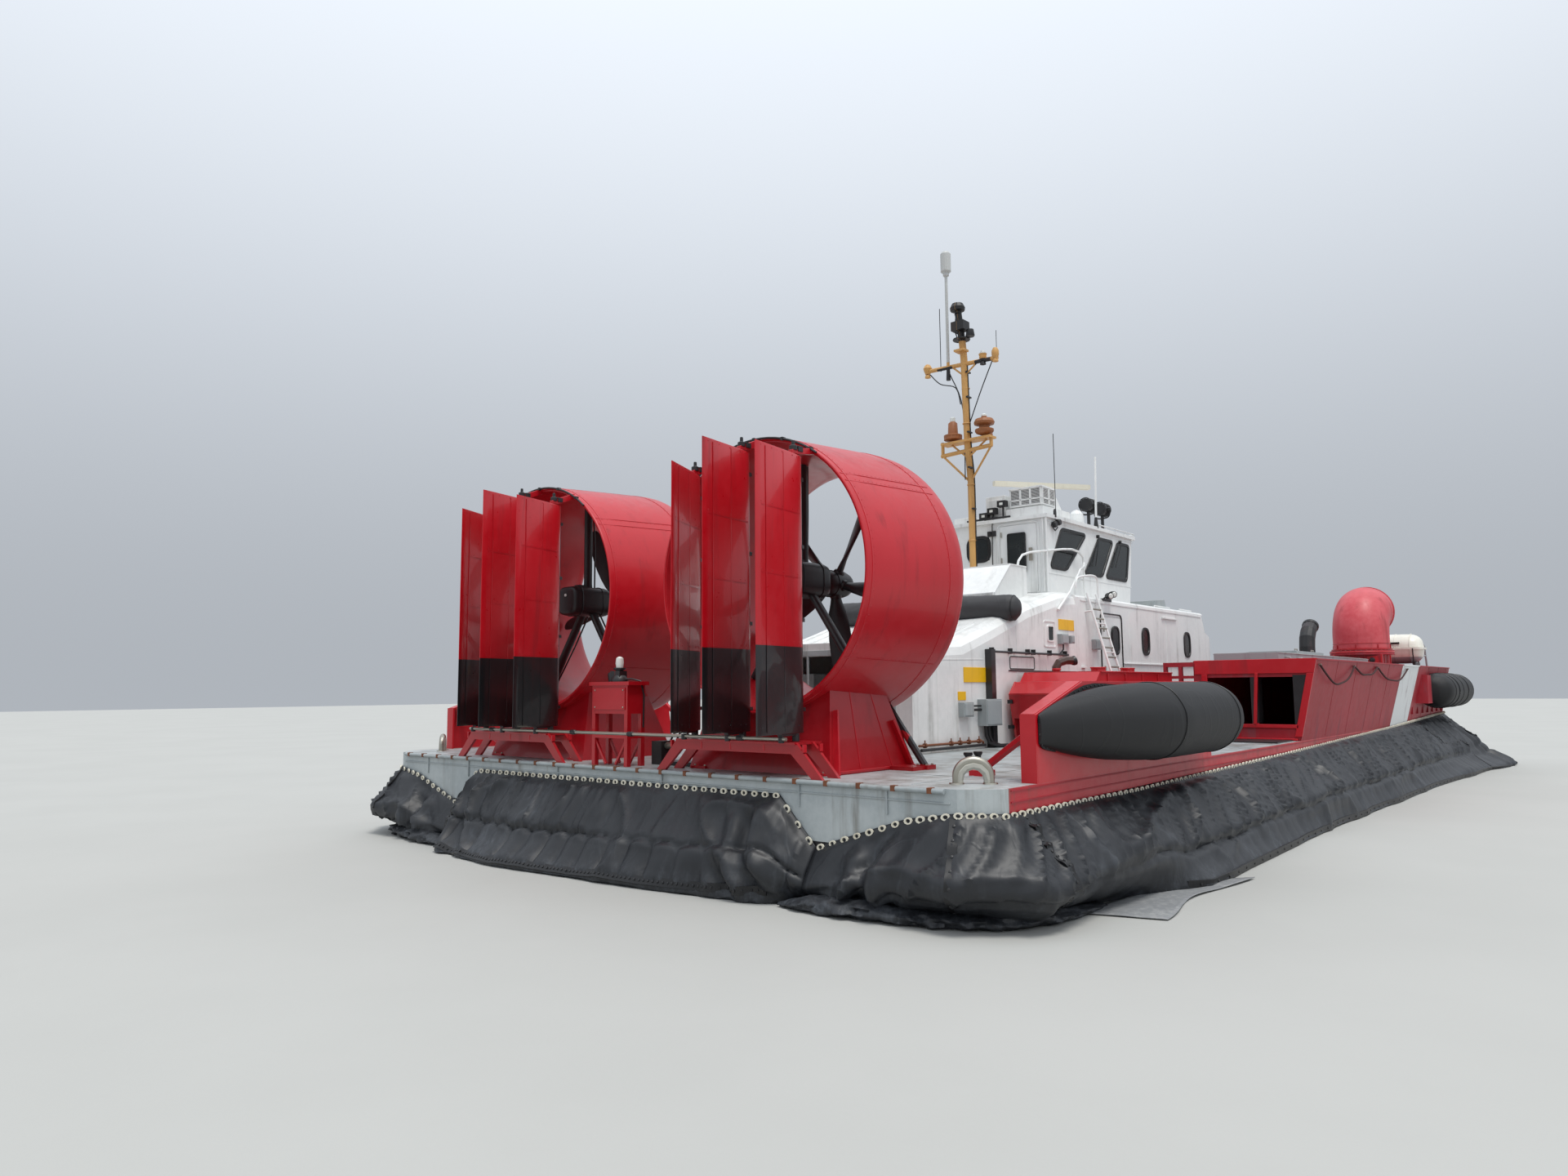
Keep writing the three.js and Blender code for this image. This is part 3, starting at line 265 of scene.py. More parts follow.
class Graph(Tree):
    """The tree of one finish. Its patterns read the piece's own coordinates, in metres."""

    def __init__(self, name: str) -> None:
        """Makes the material and its position socket.

        Args:
            name: the material's name.
        """
        self.material = bpy.data.materials.new(name)
        self.material.use_nodes = True
        super().__init__(self.material.node_tree)
        raw = self.node("ShaderNodeTexCoord", out="Object")
        self.place = self.node(
            "ShaderNodeVectorMath", {"operation": "ADD"}, {0: raw, 1: (TRANSOM_TO_MIDSHIP, 0.0, 0.0)}
        )

    def axis(self, name: str) -> Value:
        """The station (X), the distance to port (Y) or the height (Z)."""
        return self.node("ShaderNodeSeparateXYZ", sockets={0: self.place}, out=name)

    def upward(self) -> Value:
        """How far the surface faces up, from -1 to 1."""
        facing = self.node("ShaderNodeTexCoord", out="Normal")
        return self.node("ShaderNodeSeparateXYZ", sockets={0: facing}, out="Z")

    def noise(
        self,
        scale: float,
        stretch: Point = (1, 1, 1),
        detail: float = 3.0,
        rough: float = 0.55,
        shift: float = 0.0,
    ) -> Value:
        """Cloudy noise from 0 to 1.

        Args:
            scale: features per metre.
            stretch: the scale's share along each axis.
            detail: how many finer layers it has.
            rough: how strong they are.
            shift: moves the pattern, so that two noises differ.

        Returns:
            The noise.
        """
        turned = self.node(
            "ShaderNodeMapping",
            sockets={"Vector": self.place, "Location": (shift, shift, shift), "Scale": tuple(stretch)},
        )
        return self.node(
            "ShaderNodeTexNoise",
            sockets={"Vector": turned, "Scale": scale, "Detail": detail, "Roughness": rough},
        )

    def mix(self, share: Any, first: Any, second: Any) -> Value:
        """A colour between first and second, by share."""
        return self.node("ShaderNodeMix", {"data_type": "RGBA"}, {0: share, 6: first, 7: second}, out=2)

    def bump(self, height: Value, strength: float, distance: float, below: Optional[Value] = None) -> Value:
        """A normal that shows a height, on top of another normal if there is one.

        Args:
            height: the height.
            strength: how much of it shows, from 0 to 1.
            distance: how high a height of 1 is, in metres.
            below: the normal under it, if any.

        Returns:
            The normal.
        """
        sockets = {"Height": height, "Strength": strength, "Distance": distance}
        if below is not None:
            sockets["Normal"] = below
        return self.node("ShaderNodeBump", sockets=sockets)

    def surface(self, **sockets: Any) -> bpy.types.Material:
        """Ends the tree in a Principled shader.

        Args:
            sockets: the shader's inputs by name, with _ for a space.

        Returns:
            The material.
        """
        named = {name.replace("_", " "): source for name, source in sockets.items()}
        shader = self.node("ShaderNodeBsdfPrincipled", sockets=named)
        output = self.tree.nodes.new("ShaderNodeOutputMaterial")
        self.tree.links.new(shader.socket, output.inputs["Surface"])
        return self.material


# Finishes


Mask = Callable[[Graph], Value]


@dataclass(frozen=True)
class Band:
    """A second colour on a painted piece, and where it lies."""

    colour: Colour
    where: Mask


@dataclass(frozen=True)
class Paint:
    """Paint on metal: it fades in clouds, rain streaks it, and it chips and gathers grime."""

    colour: Colour
    faded: Colour
    stain: Colour
    roughness: float = 0.42
    metallic: float = 0.0
    coat: float = 0.0
    fading: float = 0.5
    streaks: float = 0.35
    chips: float = 0.0
    chip_colour: Colour = (0.25, 0.2, 0.17)
    grime: float = 0.3
    relief: float = 0.25
    bands: tuple[Band, ...] = ()

    def make(self, name: str) -> bpy.types.Material:
        """Builds the material.

        Args:
            name: the material's name.

        Returns:
            The material.
        """
        graph = Graph(name)
        clouds = graph.noise(0.9, detail=5, rough=0.6)
        fine = graph.noise(9, detail=4, rough=0.65, shift=3)
        runs = graph.noise(5, (1, 1, 0.09), detail=5, rough=0.6, shift=7)
        colour = graph.mix(((clouds * 0.7 + fine * 0.3).rise(0.36, 0.66)) * self.fading, self.colour, self.faded)
        for band in self.bands:
            colour = graph.mix(band.where(graph), colour, band.colour)
        upright = graph.upward().size().rise(0.9, 0.5)
        streak = runs.rise(0.52, 0.74) * (clouds.rise(0.3, 0.6)) * upright * self.streaks
        colour = graph.mix(streak, colour, self.stain)
        flat = graph.upward().rise(0.6, 0.95) * graph.noise(2.5, detail=6, rough=0.7, shift=11).rise(0.4, 0.7)
        colour = graph.mix(flat * self.grime, colour, self.stain)
        height = fine * 0.4 + clouds * 0.6
        if self.chips > 0:
            chip = graph.noise(22, detail=6, rough=0.75, shift=17).rise(0.74 - 0.12 * self.chips, 0.78)
            spotted = chip * graph.noise(1.7, detail=2, shift=23).rise(0.45, 0.65)
            colour = graph.mix(spotted, colour, self.chip_colour)
            height = height - spotted * 0.5
        dull = self.roughness + (fine - 0.5) * 0.25 + streak * 0.3
        return graph.surface(
            Base_Color=colour,
            Roughness=dull,
            Metallic=self.metallic,
            Coat_Weight=self.coat,
            Normal=graph.bump(height, self.relief, 0.01),
        )


@dataclass(frozen=True)
class Cloth:
    """Coated rubber cloth: dark and dull, with pale scuffs, runs and a fine weave."""

    colour: Colour
    scuff: Colour
    roughness: float = 0.62
    scuffs: float = 0.5
    weave: float = 260.0
    dust_top: float = 0.5

    def make(self, name: str) -> bpy.types.Material:
        """Builds the material.

        Args:
            name: the material's name.

        Returns:
            The material.
        """
        graph = Graph(name)
        clouds = graph.noise(1.6, detail=6, rough=0.62)
        runs = graph.noise(6, (1, 1, 0.12), detail=5, rough=0.65, shift=5)
        rub = graph.noise(14, (1, 1, 0.5), detail=7, rough=0.75, shift=9)
        height = graph.axis("Z")
        low = height.rise(self.dust_top, 0.0)
        worn = (clouds.rise(0.45, 0.72) * 0.6 + runs.rise(0.5, 0.8) * 0.6 + low * rub.rise(0.35, 0.7)) * self.scuffs
        colour = graph.mix(worn.rise(0.0, 1.3), self.colour, self.scuff)
        threads = graph.node(
            "ShaderNodeTexWave",
            {"bands_direction": "DIAGONAL"},
            {"Vector": graph.place, "Scale": self.weave, "Distortion": 0.0},
            out=1,
        )
        folds = 1 - (graph.noise(1.9, (1.5, 1.5, 0.35), detail=1, rough=0.4, shift=21) * 2 - 1).size() * 2
        crease = folds.rise(0.86, 1.0)
        colour = graph.mix(crease * clouds.rise(0.45, 0.7) * self.scuffs * 0.4, colour, self.scuff)
        ripple = graph.bump(clouds * 0.3 + rub * 0.12 + crease * 0.3, 0.3, 0.015)
        return graph.surface(
            Base_Color=colour,
            Roughness=self.roughness + worn * 0.2,
            Normal=graph.bump(threads, 0.05, 0.001, ripple),
        )


@dataclass(frozen=True)
class Glass:
    """Dark tinted window glass with a film of dust."""

    colour: Colour
    dust: Colour

    def make(self, name: str) -> bpy.types.Material:
        """Builds the material.

        Args:
            name: the material's name.

        Returns:
            The material.
        """
        graph = Graph(name)
        film = graph.noise(3, detail=6, rough=0.7).rise(0.4, 0.8)
        return graph.surface(
            Base_Color=graph.mix(film * 0.25, self.colour, self.dust),
            Roughness=0.2 + film * 0.12,
            Specular_IOR_Level=0.4,
            Normal=graph.bump(graph.noise(1.2, detail=1), 0.05, 0.01),
        )


@dataclass(frozen=True)
class Lamp:
    """A lamp's lens, with fine ribs behind its face."""

    colour: Colour

    def make(self, name: str) -> bpy.types.Material:
        """Builds the material.

        Args:
            name: the material's name.

        Returns:
            The material.
        """
        graph = Graph(name)
        ribs = (graph.axis("Z") * 900).wave()
        return graph.surface(
            Base_Color=graph.mix(ribs.rise(-1, 1) * 0.3, self.colour, tone(250, 250, 245)),
            Roughness=0.12 + ribs.size() * 0.05,
            Coat_Weight=0.6,
            Normal=graph.bump(ribs, 0.2, 0.001),
        )


@dataclass(frozen=True)
class Zone:
    """A part of a piece between two stations, two distances from the middle plane and two heights."""

    along: tuple[float, float] = (-9, 40)
    across: tuple[float, float] = (-9, 9)
    height: tuple[float, float] = (-1, 20)
    slant: float = 0.0

    def __call__(self, graph: Graph) -> Value:
        """1 inside the zone, on both sides of the craft.

        Args:
            graph: the finish's tree.

        Returns:
            The share of the place that is in the zone.
        """
        heights = graph.axis("Z")
        ranges = (
            (graph.axis("X") - heights * self.slant, self.along),
            (graph.axis("Y").size(), self.across),
            (heights, self.height),
        )
        inside: Optional[Value] = None
        for value, (low, high) in ranges:
            share = value.rise(low, low + 0.003) * value.rise(high + 0.003, high)
            inside = share if inside is None else inside * share
        return inside


WHITE_PAINT = tone(236, 237, 235)
RED_PAINT = tone(182, 6, 24)
DARK = tone(28, 28, 30)
DULL_GREY = tone(152, 158, 160)

SIDE_BANDS = (
    Band(tone(226, 228, 228), Zone((17.33, 19.29), (5.18, 9), (1.1, 2.599), slant=0.21)),
    Band(DULL_GREY, Zone((10.9, 18.3), (3.7, 4.9), (2.603, 2.8))),
    Band(DULL_GREY, Zone((21.9, 23.4), (5.15, 5.4), (2.603, 3.3))),
    Band(DARK, Zone((16.2, 17.2), (3.7, 4.3), (2.733, 3.7))),
)
RAFT_BANDS = (
    Band(tone(176, 24, 38), Zone((0.36, 24.58), (5.28, 5.4), (0.9, 1.2285))),
    Band(tone(176, 24, 38), Zone((24.58, 25.9), (1.7, 5.4), (1.0, 1.2285))),
    Band(tone(176, 174, 164), Zone((0.3, 0.9), (4.5, 5.1), (1.234, 1.6))),
    Band(tone(96, 100, 100), Zone((17.2, 24.7), (0, 3.4), (1.235, 1.26))),
    # Dark on the raft below the skirt line, where the skirt's gaps look into its inside: painted shade.
    Band(DARK, Zone((-0.1, 26), (0, 9), (0.0, 0.62))),
)
MAST_BANDS = (
    Band(DARK, Zone((8.4, 8.95), (0, 0.3), (8.93, 9.8))),
    Band(tone(190, 192, 190), Zone((8.4, 9.0), (0.2, 0.5), (8.6, 11))),
    Band(DARK, Zone((8.6, 9.1), (0.25, 0.6), (8.1, 8.5))),
    Band(tone(150, 92, 52), Zone((8.6, 9.1), (0.1, 0.62), (6.975, 7.45))),
)


class Finish(Enum):
    """The craft's finishes. Each value is the record's slot that it belongs to, and its recipe."""

    RED = ("red_paint", Paint(RED_PAINT, tone(196, 22, 38), tone(96, 14, 20), roughness=0.4, coat=0.15, streaks=0.4))
    # A darker copy of the red for the pedestals under the ducts and the rings under the thrusters' elbows: painted
    # shade.
    RED_SHADE = ("red_paint", Paint(
        tone(158, 8, 20), tone(176, 24, 36), tone(60, 10, 12), roughness=0.36, coat=0.2, grime=0.5,
        bands=(Band(DARK, Zone((2.57, 4), (2.6, 3.6), (1.285, 2.2), slant=-0.41)),
               Band(DARK, Zone((1.5, 2.3), (3.19, 3.6), (1.285, 2.2))))))
    RED_SIDE = ("red_paint", Paint(
        tone(150, 14, 30), tone(166, 36, 50), tone(118, 84, 90), roughness=0.55, fading=0.8, streaks=0.7, chips=0.3,
        chip_colour=tone(200, 190, 186), bands=SIDE_BANDS))
    RED_COVER = ("red_paint", Paint(
        tone(176, 8, 22), tone(196, 30, 42), tone(80, 14, 18), roughness=0.36, coat=0.3, chips=0.3,
        chip_colour=tone(150, 90, 84), bands=(Band(tone(70, 48, 40), Zone((7.4, 7.95), (2.2, 2.6), (2.396, 2.8))),)))
    RED_FADED = ("red_paint", Paint(
        tone(188, 52, 62), tone(206, 92, 98), tone(128, 40, 44), roughness=0.45, streaks=0.5, fading=0.8))
    RUDDER = ("red_paint", Paint(
        tone(182, 8, 24), tone(200, 34, 46), tone(70, 14, 18), roughness=0.32, coat=0.3, streaks=0.5,
        bands=(Band(DARK, Zone((-2, 1), (0, 9), (1.6, 2.6))),)))
    STAND = ("red_paint", Paint(
        tone(170, 8, 22), tone(190, 28, 40), tone(60, 12, 14), roughness=0.36, coat=0.2,
        bands=(Band(DARK, Zone((0.05, 0.3), (0, 0.12), (2.268, 2.5))),)))
    WHITE = ("white_paint", Paint(
        WHITE_PAINT, tone(216, 219, 219), tone(132, 130, 124), roughness=0.34, coat=0.25, streaks=0.5, fading=0.6))
    CASING = ("white_paint", Paint(
        WHITE_PAINT, tone(214, 216, 214), tone(126, 124, 116), roughness=0.36, coat=0.25, streaks=0.6, fading=0.65,
        bands=(Band(DARK, Zone((5.8, 9.2), (1.904, 2.2), (1.2, 2.8))),)))
    CREAM = ("white_paint", Paint(tone(222, 217, 200), tone(206, 198, 176), tone(120, 104, 80), roughness=0.5))
    RAFT_CASE = ("white_paint", Paint(
        tone(232, 229, 218), tone(212, 208, 192), tone(120, 116, 104), roughness=0.32, coat=0.3, streaks=0.6,
        bands=(Band(DULL_GREY, Zone((21, 21.9), (4, 5.6), (2.55, 2.84))),)))
    GREY = ("hull_paint", Paint(
        tone(150, 158, 160), tone(172, 178, 178), tone(104, 92, 78), roughness=0.5, streaks=0.6, chips=0.4,
        chip_colour=tone(90, 70, 52), grime=0.6, fading=0.8))
    DECK = ("hull_paint", Paint(
        tone(156, 164, 166), tone(184, 190, 190), tone(98, 90, 78), roughness=0.4, streaks=0.65, chips=0.5,
        chip_colour=tone(96, 74, 54), grime=0.75, fading=0.85, bands=RAFT_BANDS))
    BLACK = ("black_paint", Paint(tone(26, 26, 28), tone(46, 46, 48), tone(70, 68, 64), roughness=0.42, grime=0.25))
    OCHRE = ("mast_paint", Paint(
        tone(206, 158, 92), tone(188, 140, 82), tone(112, 80, 50), roughness=0.5, streaks=0.5, chips=0.3,
        bands=MAST_BANDS))
    YELLOW = ("mast_paint", Paint(tone(240, 186, 16), tone(226, 178, 40), tone(130, 96, 30), roughness=0.4))
    STEEL = ("bare_steel", Paint(
        tone(176, 172, 160), tone(150, 146, 136), tone(98, 84, 68), roughness=0.34, metallic=0.85, relief=0.15))
    RUST = ("bare_steel", Paint(tone(122, 74, 48), tone(96, 58, 42), tone(60, 38, 30), roughness=0.8, relief=0.6))
    CLOTH = ("skirt_rubber", Cloth(tone(30, 32, 36), tone(92, 97, 104), roughness=0.45, scuffs=0.5))
    COVER = ("skirt_rubber", Cloth(tone(52, 52, 54), tone(120, 120, 118), scuffs=0.35, dust_top=0.0))
    FLAP = ("skirt_rubber", Cloth(tone(126, 128, 130), tone(170, 170, 168), scuffs=0.6))
    FENDER = ("skirt_rubber", Cloth(tone(20, 20, 22), tone(58, 58, 60), roughness=0.62, scuffs=0.25, dust_top=0.0))
    SEAL = ("skirt_rubber", Cloth(tone(18, 18, 20), tone(60, 60, 60), roughness=0.45, scuffs=0.15, dust_top=0.0))
    ROPE = ("skirt_rubber", Cloth(tone(60, 26, 26), tone(110, 70, 66), roughness=0.8, scuffs=0.4, dust_top=0.0))
    GLASS = ("window_glass", Glass(tone(16, 22, 22), tone(60, 66, 64)))
    LENS = ("window_glass", Lamp(tone(214, 218, 212)))

    @property
    def slot(self) -> str:
        """The record's material slot."""
        return self.value[0]

    @functools.cached_property
    def material(self) -> bpy.types.Material:
        """The material, made once."""
        return self.value[1].make(self.name.lower())


# Meshes


def circle(count: int) -> list[tuple[float, float]]:
    """The cosine and sine of even turns round a circle."""
    return [(math.cos(math.tau * i / count), math.sin(math.tau * i / count)) for i in range(count)]


def side_face(height: float) -> float:
    """Where the leaning side of a side body is at a height, to starboard."""
    return -(RAFT_EDGE + (height - DECK) * SIDE_LEAN)


class Axis(Enum):
    """The direction that an outline is run along, and where its two numbers go."""

    X = (0, 1, 2)
    Y = (1, 0, 2)
    Z = (2, 0, 1)

    def point(self, along: float, first: float, second: float) -> Vector:
        """The point at a distance along the axis, with the outline's two numbers.

        Args:
            along: the distance along the axis.
            first: the outline's first number.
            second: the outline's second number.

        Returns:
            The point.
        """
        spot = Vector((0, 0, 0))
        for index, number in zip(self.value, (along, first, second)):
            spot[index] = number
        return spot

    @property
    def direction(self) -> Vector:
        """The unit vector along the axis."""
        return self.point(1, 0, 0)


class Form:
    """Faces gathered for one piece, each with its finish."""

    def __init__(self, finish: Finish) -> None:
        """Starts empty, with the finish that faces get until it is changed.

        Args:
            finish: the first faces' finish.
        """
        self.mesh = bmesh.new()
        self.finishes: list[Finish] = []
        self.in_finish(finish)

    def in_finish(self, finish: Finish) -> "Form":
        """Sets the finish of the faces that follow.

        Args:
            finish: the finish.

        Returns:
            The form itself.
        """
        if finish not in self.finishes:
            self.finishes.append(finish)
        self.slot_index = self.finishes.index(finish)
        return self

    def faces(self, points: Iterable[Point], loops: Iterable[Sequence[int]]) -> "Form":
        """Adds faces on new points.

        Args:
            points: the new points.
            loops: the faces, as places in points.

        Returns:
            The form itself.
        """
        corners = [self.mesh.verts.new(point) for point in points]
        for loop in loops:
            face = self.mesh.faces.new([corners[i] for i in loop])
            face.material_index = self.slot_index
            face.smooth = True
        return self

    def loft(self, sections: Sequence[Sequence[Point]], around: bool = False) -> "Form":
        """A skin through closed sections.

        Args:
            sections: rings with the same number of points.
            around: joins the last ring to the first, as on a hoop.

        Returns:
            The form itself.
        """
        count, rings = len(sections[0]), len(sections)
        loops = []
        for s in range(rings if around else rings - 1):
            for c in range(count):
                a, b = s * count + c, s * count + (c + 1) % count
                step = count if s + 1 < rings else -s * count
                loops.append((a, b, b + step, a + step))
        if not around:
            loops.append(tuple(range(count))[::-1])
            loops.append(tuple(range((rings - 1) * count, rings * count)))
        return self.faces([point for section in sections for point in section], loops)

    def box(self, low: Point, high: Point) -> "Form":
        """A box between two corners."""
        (x0, y0, z0), (x1, y1, z1) = low, high
        return self.loft([[(x, y0, z0), (x, y1, z0), (x, y1, z1), (x, y0, z1)] for x in (x0, x1)])

    def beam(self, start: Point, end: Point, width: float, height: float, up: Point = UP) -> "Form":
        """A rectangular bar between two points, height measured along up.

        Args:
            start: the middle of one end.
            end: the middle of the other.
            width: the size across.
            height: the size along up.
            up: the way that the height is measured.

        Returns:
            The form itself.
        """
        a, b = Vector(start), Vector(end)
        side = (b - a).cross(Vector(up)).normalized() * (width / 2)
        rise = side.cross(b - a).normalized() * (height / 2)
        return self.loft([[p - side - rise, p + side - rise, p + side + rise, p - side + rise] for p in (a, b)])

    def prism(self, axis: Axis, outline: Sequence[Sequence[float]], low: float, high: float) -> "Form":
        """An outline run along an axis from low to high."""
        return self.loft([[axis.point(along, *corner) for corner in outline] for along in (low, high)])

    def tube(
        self,
        path: Sequence[Point],
        radius: Union[float, Sequence[float]],
        sides: int = 10,
        around: bool = False,
    ) -> "Form":
        """A round bar through points, whose radius may change from point to point.

        Args:
            path: the points of its middle line.
            radius: one radius, or one for each point.
            sides: how many sides it has.
            around: whether the last point joins the first.

        Returns:
            The form itself.
        """
        spots = [Vector(point) for point in path]
        radii = [radius] * len(spots) if isinstance(radius, (int, float)) else list(radius)
        last = len(spots) - 1
        tangents = []
        for i in range(len(spots)):
            before = spots[i - 1] if i or around else spots[0]
            after = spots[(i + 1) % len(spots)] if i < last or around else spots[last]
            tangents.append((after - before).normalized())
        across = tangents[0].orthogonal().normalized()
        sections = []
        for spot, tangent, size in zip(spots, tangents, radii):
            across = (across - tangent * across.dot(tangent)).normalized()
            other = tangent.cross(across)
            sections.append([spot + (across * c + other * s) * size for c, s in circle(sides)])
        return self.loft(sections, around=around)

    def hoop(self, centre: Point, axis: Axis, radius: float, bar: float, segments: int = 48, sides: int = 8) -> "Form":
        """A round bar bent into a full circle about an axis."""
        path = [Vector(centre) + axis.point(0, radius * c, radius * s) for c, s in circle(segments)]
        return self.tube(path, bar, sides, around=True)

    def turned(
        self,
        profile: Sequence[Sequence[float]],
        origin: Point,
        direction: Point = UP,
        segments: int = 24,
        closed: bool = False,
    ) -> "Form":
        """A profile turned about a line.

        Args:
            profile: (radius, distance along the line) corners; a closed one is a ring.
            origin: where the line starts.
            direction: where it runs.
            segments: the faces round the circle.
            closed: whether the profile ends where it starts.

        Returns:
            The form itself.
        """
        line = Vector(direction).normalized()
        first = line.orthogonal().normalized()
        second = line.cross(first)
        points: list[Vector] = []
        rings: list[list[int]] = []
        for radius, along in profile:
            spot = Vector(origin) + line * along
            if radius < 1e-6:
                points.append(spot)
                rings.append([len(points) - 1] * segments)
                continue
            rings.append(list(range(len(points), len(points) + segments)))
            points += [spot + (first * c + second * s) * radius for c, s in circle(segments)]
        loops = []
        for here, there in zip(rings, rings[1:] + rings[:1] if closed else rings[1:]):
            for s in range(segments):
                t = (s + 1) % segments
                loop = dict.fromkeys((here[s], here[t], there[t], there[s]))
                if len(loop) > 2:
                    loops.append(tuple(loop))
        if not closed:
            for ring, flip in ((rings[0], True), (rings[-1], False)):
                if ring[0] != ring[1]:
                    loops.append(tuple(ring[::-1] if flip else ring))
        return self.faces(points, loops)

    def mirrored(self) -> "Form":
        """A copy on the other side of the craft.

        Returns:
            The copy.
        """
        twin = Form(self.finishes[0])
        twin.finishes = list(self.finishes)
        twin.mesh = self.mesh.copy()
        bmesh.ops.scale(twin.mesh, vec=(1, -1, 1), verts=twin.mesh.verts)
        bmesh.ops.reverse_faces(twin.mesh, faces=twin.mesh.faces)
        return twin

    def on(self, side: "Side", stem: str, **options: Any) -> bpy.types.Object:
        """Ends a form that is drawn to starboard as the piece of one side, with the options of piece."""
        return (self.mirrored() if side is Side.PORT else self).piece(f"{stem}_{side.label}", **options)

    def piece(
        self,
        name: str,
        body: str = HULL,
        bevel: float = 0.0,
        sharp_deg: float = 38.0,
        replaces: Sequence[str] = (),
        outward: bool = True,
    ) -> bpy.types.Object:
        """Ends the form as a piece of the craft.

        Args:
            name: the piece's name.
            body: the body it rides on.
            bevel: the width that its edges are eased by.
            sharp_deg: edges that turn more than this stay crisp.
            replaces: the CAD nodes that it stands for.
            outward: turns every shell's faces outwards first.

        Returns:
            The piece.
        """
        bmesh.ops.translate(self.mesh, vec=(-TRANSOM_TO_MIDSHIP, 0, 0), verts=self.mesh.verts)
        if outward:
            bmesh.ops.recalc_face_normals(self.mesh, faces=self.mesh.faces)
        data = bpy.data.meshes.new(name)
        self.mesh.to_mesh(data)
        self.mesh.free()
        data.set_sharp_from_angle(angle=math.radians(sharp_deg))
        for finish in self.finishes:
            data.materials.append(finish.material)
        made = bpy.data.objects.new(name, data)
        bpy.context.scene.collection.objects.link(made)
        if bevel:
            easing = made.modifiers.new("eased_edges", "BEVEL")
            easing.width = bevel
            easing.segments = 2
            easing.limit_method = "ANGLE"
            easing.angle_limit = math.radians(sharp_deg)
            easing.harden_normals = True
        return place(made, self.finishes[0], body, replaces)


def place(made: bpy.types.Object, finish: Finish, body: str, replaces: Sequence[str] = ()) -> bpy.types.Object:
    """Makes an object a piece: it rides on a body and may stand for CAD nodes.

    Args:
        made: the object.
        finish: not used.
        body: the body it rides on.
        replaces: the CAD nodes it stands for.

    Returns:
        The object.
    """
    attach(made, body)
    if replaces:
        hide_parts(*replaces)
    log.info("%s: %d faces on %s", made.name, len(made.data.polygons), body)
    return made


class Side(Enum):
    """A side of the craft, with the sign of its Y."""

    STARBOARD = -1
    PORT = 1

    @property
    def label(self) -> str:
        """The side's name in piece names."""
        return self.name.lower()


# What repeats


@dataclass
class Anchor:
    """A place for one copy of a pattern."""

    spot: Vector
    facing: Vector
    along: Vector


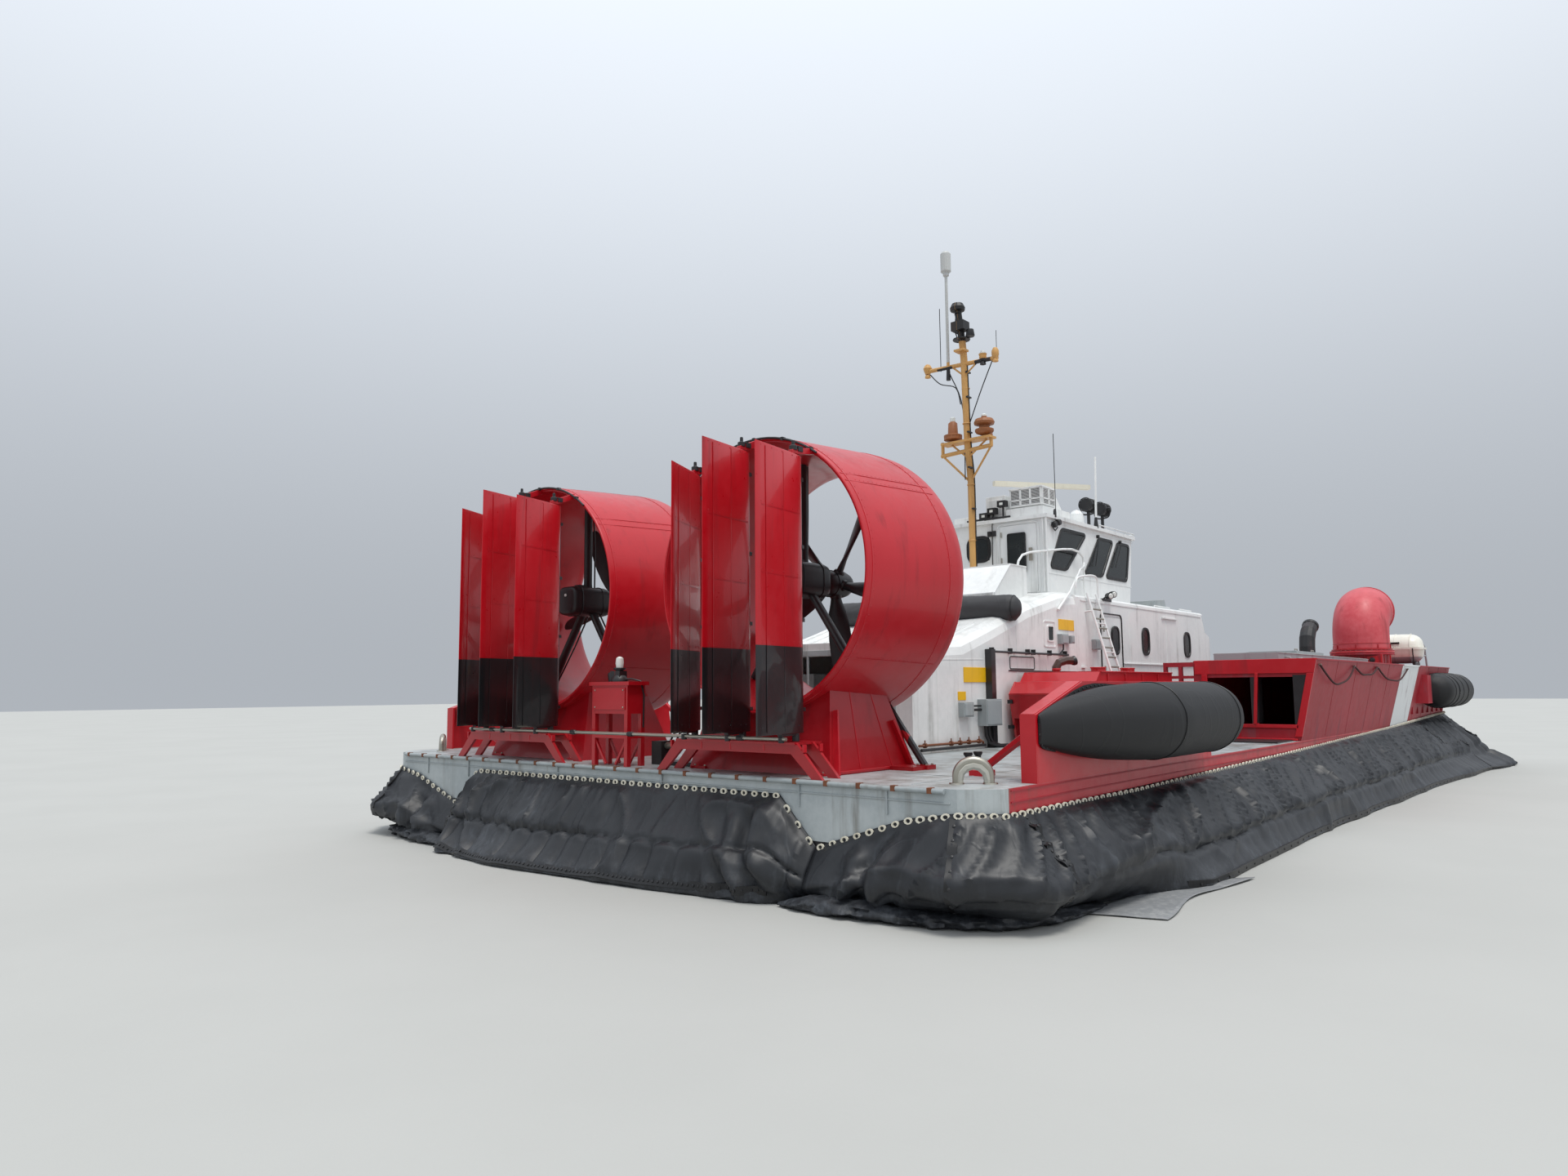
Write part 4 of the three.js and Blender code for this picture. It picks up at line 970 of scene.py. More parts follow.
class Repeats:
    """Copies of one small pattern, set on points by Geometry Nodes."""

    INPUTS = (
        ("Pattern", "NodeSocketObject"),
        ("Size", "NodeSocketFloat"),
        ("Size Spread", "NodeSocketFloat"),
        ("Seed", "NodeSocketInt"),
        ("Finish", "NodeSocketMaterial"),
    )

    def __init__(self, pattern: Form, size: float = 1.0, spread: float = 0.0, seed: int = 1) -> None:
        """Holds the pattern: its Z is turned to where an anchor faces, and its X along the anchor.

        Args:
            pattern: the form that is repeated.
            size: the middle of its sizes.
            spread: how far a size may be from the middle, as a share.
            seed: the draw's seed.
        """
        self.pattern = pattern
        self.size = size
        self.spread = spread
        self.seed = seed

    @classmethod
    @functools.cache
    def tree(cls) -> bpy.types.NodeTree:
        """The node tree that all repeats share.

        Returns:
            The tree.
        """
        made = bpy.data.node_groups.new("set_on_points", "GeometryNodeTree")
        made.interface.new_socket("Points", in_out="INPUT", socket_type="NodeSocketGeometry")
        for name, kind in cls.INPUTS:
            made.interface.new_socket(name, in_out="INPUT", socket_type=kind)
        made.interface.new_socket("Copies", in_out="OUTPUT", socket_type="NodeSocketGeometry")
        tree = Tree(made)
        entry = made.nodes.new("NodeGroupInput")
        given = {name: Value(tree, entry.outputs[name]) for name in ("Points", *(n for n, _ in cls.INPUTS))}

        def stored(name: str) -> Value:
            """A vector kept on the points."""
            return tree.node("GeometryNodeInputNamedAttribute", {"data_type": "FLOAT_VECTOR"}, {"Name": name})

        facing = tree.node("FunctionNodeAlignRotationToVector", {"axis": "Z"}, {"Vector": stored("facing")})
        turned = tree.node(
            "FunctionNodeAlignRotationToVector",
            {"axis": "X", "pivot_axis": "Z"},
            {"Rotation": facing, "Vector": stored("along")},
        )
        pattern = tree.node("GeometryNodeObjectInfo", sockets={"Object": given["Pattern"]}, out="Geometry")
        low = given["Size"] * (1 - given["Size Spread"])
        high = given["Size"] * (1 + given["Size Spread"])
        scale = tree.node(
            "FunctionNodeRandomValue",
            {"data_type": "FLOAT"},
            {"Min": low, "Max": high, "Seed": given["Seed"]},
            out=1,
        )
        copies = tree.node(
            "GeometryNodeInstanceOnPoints",
            sockets={"Points": given["Points"], "Instance": pattern, "Rotation": turned, "Scale": scale},
        )
        solid = tree.node("GeometryNodeRealizeInstances", sockets={"Geometry": copies})
        dressed = tree.node("GeometryNodeSetMaterial", sockets={"Geometry": solid, "Material": given["Finish"]})
        leave = made.nodes.new("NodeGroupOutput")
        made.links.new(dressed.socket, leave.inputs["Copies"])
        return made

    def on(self, side: Side, stem: str, anchors: Sequence[Anchor]) -> bpy.types.Object:
        """Sets the copies at anchors that are drawn to starboard, as the piece of one side."""
        return self.piece(f"{stem}_{side.label}", mirror_anchors(anchors) if side is Side.PORT else anchors)

    def piece(self, name: str, anchors: Sequence[Anchor], body: str = HULL,
              sharp_deg: float = 38.0) -> bpy.types.Object:
        """Sets a copy on each anchor and ends them as one piece of the craft.

        Args:
            name: the piece's name.
            anchors: the places of the copies.
            body: the body it rides on.
            sharp_deg: edges that turn more than this stay crisp.

        Returns:
            The piece.
        """
        finish = self.pattern.finishes[0]
        bmesh.ops.recalc_face_normals(self.pattern.mesh, faces=self.pattern.mesh.faces)
        source_mesh = bpy.data.meshes.new(name + "_pattern")
        self.pattern.mesh.to_mesh(source_mesh)
        source = bpy.data.objects.new(name + "_pattern", source_mesh)
        points = bpy.data.meshes.new(name + "_points")
        shift = Vector((TRANSOM_TO_MIDSHIP, 0, 0))
        points.from_pydata([anchor.spot - shift for anchor in anchors], [], [])
        for kept in ("facing", "along"):
            layer = points.attributes.new(kept, "FLOAT_VECTOR", "POINT")
            layer.data.foreach_set("vector", [c for anchor in anchors for c in getattr(anchor, kept)])
        carrier = bpy.data.objects.new(name + "_points", points)
        for temporary in (source, carrier):
            bpy.context.scene.collection.objects.link(temporary)
        setter = carrier.modifiers.new("copies", "NODES")
        setter.node_group = self.tree()
        values = {
            "Pattern": source,
            "Size": self.size,
            "Size Spread": self.spread,
            "Seed": self.seed,
            "Finish": finish.material,
        }
        for socket in setter.node_group.interface.items_tree:
            if socket.in_out == "INPUT" and socket.name in values:
                setter[socket.identifier] = values[socket.name]
        evaluated = carrier.evaluated_get(bpy.context.evaluated_depsgraph_get())
        data = bpy.data.meshes.new_from_object(evaluated)
        data.name = name
        for kept in ("facing", "along"):
            if kept in data.attributes:
                data.attributes.remove(data.attributes[kept])
        data.set_sharp_from_angle(angle=math.radians(sharp_deg))
        for temporary in (carrier, source):
            bpy.data.objects.remove(temporary)
        made = bpy.data.objects.new(name, data)
        bpy.context.scene.collection.objects.link(made)
        return place(made, finish, body)


def bolt(radius: float, height: float, finish: Finish = Finish.STEEL) -> Form:
    """A six-sided bolt head, standing on Z."""
    return Form(finish).turned([(radius, 0), (radius, height * 0.8), (radius * 0.8, height)], (0, 0, 0), segments=6)


def anchors_round(
    centre: Point, axis: Axis, radius: float, count: int, facing: Optional[Point] = None
) -> list[Anchor]:
    """Anchors on a circle. They face outwards from it, or all the same way.

    Args:
        centre: the circle's centre.
        axis: the line it is drawn about.
        radius: its radius.
        count: how many anchors it has.
        facing: the way that they all face, if not outwards.

    Returns:
        The anchors.
    """
    found = []
    for c, s in circle(count):
        out = axis.point(0, c, s)
        found.append(Anchor(Vector(centre) + out * radius, Vector(facing) if facing else out, axis.direction))
    return found


def level_anchor(spot: Vector) -> Anchor:
    """An anchor that faces up, turned along the craft."""
    return Anchor(spot, Vector(UP), Vector(FORWARD))


def mirror_anchors(anchors: Sequence[Anchor]) -> list[Anchor]:
    """The same places on the other side of the craft."""
    flip = Matrix.Diagonal((1, -1, 1))
    return [Anchor(flip @ a.spot, flip @ a.facing, flip @ a.along) for a in anchors]


# Skirts


@dataclass(frozen=True)
class BagRow:
    """One station of a bag: the raft's edge, the way out in degrees from straight aft, and its reach."""

    along: float
    across: float
    out_deg: float
    top: float
    bulge: float
    hem: float


def bag_rows(*rows: Sequence[float]) -> tuple[BagRow, ...]:
    """Bag stations from a table."""
    return tuple(BagRow(*row) for row in rows)


SIDE_BAG = bag_rows(
    (0, -3.3204, 0, 0.56, 0.22, -0.06), (0, -4.42, 5, 0.92, 0.33, -0.2), (0, -4.97, 25, 1.01, 0.38, -0.4),
    (0.28, -5.3, 70, 1.0, 0.45, -0.15), (2.2, -5.3, 90, 1.0, 0.56, 0.29), (3.3, -5.3, 90, 1.0, 0.57, 0.79),
    (9.2, -5.3, 90, 1.085, 0.6, 0.69), (17.5, -5.3, 90, 1.23, 0.64, 0.88), (22.7, -5.3, 92, 1.37, 0.74, 1.18),
    (24.6, -5.3, 123.5, 1.41, 0.9, 1.81),
)
STERN_BAG = bag_rows(
    (0, -3.32, 0, 0.56, 0.2, -0.06), (0, -2.83, 0, 1.06, 0.42, 0.4), (0, -1.3, 0, 1.06, 0.48, 0.62),
    (0, 0, 0, 1.06, 0.5, 0.72), (0, 1.3, 0, 1.06, 0.5, 0.82), (0, 2.83, 0, 1.06, 0.45, 0.66),
    (0, 3.32, 0, 0.56, 0.2, -0.06),
)
BOW_BAG = bag_rows(
    (24.602, -5.298, 123.5, 1.41, 0.9, 1.8), (25.3, -4.9, 150, 1.35, 0.95, 1.9), (25.7, -3.9, 172, 1.25, 0.95, 1.96),
    (25.7, -1.9, 180, 1.2, 0.95, 1.98), (25.7, 1.9, 180, 1.2, 0.95, 1.98), (25.7, 3.9, 188, 1.25, 0.95, 1.96),
    (25.3, 4.9, 210, 1.35, 0.95, 1.9), (24.602, 5.298, 236.5, 1.41, 0.9, 1.8),
)

# Each seam of a side's bag, as stations and shares of the girth
SIDE_SEAMS = (
    ((0.5, 0.03), (0.75, 0.45), (0.8, 0.78)),
    ((20.2, 0.02), (20.5, 0.25), (20.9, 0.38), (21.8, 0.42), (22.6, 0.4), (22.8, 0.5), (22.95, 0.8)),
    ((23.7, 0.02), (24.1, 0.22), (24.35, 0.45), (24.5, 0.8)),
    tuple((station, 0.8) for station in (3.0, 6.0, 9.0, 12.0, 15.0, 18.0, 21.0, 24.0)),
)


def smooth_line(points: Sequence[Sequence[float]], steps: int) -> list[Vector]:
    """A Catmull-Rom curve through points, with the given steps in each span.

    Args:
        points: the points that it passes through.
        steps: the steps in a span.

    Returns:
        The curve's points.
    """
    spots = [Vector(point) for point in points]
    found = []
    for i in range(len(spots) - 1):
        before, a, b, after = spots[max(i - 1, 0)], spots[i], spots[i + 1], spots[min(i + 2, len(spots) - 1)]
        for step in range(steps):
            t = step / steps
            found.append(0.5 * (
                2 * a + (b - before) * t + (2 * before - 5 * a + 4 * b - after) * t ** 2
                + (3 * a - before - 3 * b + after) * t ** 3))
    return found + [spots[-1]]


def even_steps(line: Sequence[Vector], count: int) -> list[Vector]:
    """Points at even distances along a line.

    Args:
        line: the line's points.
        count: how many points are wanted.

    Returns:
        The points.
    """
    lengths = [0.0]
    for a, b in zip(line, line[1:]):
        lengths.append(lengths[-1] + (b - a).length)
    found, span = [], 0
    for i in range(count + 1):
        wanted = lengths[-1] * i / count
        while span < len(line) - 2 and lengths[span + 1] < wanted:
            span += 1
        share = (wanted - lengths[span]) / max(lengths[span + 1] - lengths[span], 1e-9)
        found.append(line[span].lerp(line[span + 1], share))
    return found


def window(value: float, low: float, high: float, soft: float) -> float:
    """1 between low and high, falling smoothly to 0 within soft outside them."""
    share = min(1.0, max(0.0, 1 - max(low - value, value - high) / soft))
    return share * share * (3 - 2 * share)


@dataclass
class Bag:
    """One bag of the skirt: a sheet of coated cloth that hangs slack from the raft's edge to the ground.

    It is sampled by stride, the share of its length from the first row, and drop, the share
    of its girth from the skirt line (0) to the tucked hem (1).
    """

    place: str
    rows: Sequence[BagRow]
    flat: tuple[float, float]
    pleat: float
    lean: float
    puffs: float
    crease: float = 0.56
    crease_depth: float = 0.05
    crease_half: float = 0.022
    puff_length: float = 0.37
    lump: float = 0.07
    ruffle: float = 0.085
    seed: float = 0.0
    grain: float = 0.048
    girth_steps: int = 44
    thickness: float = 0.006
    clip_spacing: float = 0.155
    # Shares of the bulge, of the hem's reach and of the skirt line's height
    section: Sequence[Sequence[float]] = (
        (0, 0, 1.0), (0.16, 0, 0.9), (0.4, 0, 0.76), (0.68, 0, 0.6), (0.9, 0, 0.45), (0.98, 0, 0.34),
        (0.66, 0.34, 0.2), (0.06, 0.94, 0.055), (0, 1.0, 0.024), (0, 0.93, 0.0), (-0.1, 0.7, 0.0),
    )
    # Columns of a seam's line: stride and drop
    seams: Sequence[Sequence[Sequence[float]]] = ()

    def __post_init__(self) -> None:
        """Measures the bag's length along its rows."""
        self.lengths = [0.0]
        for a, b in zip(self.rows, self.rows[1:]):
            near = [Vector((r.along, r.across, 0)) + self.out(r) * max(r.hem, r.bulge) * 0.7 for r in (a, b)]
            self.lengths.append(self.lengths[-1] + (near[1] - near[0]).length)
        self.length = self.lengths[-1]

    @staticmethod
    def out(row: BagRow) -> Vector:
        """The level direction outboard at a row."""
        turn = math.radians(row.out_deg)
        return Vector((-math.cos(turn), -math.sin(turn), 0))

    def row_at(self, stride: float) -> BagRow:
        """The row at a share of the length.

        Args:
            stride: the share of the length.

        Returns:
            The row.
        """
        wanted = min(max(stride, 0.0), 1.0) * self.length
        span = max(i for i in range(len(self.rows) - 1) if self.lengths[i] <= wanted + 1e-9)
        share = (wanted - self.lengths[span]) / (self.lengths[span + 1] - self.lengths[span])
        a, b = self.rows[span], self.rows[span + 1]
        mixed = (getattr(a, f) + (getattr(b, f) - getattr(a, f)) * share
                 for f in ("along", "across", "out_deg", "top", "bulge", "hem"))
        return BagRow(*mixed)

    def stride_at(self, station: float) -> float:
        """The share of the length where the raft's edge is at a station, for a side's bag."""
        return min((i / 400 for i in range(401)), key=lambda s: abs(self.row_at(s).along - station) + (s < 0.1))

    def sew(self, seams: Sequence[Sequence[Sequence[float]]]) -> None:
        """Sets a side bag's seams, one of them round the stern's corner, from their stations and drops.

        Args:
            seams: the seams' points.
        """
        corner = self.lengths[2] / self.length
        self.seams = (((corner - 0.001, 0.03), (corner - 0.002, 0.8)),
                      *(tuple((self.stride_at(station), drop) for station, drop in seam) for seam in seams))

    def profile(self, row: BagRow) -> list[Vector]:
        """The section as (distance out, 0, height), at even steps of the girth."""
        corners = [(row.bulge * b + row.hem * h, 0, row.top * z) for b, h, z in self.section]
        return even_steps(smooth_line(corners, 6), self.girth_steps)

    def folds(self, stride: float, drop: float) -> float:
        """How far the cloth stands out at a place: pleats, a crease, puffs below it, and lumps.

        Args:
            stride: the share of the length.
            drop: the share of the girth.

        Returns:
            The distance in metres.
        """
        run = stride * self.length
        slid = run + self.lean * drop * (1 + 0.6 * self.swell(run * 0.35, 0, 0))
        warp = self.swell(run * 0.8, drop * 2.5, 5) * 0.25
        broad = self.swell((slid + warp) * 1.5, drop * 0.9, 0)
        thin = self.ridge((slid + warp) * 2.6, drop * 0.8, 11)
        fine = self.ridge((slid + warp * 0.5) * 5.2, drop * 0.9, 17)
        upper = window(drop, 0.12, self.crease - 0.06, 0.1)
        calm = 0.35 + 0.65 * window(self.swell(run * 0.25, 0, 31), -0.05, 1, 0.25)
        stand = self.pleat * upper * (broad + (thin + fine * 0.5) * calm)
        wave = abs(math.cos(math.pi * (run + 0.07 * self.swell(run * 1.1, 0, 3)) / self.puff_length))
        line = self.crease + 0.03 * self.swell(run * 0.9, 0, 7) - 0.03 * self.puffs * wave
        stand -= self.crease_depth * math.exp(-(((drop - line) / self.crease_half) ** 2)) * (0.4 + 0.6 * calm)
        stand += self.lump * self.puffs * (wave ** 0.45 - 0.6) * window(drop, line + 0.04, 0.76, 0.05)
        lump = self.swell(run * 0.55, drop * 1.8, 23)
        drape = self.ridge(run * 0.5 + drop * 0.9, drop * 0.7 - run * 0.2, 41)
        stand += (self.lump * lump + self.lump * drape) * window(drop, 0.15, 0.74, 0.14)
        stand += 0.014 * self.swell(run * 2.2, drop * 6, 29) * window(drop, 0.08, 0.8, 0.06)
        near_end = min(stride, 1 - stride) * self.length
        ruffle = self.ruffle * math.exp(-((near_end - 0.75) / 0.35) ** 2)
        swing = math.sin(run * 13 + drop * 5 + noise.noise(Vector((run, drop * 3, 7))) * 3)
        stand += ruffle * swing * window(drop, 0.3, 0.75, 0.2)
        return stand * window(stride, 0.02, 0.98, 0.02) + 0.012

    def swell(self, along: float, down: float, layer: int) -> float:
        """One layer of the bag's own smooth noise, from -1 to 1."""
        return noise.noise(Vector((along, down, self.seed + layer)))

    def ridge(self, along: float, down: float, layer: int) -> float:
        """Narrow ridges, 1 where a layer of noise crosses zero."""
        return max(1 - abs(self.swell(along, down, layer)) * 2, 0) ** 5

    def at(self, stride: float, drop: float, lift: float = 0.0) -> tuple[Vector, Vector]:
        """A point of the cloth, lifted off it, and the way that the cloth faces there.

        Args:
            stride: the share of the length.
            drop: the share of the girth.
            lift: the distance off the cloth.

        Returns:
            The point and the way.
        """
        row = self.row_at(stride)
        line = self.profile(row)
        return self._set(row, line, stride, min(max(drop, 0.0), 1.0), lift)

    def _set(self, row: BagRow, line: list[Vector], stride: float, drop: float, lift: float) -> tuple[Vector, Vector]:
        """The point at a drop along a section's line.

        Args:
            row: the row.
            line: the section's points.
            stride: the share of the length.
            drop: the share of the girth.
            lift: the distance off the cloth.

        Returns:
            The point and the way out of the cloth.
        """
        place = drop * self.girth_steps
        index = min(int(place), self.girth_steps - 1)
        spot = line[index].lerp(line[index + 1], place - index)
        way = (line[min(index + 2, self.girth_steps)] - line[max(index - 1, 0)]).normalized()
        normal = Vector((-way.z, 0, way.x))
        spot = spot + normal * (self.folds(stride, drop) + lift)
        clear = 0.012 + max(0.0, (spot.z - 1.2) * 0.23) if drop < 0.5 else -9
        out = self.out(row)
        edge = Vector((row.along, row.across, 0))
        point = edge + out * max(spot.x, clear) + Vector((0, 0, max(spot.z, 0.008 + lift)))
        return point, (out * normal.x + Vector((0, 0, normal.z))).normalized()

    def cloth(self, mirrored: bool = False) -> Form:
        """The sheet as faces.

        Args:
            mirrored: whether it is for the port side.

        Returns:
            The form.
        """
        steps = round(self.length / self.grain)
        points: list[Vector] = []
        for i in range(steps + 1):
            row = self.row_at(i / steps)
            line = self.profile(row)
            points += [
                self._set(row, line, i / steps, d / self.girth_steps, 0.0)[0] for d in range(self.girth_steps + 1)]
        count = self.girth_steps + 1
        loops = [
            (i * count + d, i * count + d + 1, (i + 1) * count + d + 1, (i + 1) * count + d)
            for i in range(steps) for d in range(count - 1)
        ]
        form = Form(Finish.CLOTH).faces(points, loops)
        return form.mirrored() if mirrored else form

    def build(self, side: Optional[Side] = None) -> None:
        """Builds the cloth, its seams and its clips, on one side or in the middle of the craft.

        Args:
            side: the side of the craft, or None for the middle.
        """
        ending = f"_{side.label}" if side else ""
        port = side is Side.PORT
        cloth = self.cloth(port).piece(
            f"bag_cloth_{self.place}{ending}", sharp_deg=60, outward=False, replaces=[f"skirt_{self.place}{ending}"])
        wall = cloth.modifiers.new("cloth_thickness", "SOLIDIFY")
        wall.thickness = self.thickness
        wall.offset = 1.0
        self.clips(port).piece_from(f"skirt_{self.place}_clips{ending}")
        self.sewn(port, ending)

    def sewn(self, port: bool, ending: str) -> None:
        """The doubled strips over the seams, and their bolts.

        Args:
            port: whether it is for the port side.
            ending: the end of the pieces' names.
        """
        strips, bolts = Form(Finish.SEAL), []
        for seam in self.seams:
            line = even_steps([Vector((*spot, 0)) for spot in seam], max(8, round(18 * (len(seam) - 1))))
            placed = [self.at(spot.x, spot.y, 0.002) for spot in line]
            rings = []
            for i, (spot, out) in enumerate(placed):
                way = (placed[min(i + 1, len(placed) - 1)][0] - placed[max(i - 1, 0)][0]).normalized()
                across = way.cross(out).normalized() * 0.045
                ring = [spot - across - out * 0.012, spot + across - out * 0.012, spot + across + out * 0.006,
                        spot - across + out * 0.006]
                rise = Vector((0, 0, max(0.0, 0.004 - min(corner.z for corner in ring))))
                rings.append([corner + rise for corner in ring])
                if i % 2 and i < len(placed) - 1:
                    bolts.append(Anchor(spot + rise + out * 0.006, out, (placed[i + 1][0] - spot).normalized()))
            strips.loft(rings)
        if self.seams:
            (strips.mirrored() if port else strips).piece(f"seam_strips_{self.place}{ending}", sharp_deg=60)
            Repeats(bolt(0.016, 0.008, Finish.BLACK), seed=6).piece(
                f"seam_bolts_{self.place}{ending}", mirror_anchors(bolts) if port else bolts)

    def clips(self, port: bool) -> "ClipLine":
        """The line of clips along the top.

        Args:
            port: whether it is for the port side.

        Returns:
            The line.
        """
        anchors = []
        count = round(self.length / self.clip_spacing)
        for i in range(count):
            stride = (i + 0.5) / count
            row, ahead = self.row_at(stride), self.row_at(min(1.0, stride + 0.5 / count))
            out = self.out(row)
            spot = Vector((row.along, row.across, row.top - 0.012)) + out * (0.03 + max(0.0, (row.top - 1.2) * 0.23))
            way = Vector((ahead.along - row.along, ahead.across - row.across, ahead.top - row.top))
            if way.length < 1e-6:
                way = Vector(TO_PORT)
            anchors.append(Anchor(spot, out, way.normalized()))
        return ClipLine(mirror_anchors(anchors) if port else anchors)


@dataclass
class ClipLine:
    """Cast clips, flat rings that hold the cloth to the raft's edge."""

    anchors: Sequence[Anchor]
    half_length: float = 0.047
    half_height: float = 0.034
    bar: float = 0.015

    def piece_from(self, name: str) -> None:
        """Builds the line as one piece.

        Args:
            name: the piece's name.
        """
        ring = Form(Finish.CREAM)
        sections = []
        for i in range(10):
            turn = math.tau * i / 10
            outer = Vector((math.cos(turn) * self.half_length, math.sin(turn) * self.half_height, 0))
            inner = Vector((math.cos(turn) * (self.half_length - self.bar * 1.6),
                            math.sin(turn) * (self.half_height - self.bar), 0))
            rise = Vector((0, 0, self.bar))
            sections.append([outer, outer * 0.96 + rise, inner * 1.05 + rise, inner])
        ring.loft(sections, around=True)
        Repeats(ring, spread=0.08, seed=4).piece(name, self.anchors, sharp_deg=50)


@dataclass
class Tuck:
    """The slack cloth that lies crumpled on the ground under the corner of the skirt, with its bolted edge."""

    # Columns: along, across, reach, height
    rows: Sequence[Sequence[float]] = (
        (-0.24, -3.1, 0.1, 0.05), (-0.26, -3.5, 0.16, 0.14), (-0.2, -4.0, 0.18, 0.17), (-0.1, -4.5, 0.18, 0.14),
        (0.02, -4.9, 0.18, 0.13), (0.22, -5.2, 0.18, 0.13), (0.6, -5.42, 0.17, 0.12), (1.2, -5.5, 0.14, 0.08),
        (1.7, -5.5, 0.1, 0.04),
    )

    def build(self, side: Side) -> None:
        """Builds one corner.

        Args:
            side: the side of the craft.
        """
        line = smooth_line([Vector((a, b, 0)) for a, b, _, _ in self.rows], 14)
        sizes = smooth_line([Vector((0, c, d)) for _, _, c, d in self.rows], 14)
        rings, bolts = [], []
        for i, (spot, size) in enumerate(zip(line, sizes)):
            way = (line[min(i + 1, len(line) - 1)] - line[max(i - 1, 0)]).normalized()
            out = way.cross(Vector(UP)) * -1
            ring = []
            for k in range(28):
                turn = math.tau * k / 28
                rough = 1 + 0.3 * noise.noise(Vector((i * 0.21, math.cos(turn) * 1.6, math.sin(turn) * 2.2 + 5)))
                rough += 0.2 * (1 - 2 * abs(noise.noise(Vector((i * 0.33 + turn, turn, 3)))))
                height = max(0.006, size.z * (0.5 + 0.5 * math.sin(turn) * rough))
                ring.append(spot + out * math.cos(turn) * size.y * rough + Vector((0, 0, height)))
            rings.append(ring)
            if i % 2 == 0 and 6 < i < len(line) - 8:
                bolts.append(Anchor(ring[2] + out * 0.004, (out + Vector((0, 0, 0.7))).normalized(), way))
        form = Form(Finish.CLOTH).loft(rings)
        crumpled = form.on(side, "crumpled_cloth", sharp_deg=60)
        Repeats(bolt(0.018, 0.01, Finish.STEEL), seed=8).on(side, "crumpled_bolts", bolts)


# Fenders


@dataclass
class Fender:
    """The aft fender: an air-filled black cylinder whose tapered end spreads flat onto its frame."""

    stem: str = "fender"
    back: float = -5.306
    # Columns: station, centre across, half width, half height, centre height
    stations: Sequence[Sequence[float]] = (
        (0.972, -5.31, 0.03, 0.14, 1.745), (1.1, -5.32, 0.08, 0.18, 1.752), (1.5, -5.36, 0.2, 0.28, 1.765),
        (2.1, -5.43, 0.315, 0.37, 1.775), (2.7, -5.51, 0.39, 0.412, 1.775), (3.1, -5.56, 0.423, 0.425, 1.775),
        (3.6, -5.56, 0.428, 0.43, 1.775), (4.3, -5.56, 0.428, 0.43, 1.775), (4.85, -5.56, 0.428, 0.43, 1.775),
        (5.05, -5.56, 0.418, 0.42, 1.775), (5.2, -5.56, 0.385, 0.387, 1.775), (5.32, -5.56, 0.325, 0.327, 1.775),
        (5.4, -5.56, 0.24, 0.242, 1.775), (5.44, -5.56, 0.14, 0.142, 1.775), (5.45, -5.56, 0.03, 0.03, 1.775),
    )
    seams: Sequence[float] = (3.1, 4.9)
    around: int = 72

    def limit(self, height: float) -> float:
        """How far inboard the fender reaches at a height: the panel behind it."""
        return self.back

    def ring(self, station: float, centre: float, wide: float, tall: float, level: float) -> list[Vector]:
        """One section, with wrinkles that run along the tapered end.

        Args:
            station: its station.
            centre: its middle, to port.
            wide: its size across.
            tall: its height.
            level: the height of its middle.

        Returns:
            The section's points.
        """
        found = []
        for i in range(self.around):
            turn = math.tau * i / self.around
            fold = noise.noise(Vector((station * 0.8, math.cos(turn) * 3.4, math.sin(turn) * 3.4)))
            ripple = 1 + 0.012 * fold + 0.004 * noise.noise(Vector((station * 5, turn * 2, 3)))
            height = level + tall * ripple * math.sin(turn)
            found.append(Vector((station, min(centre - wide * ripple * math.cos(turn), self.limit(height)), height)))
        return found

    def build(self, side: Side) -> None:
        """Builds the fender, its seams and its bolted flange.

        Args:
            side: the side of the craft.
        """
        curve = smooth_line([Vector(row[:3]) for row in self.stations], 5)
        sizes = smooth_line([Vector(row[2:]) for row in self.stations], 5)
        rings = [self.ring(a.x, a.y, b.x, b.y, b.z) for a, b in zip(curve, sizes)]
        body = Form(Finish.FENDER).loft(rings)
        tube = body.on(side, self.stem + "_tube", replaces=[f"{self.stem}_{side.label}"], sharp_deg=50)
        trim = Form(Finish.SEAL)
        for station in self.seams:
            index = min(range(len(curve)), key=lambda i: abs(curve[i].x - station))
            a, b = curve[index], sizes[index]
            trim.tube(self.ring(a.x, a.y, b.x + 0.004, b.y + 0.004, b.z), 0.006, 5, around=True)
        trim.on(side, self.stem + "_seams", sharp_deg=60)
        self.flange(side)

    def edge(self) -> list[Vector]:
        """The flange's line on the frame, from its foot round the panel's aft edge and along its top.

        Returns:
            The line's points.
        """
        return [Vector(p) for p in (
            (1.3, self.back, 1.56), (1.06, self.back, 1.6), (0.985, self.back, 1.66),
            (0.985, self.back, 1.84), (1.06, self.back, 1.885), (2.03, self.back, 2.172), (3.1, self.back, 2.172),
            (4.9, self.back, 2.172))]

    def flange(self, side: Side) -> None:
        """The band of cloth that is bolted to the frame.

        Args:
            side: the side of the craft.
        """
        line = even_steps(smooth_line(self.edge(), 4), 90)
        band = Form(Finish.FENDER)
        sections = []
        across_and_down = ((0.001, 0), (-0.012, 0), (-0.014, -0.045), (0.001, -0.045))
        for spot in line:
            sections.append([spot + Vector((0, across, down)) for across, down in across_and_down])
        band.loft(sections)
        band.on(side, self.stem + "_flange", sharp_deg=50)
        anchors = [
            Anchor(spot + Vector((0, -0.012, -0.022)), Vector(OUTBOARD), Vector(FORWARD)) for spot in line[::2]]
        Repeats(bolt(0.012, 0.01, Finish.BLACK)).on(side, self.stem + "_bolts", anchors)


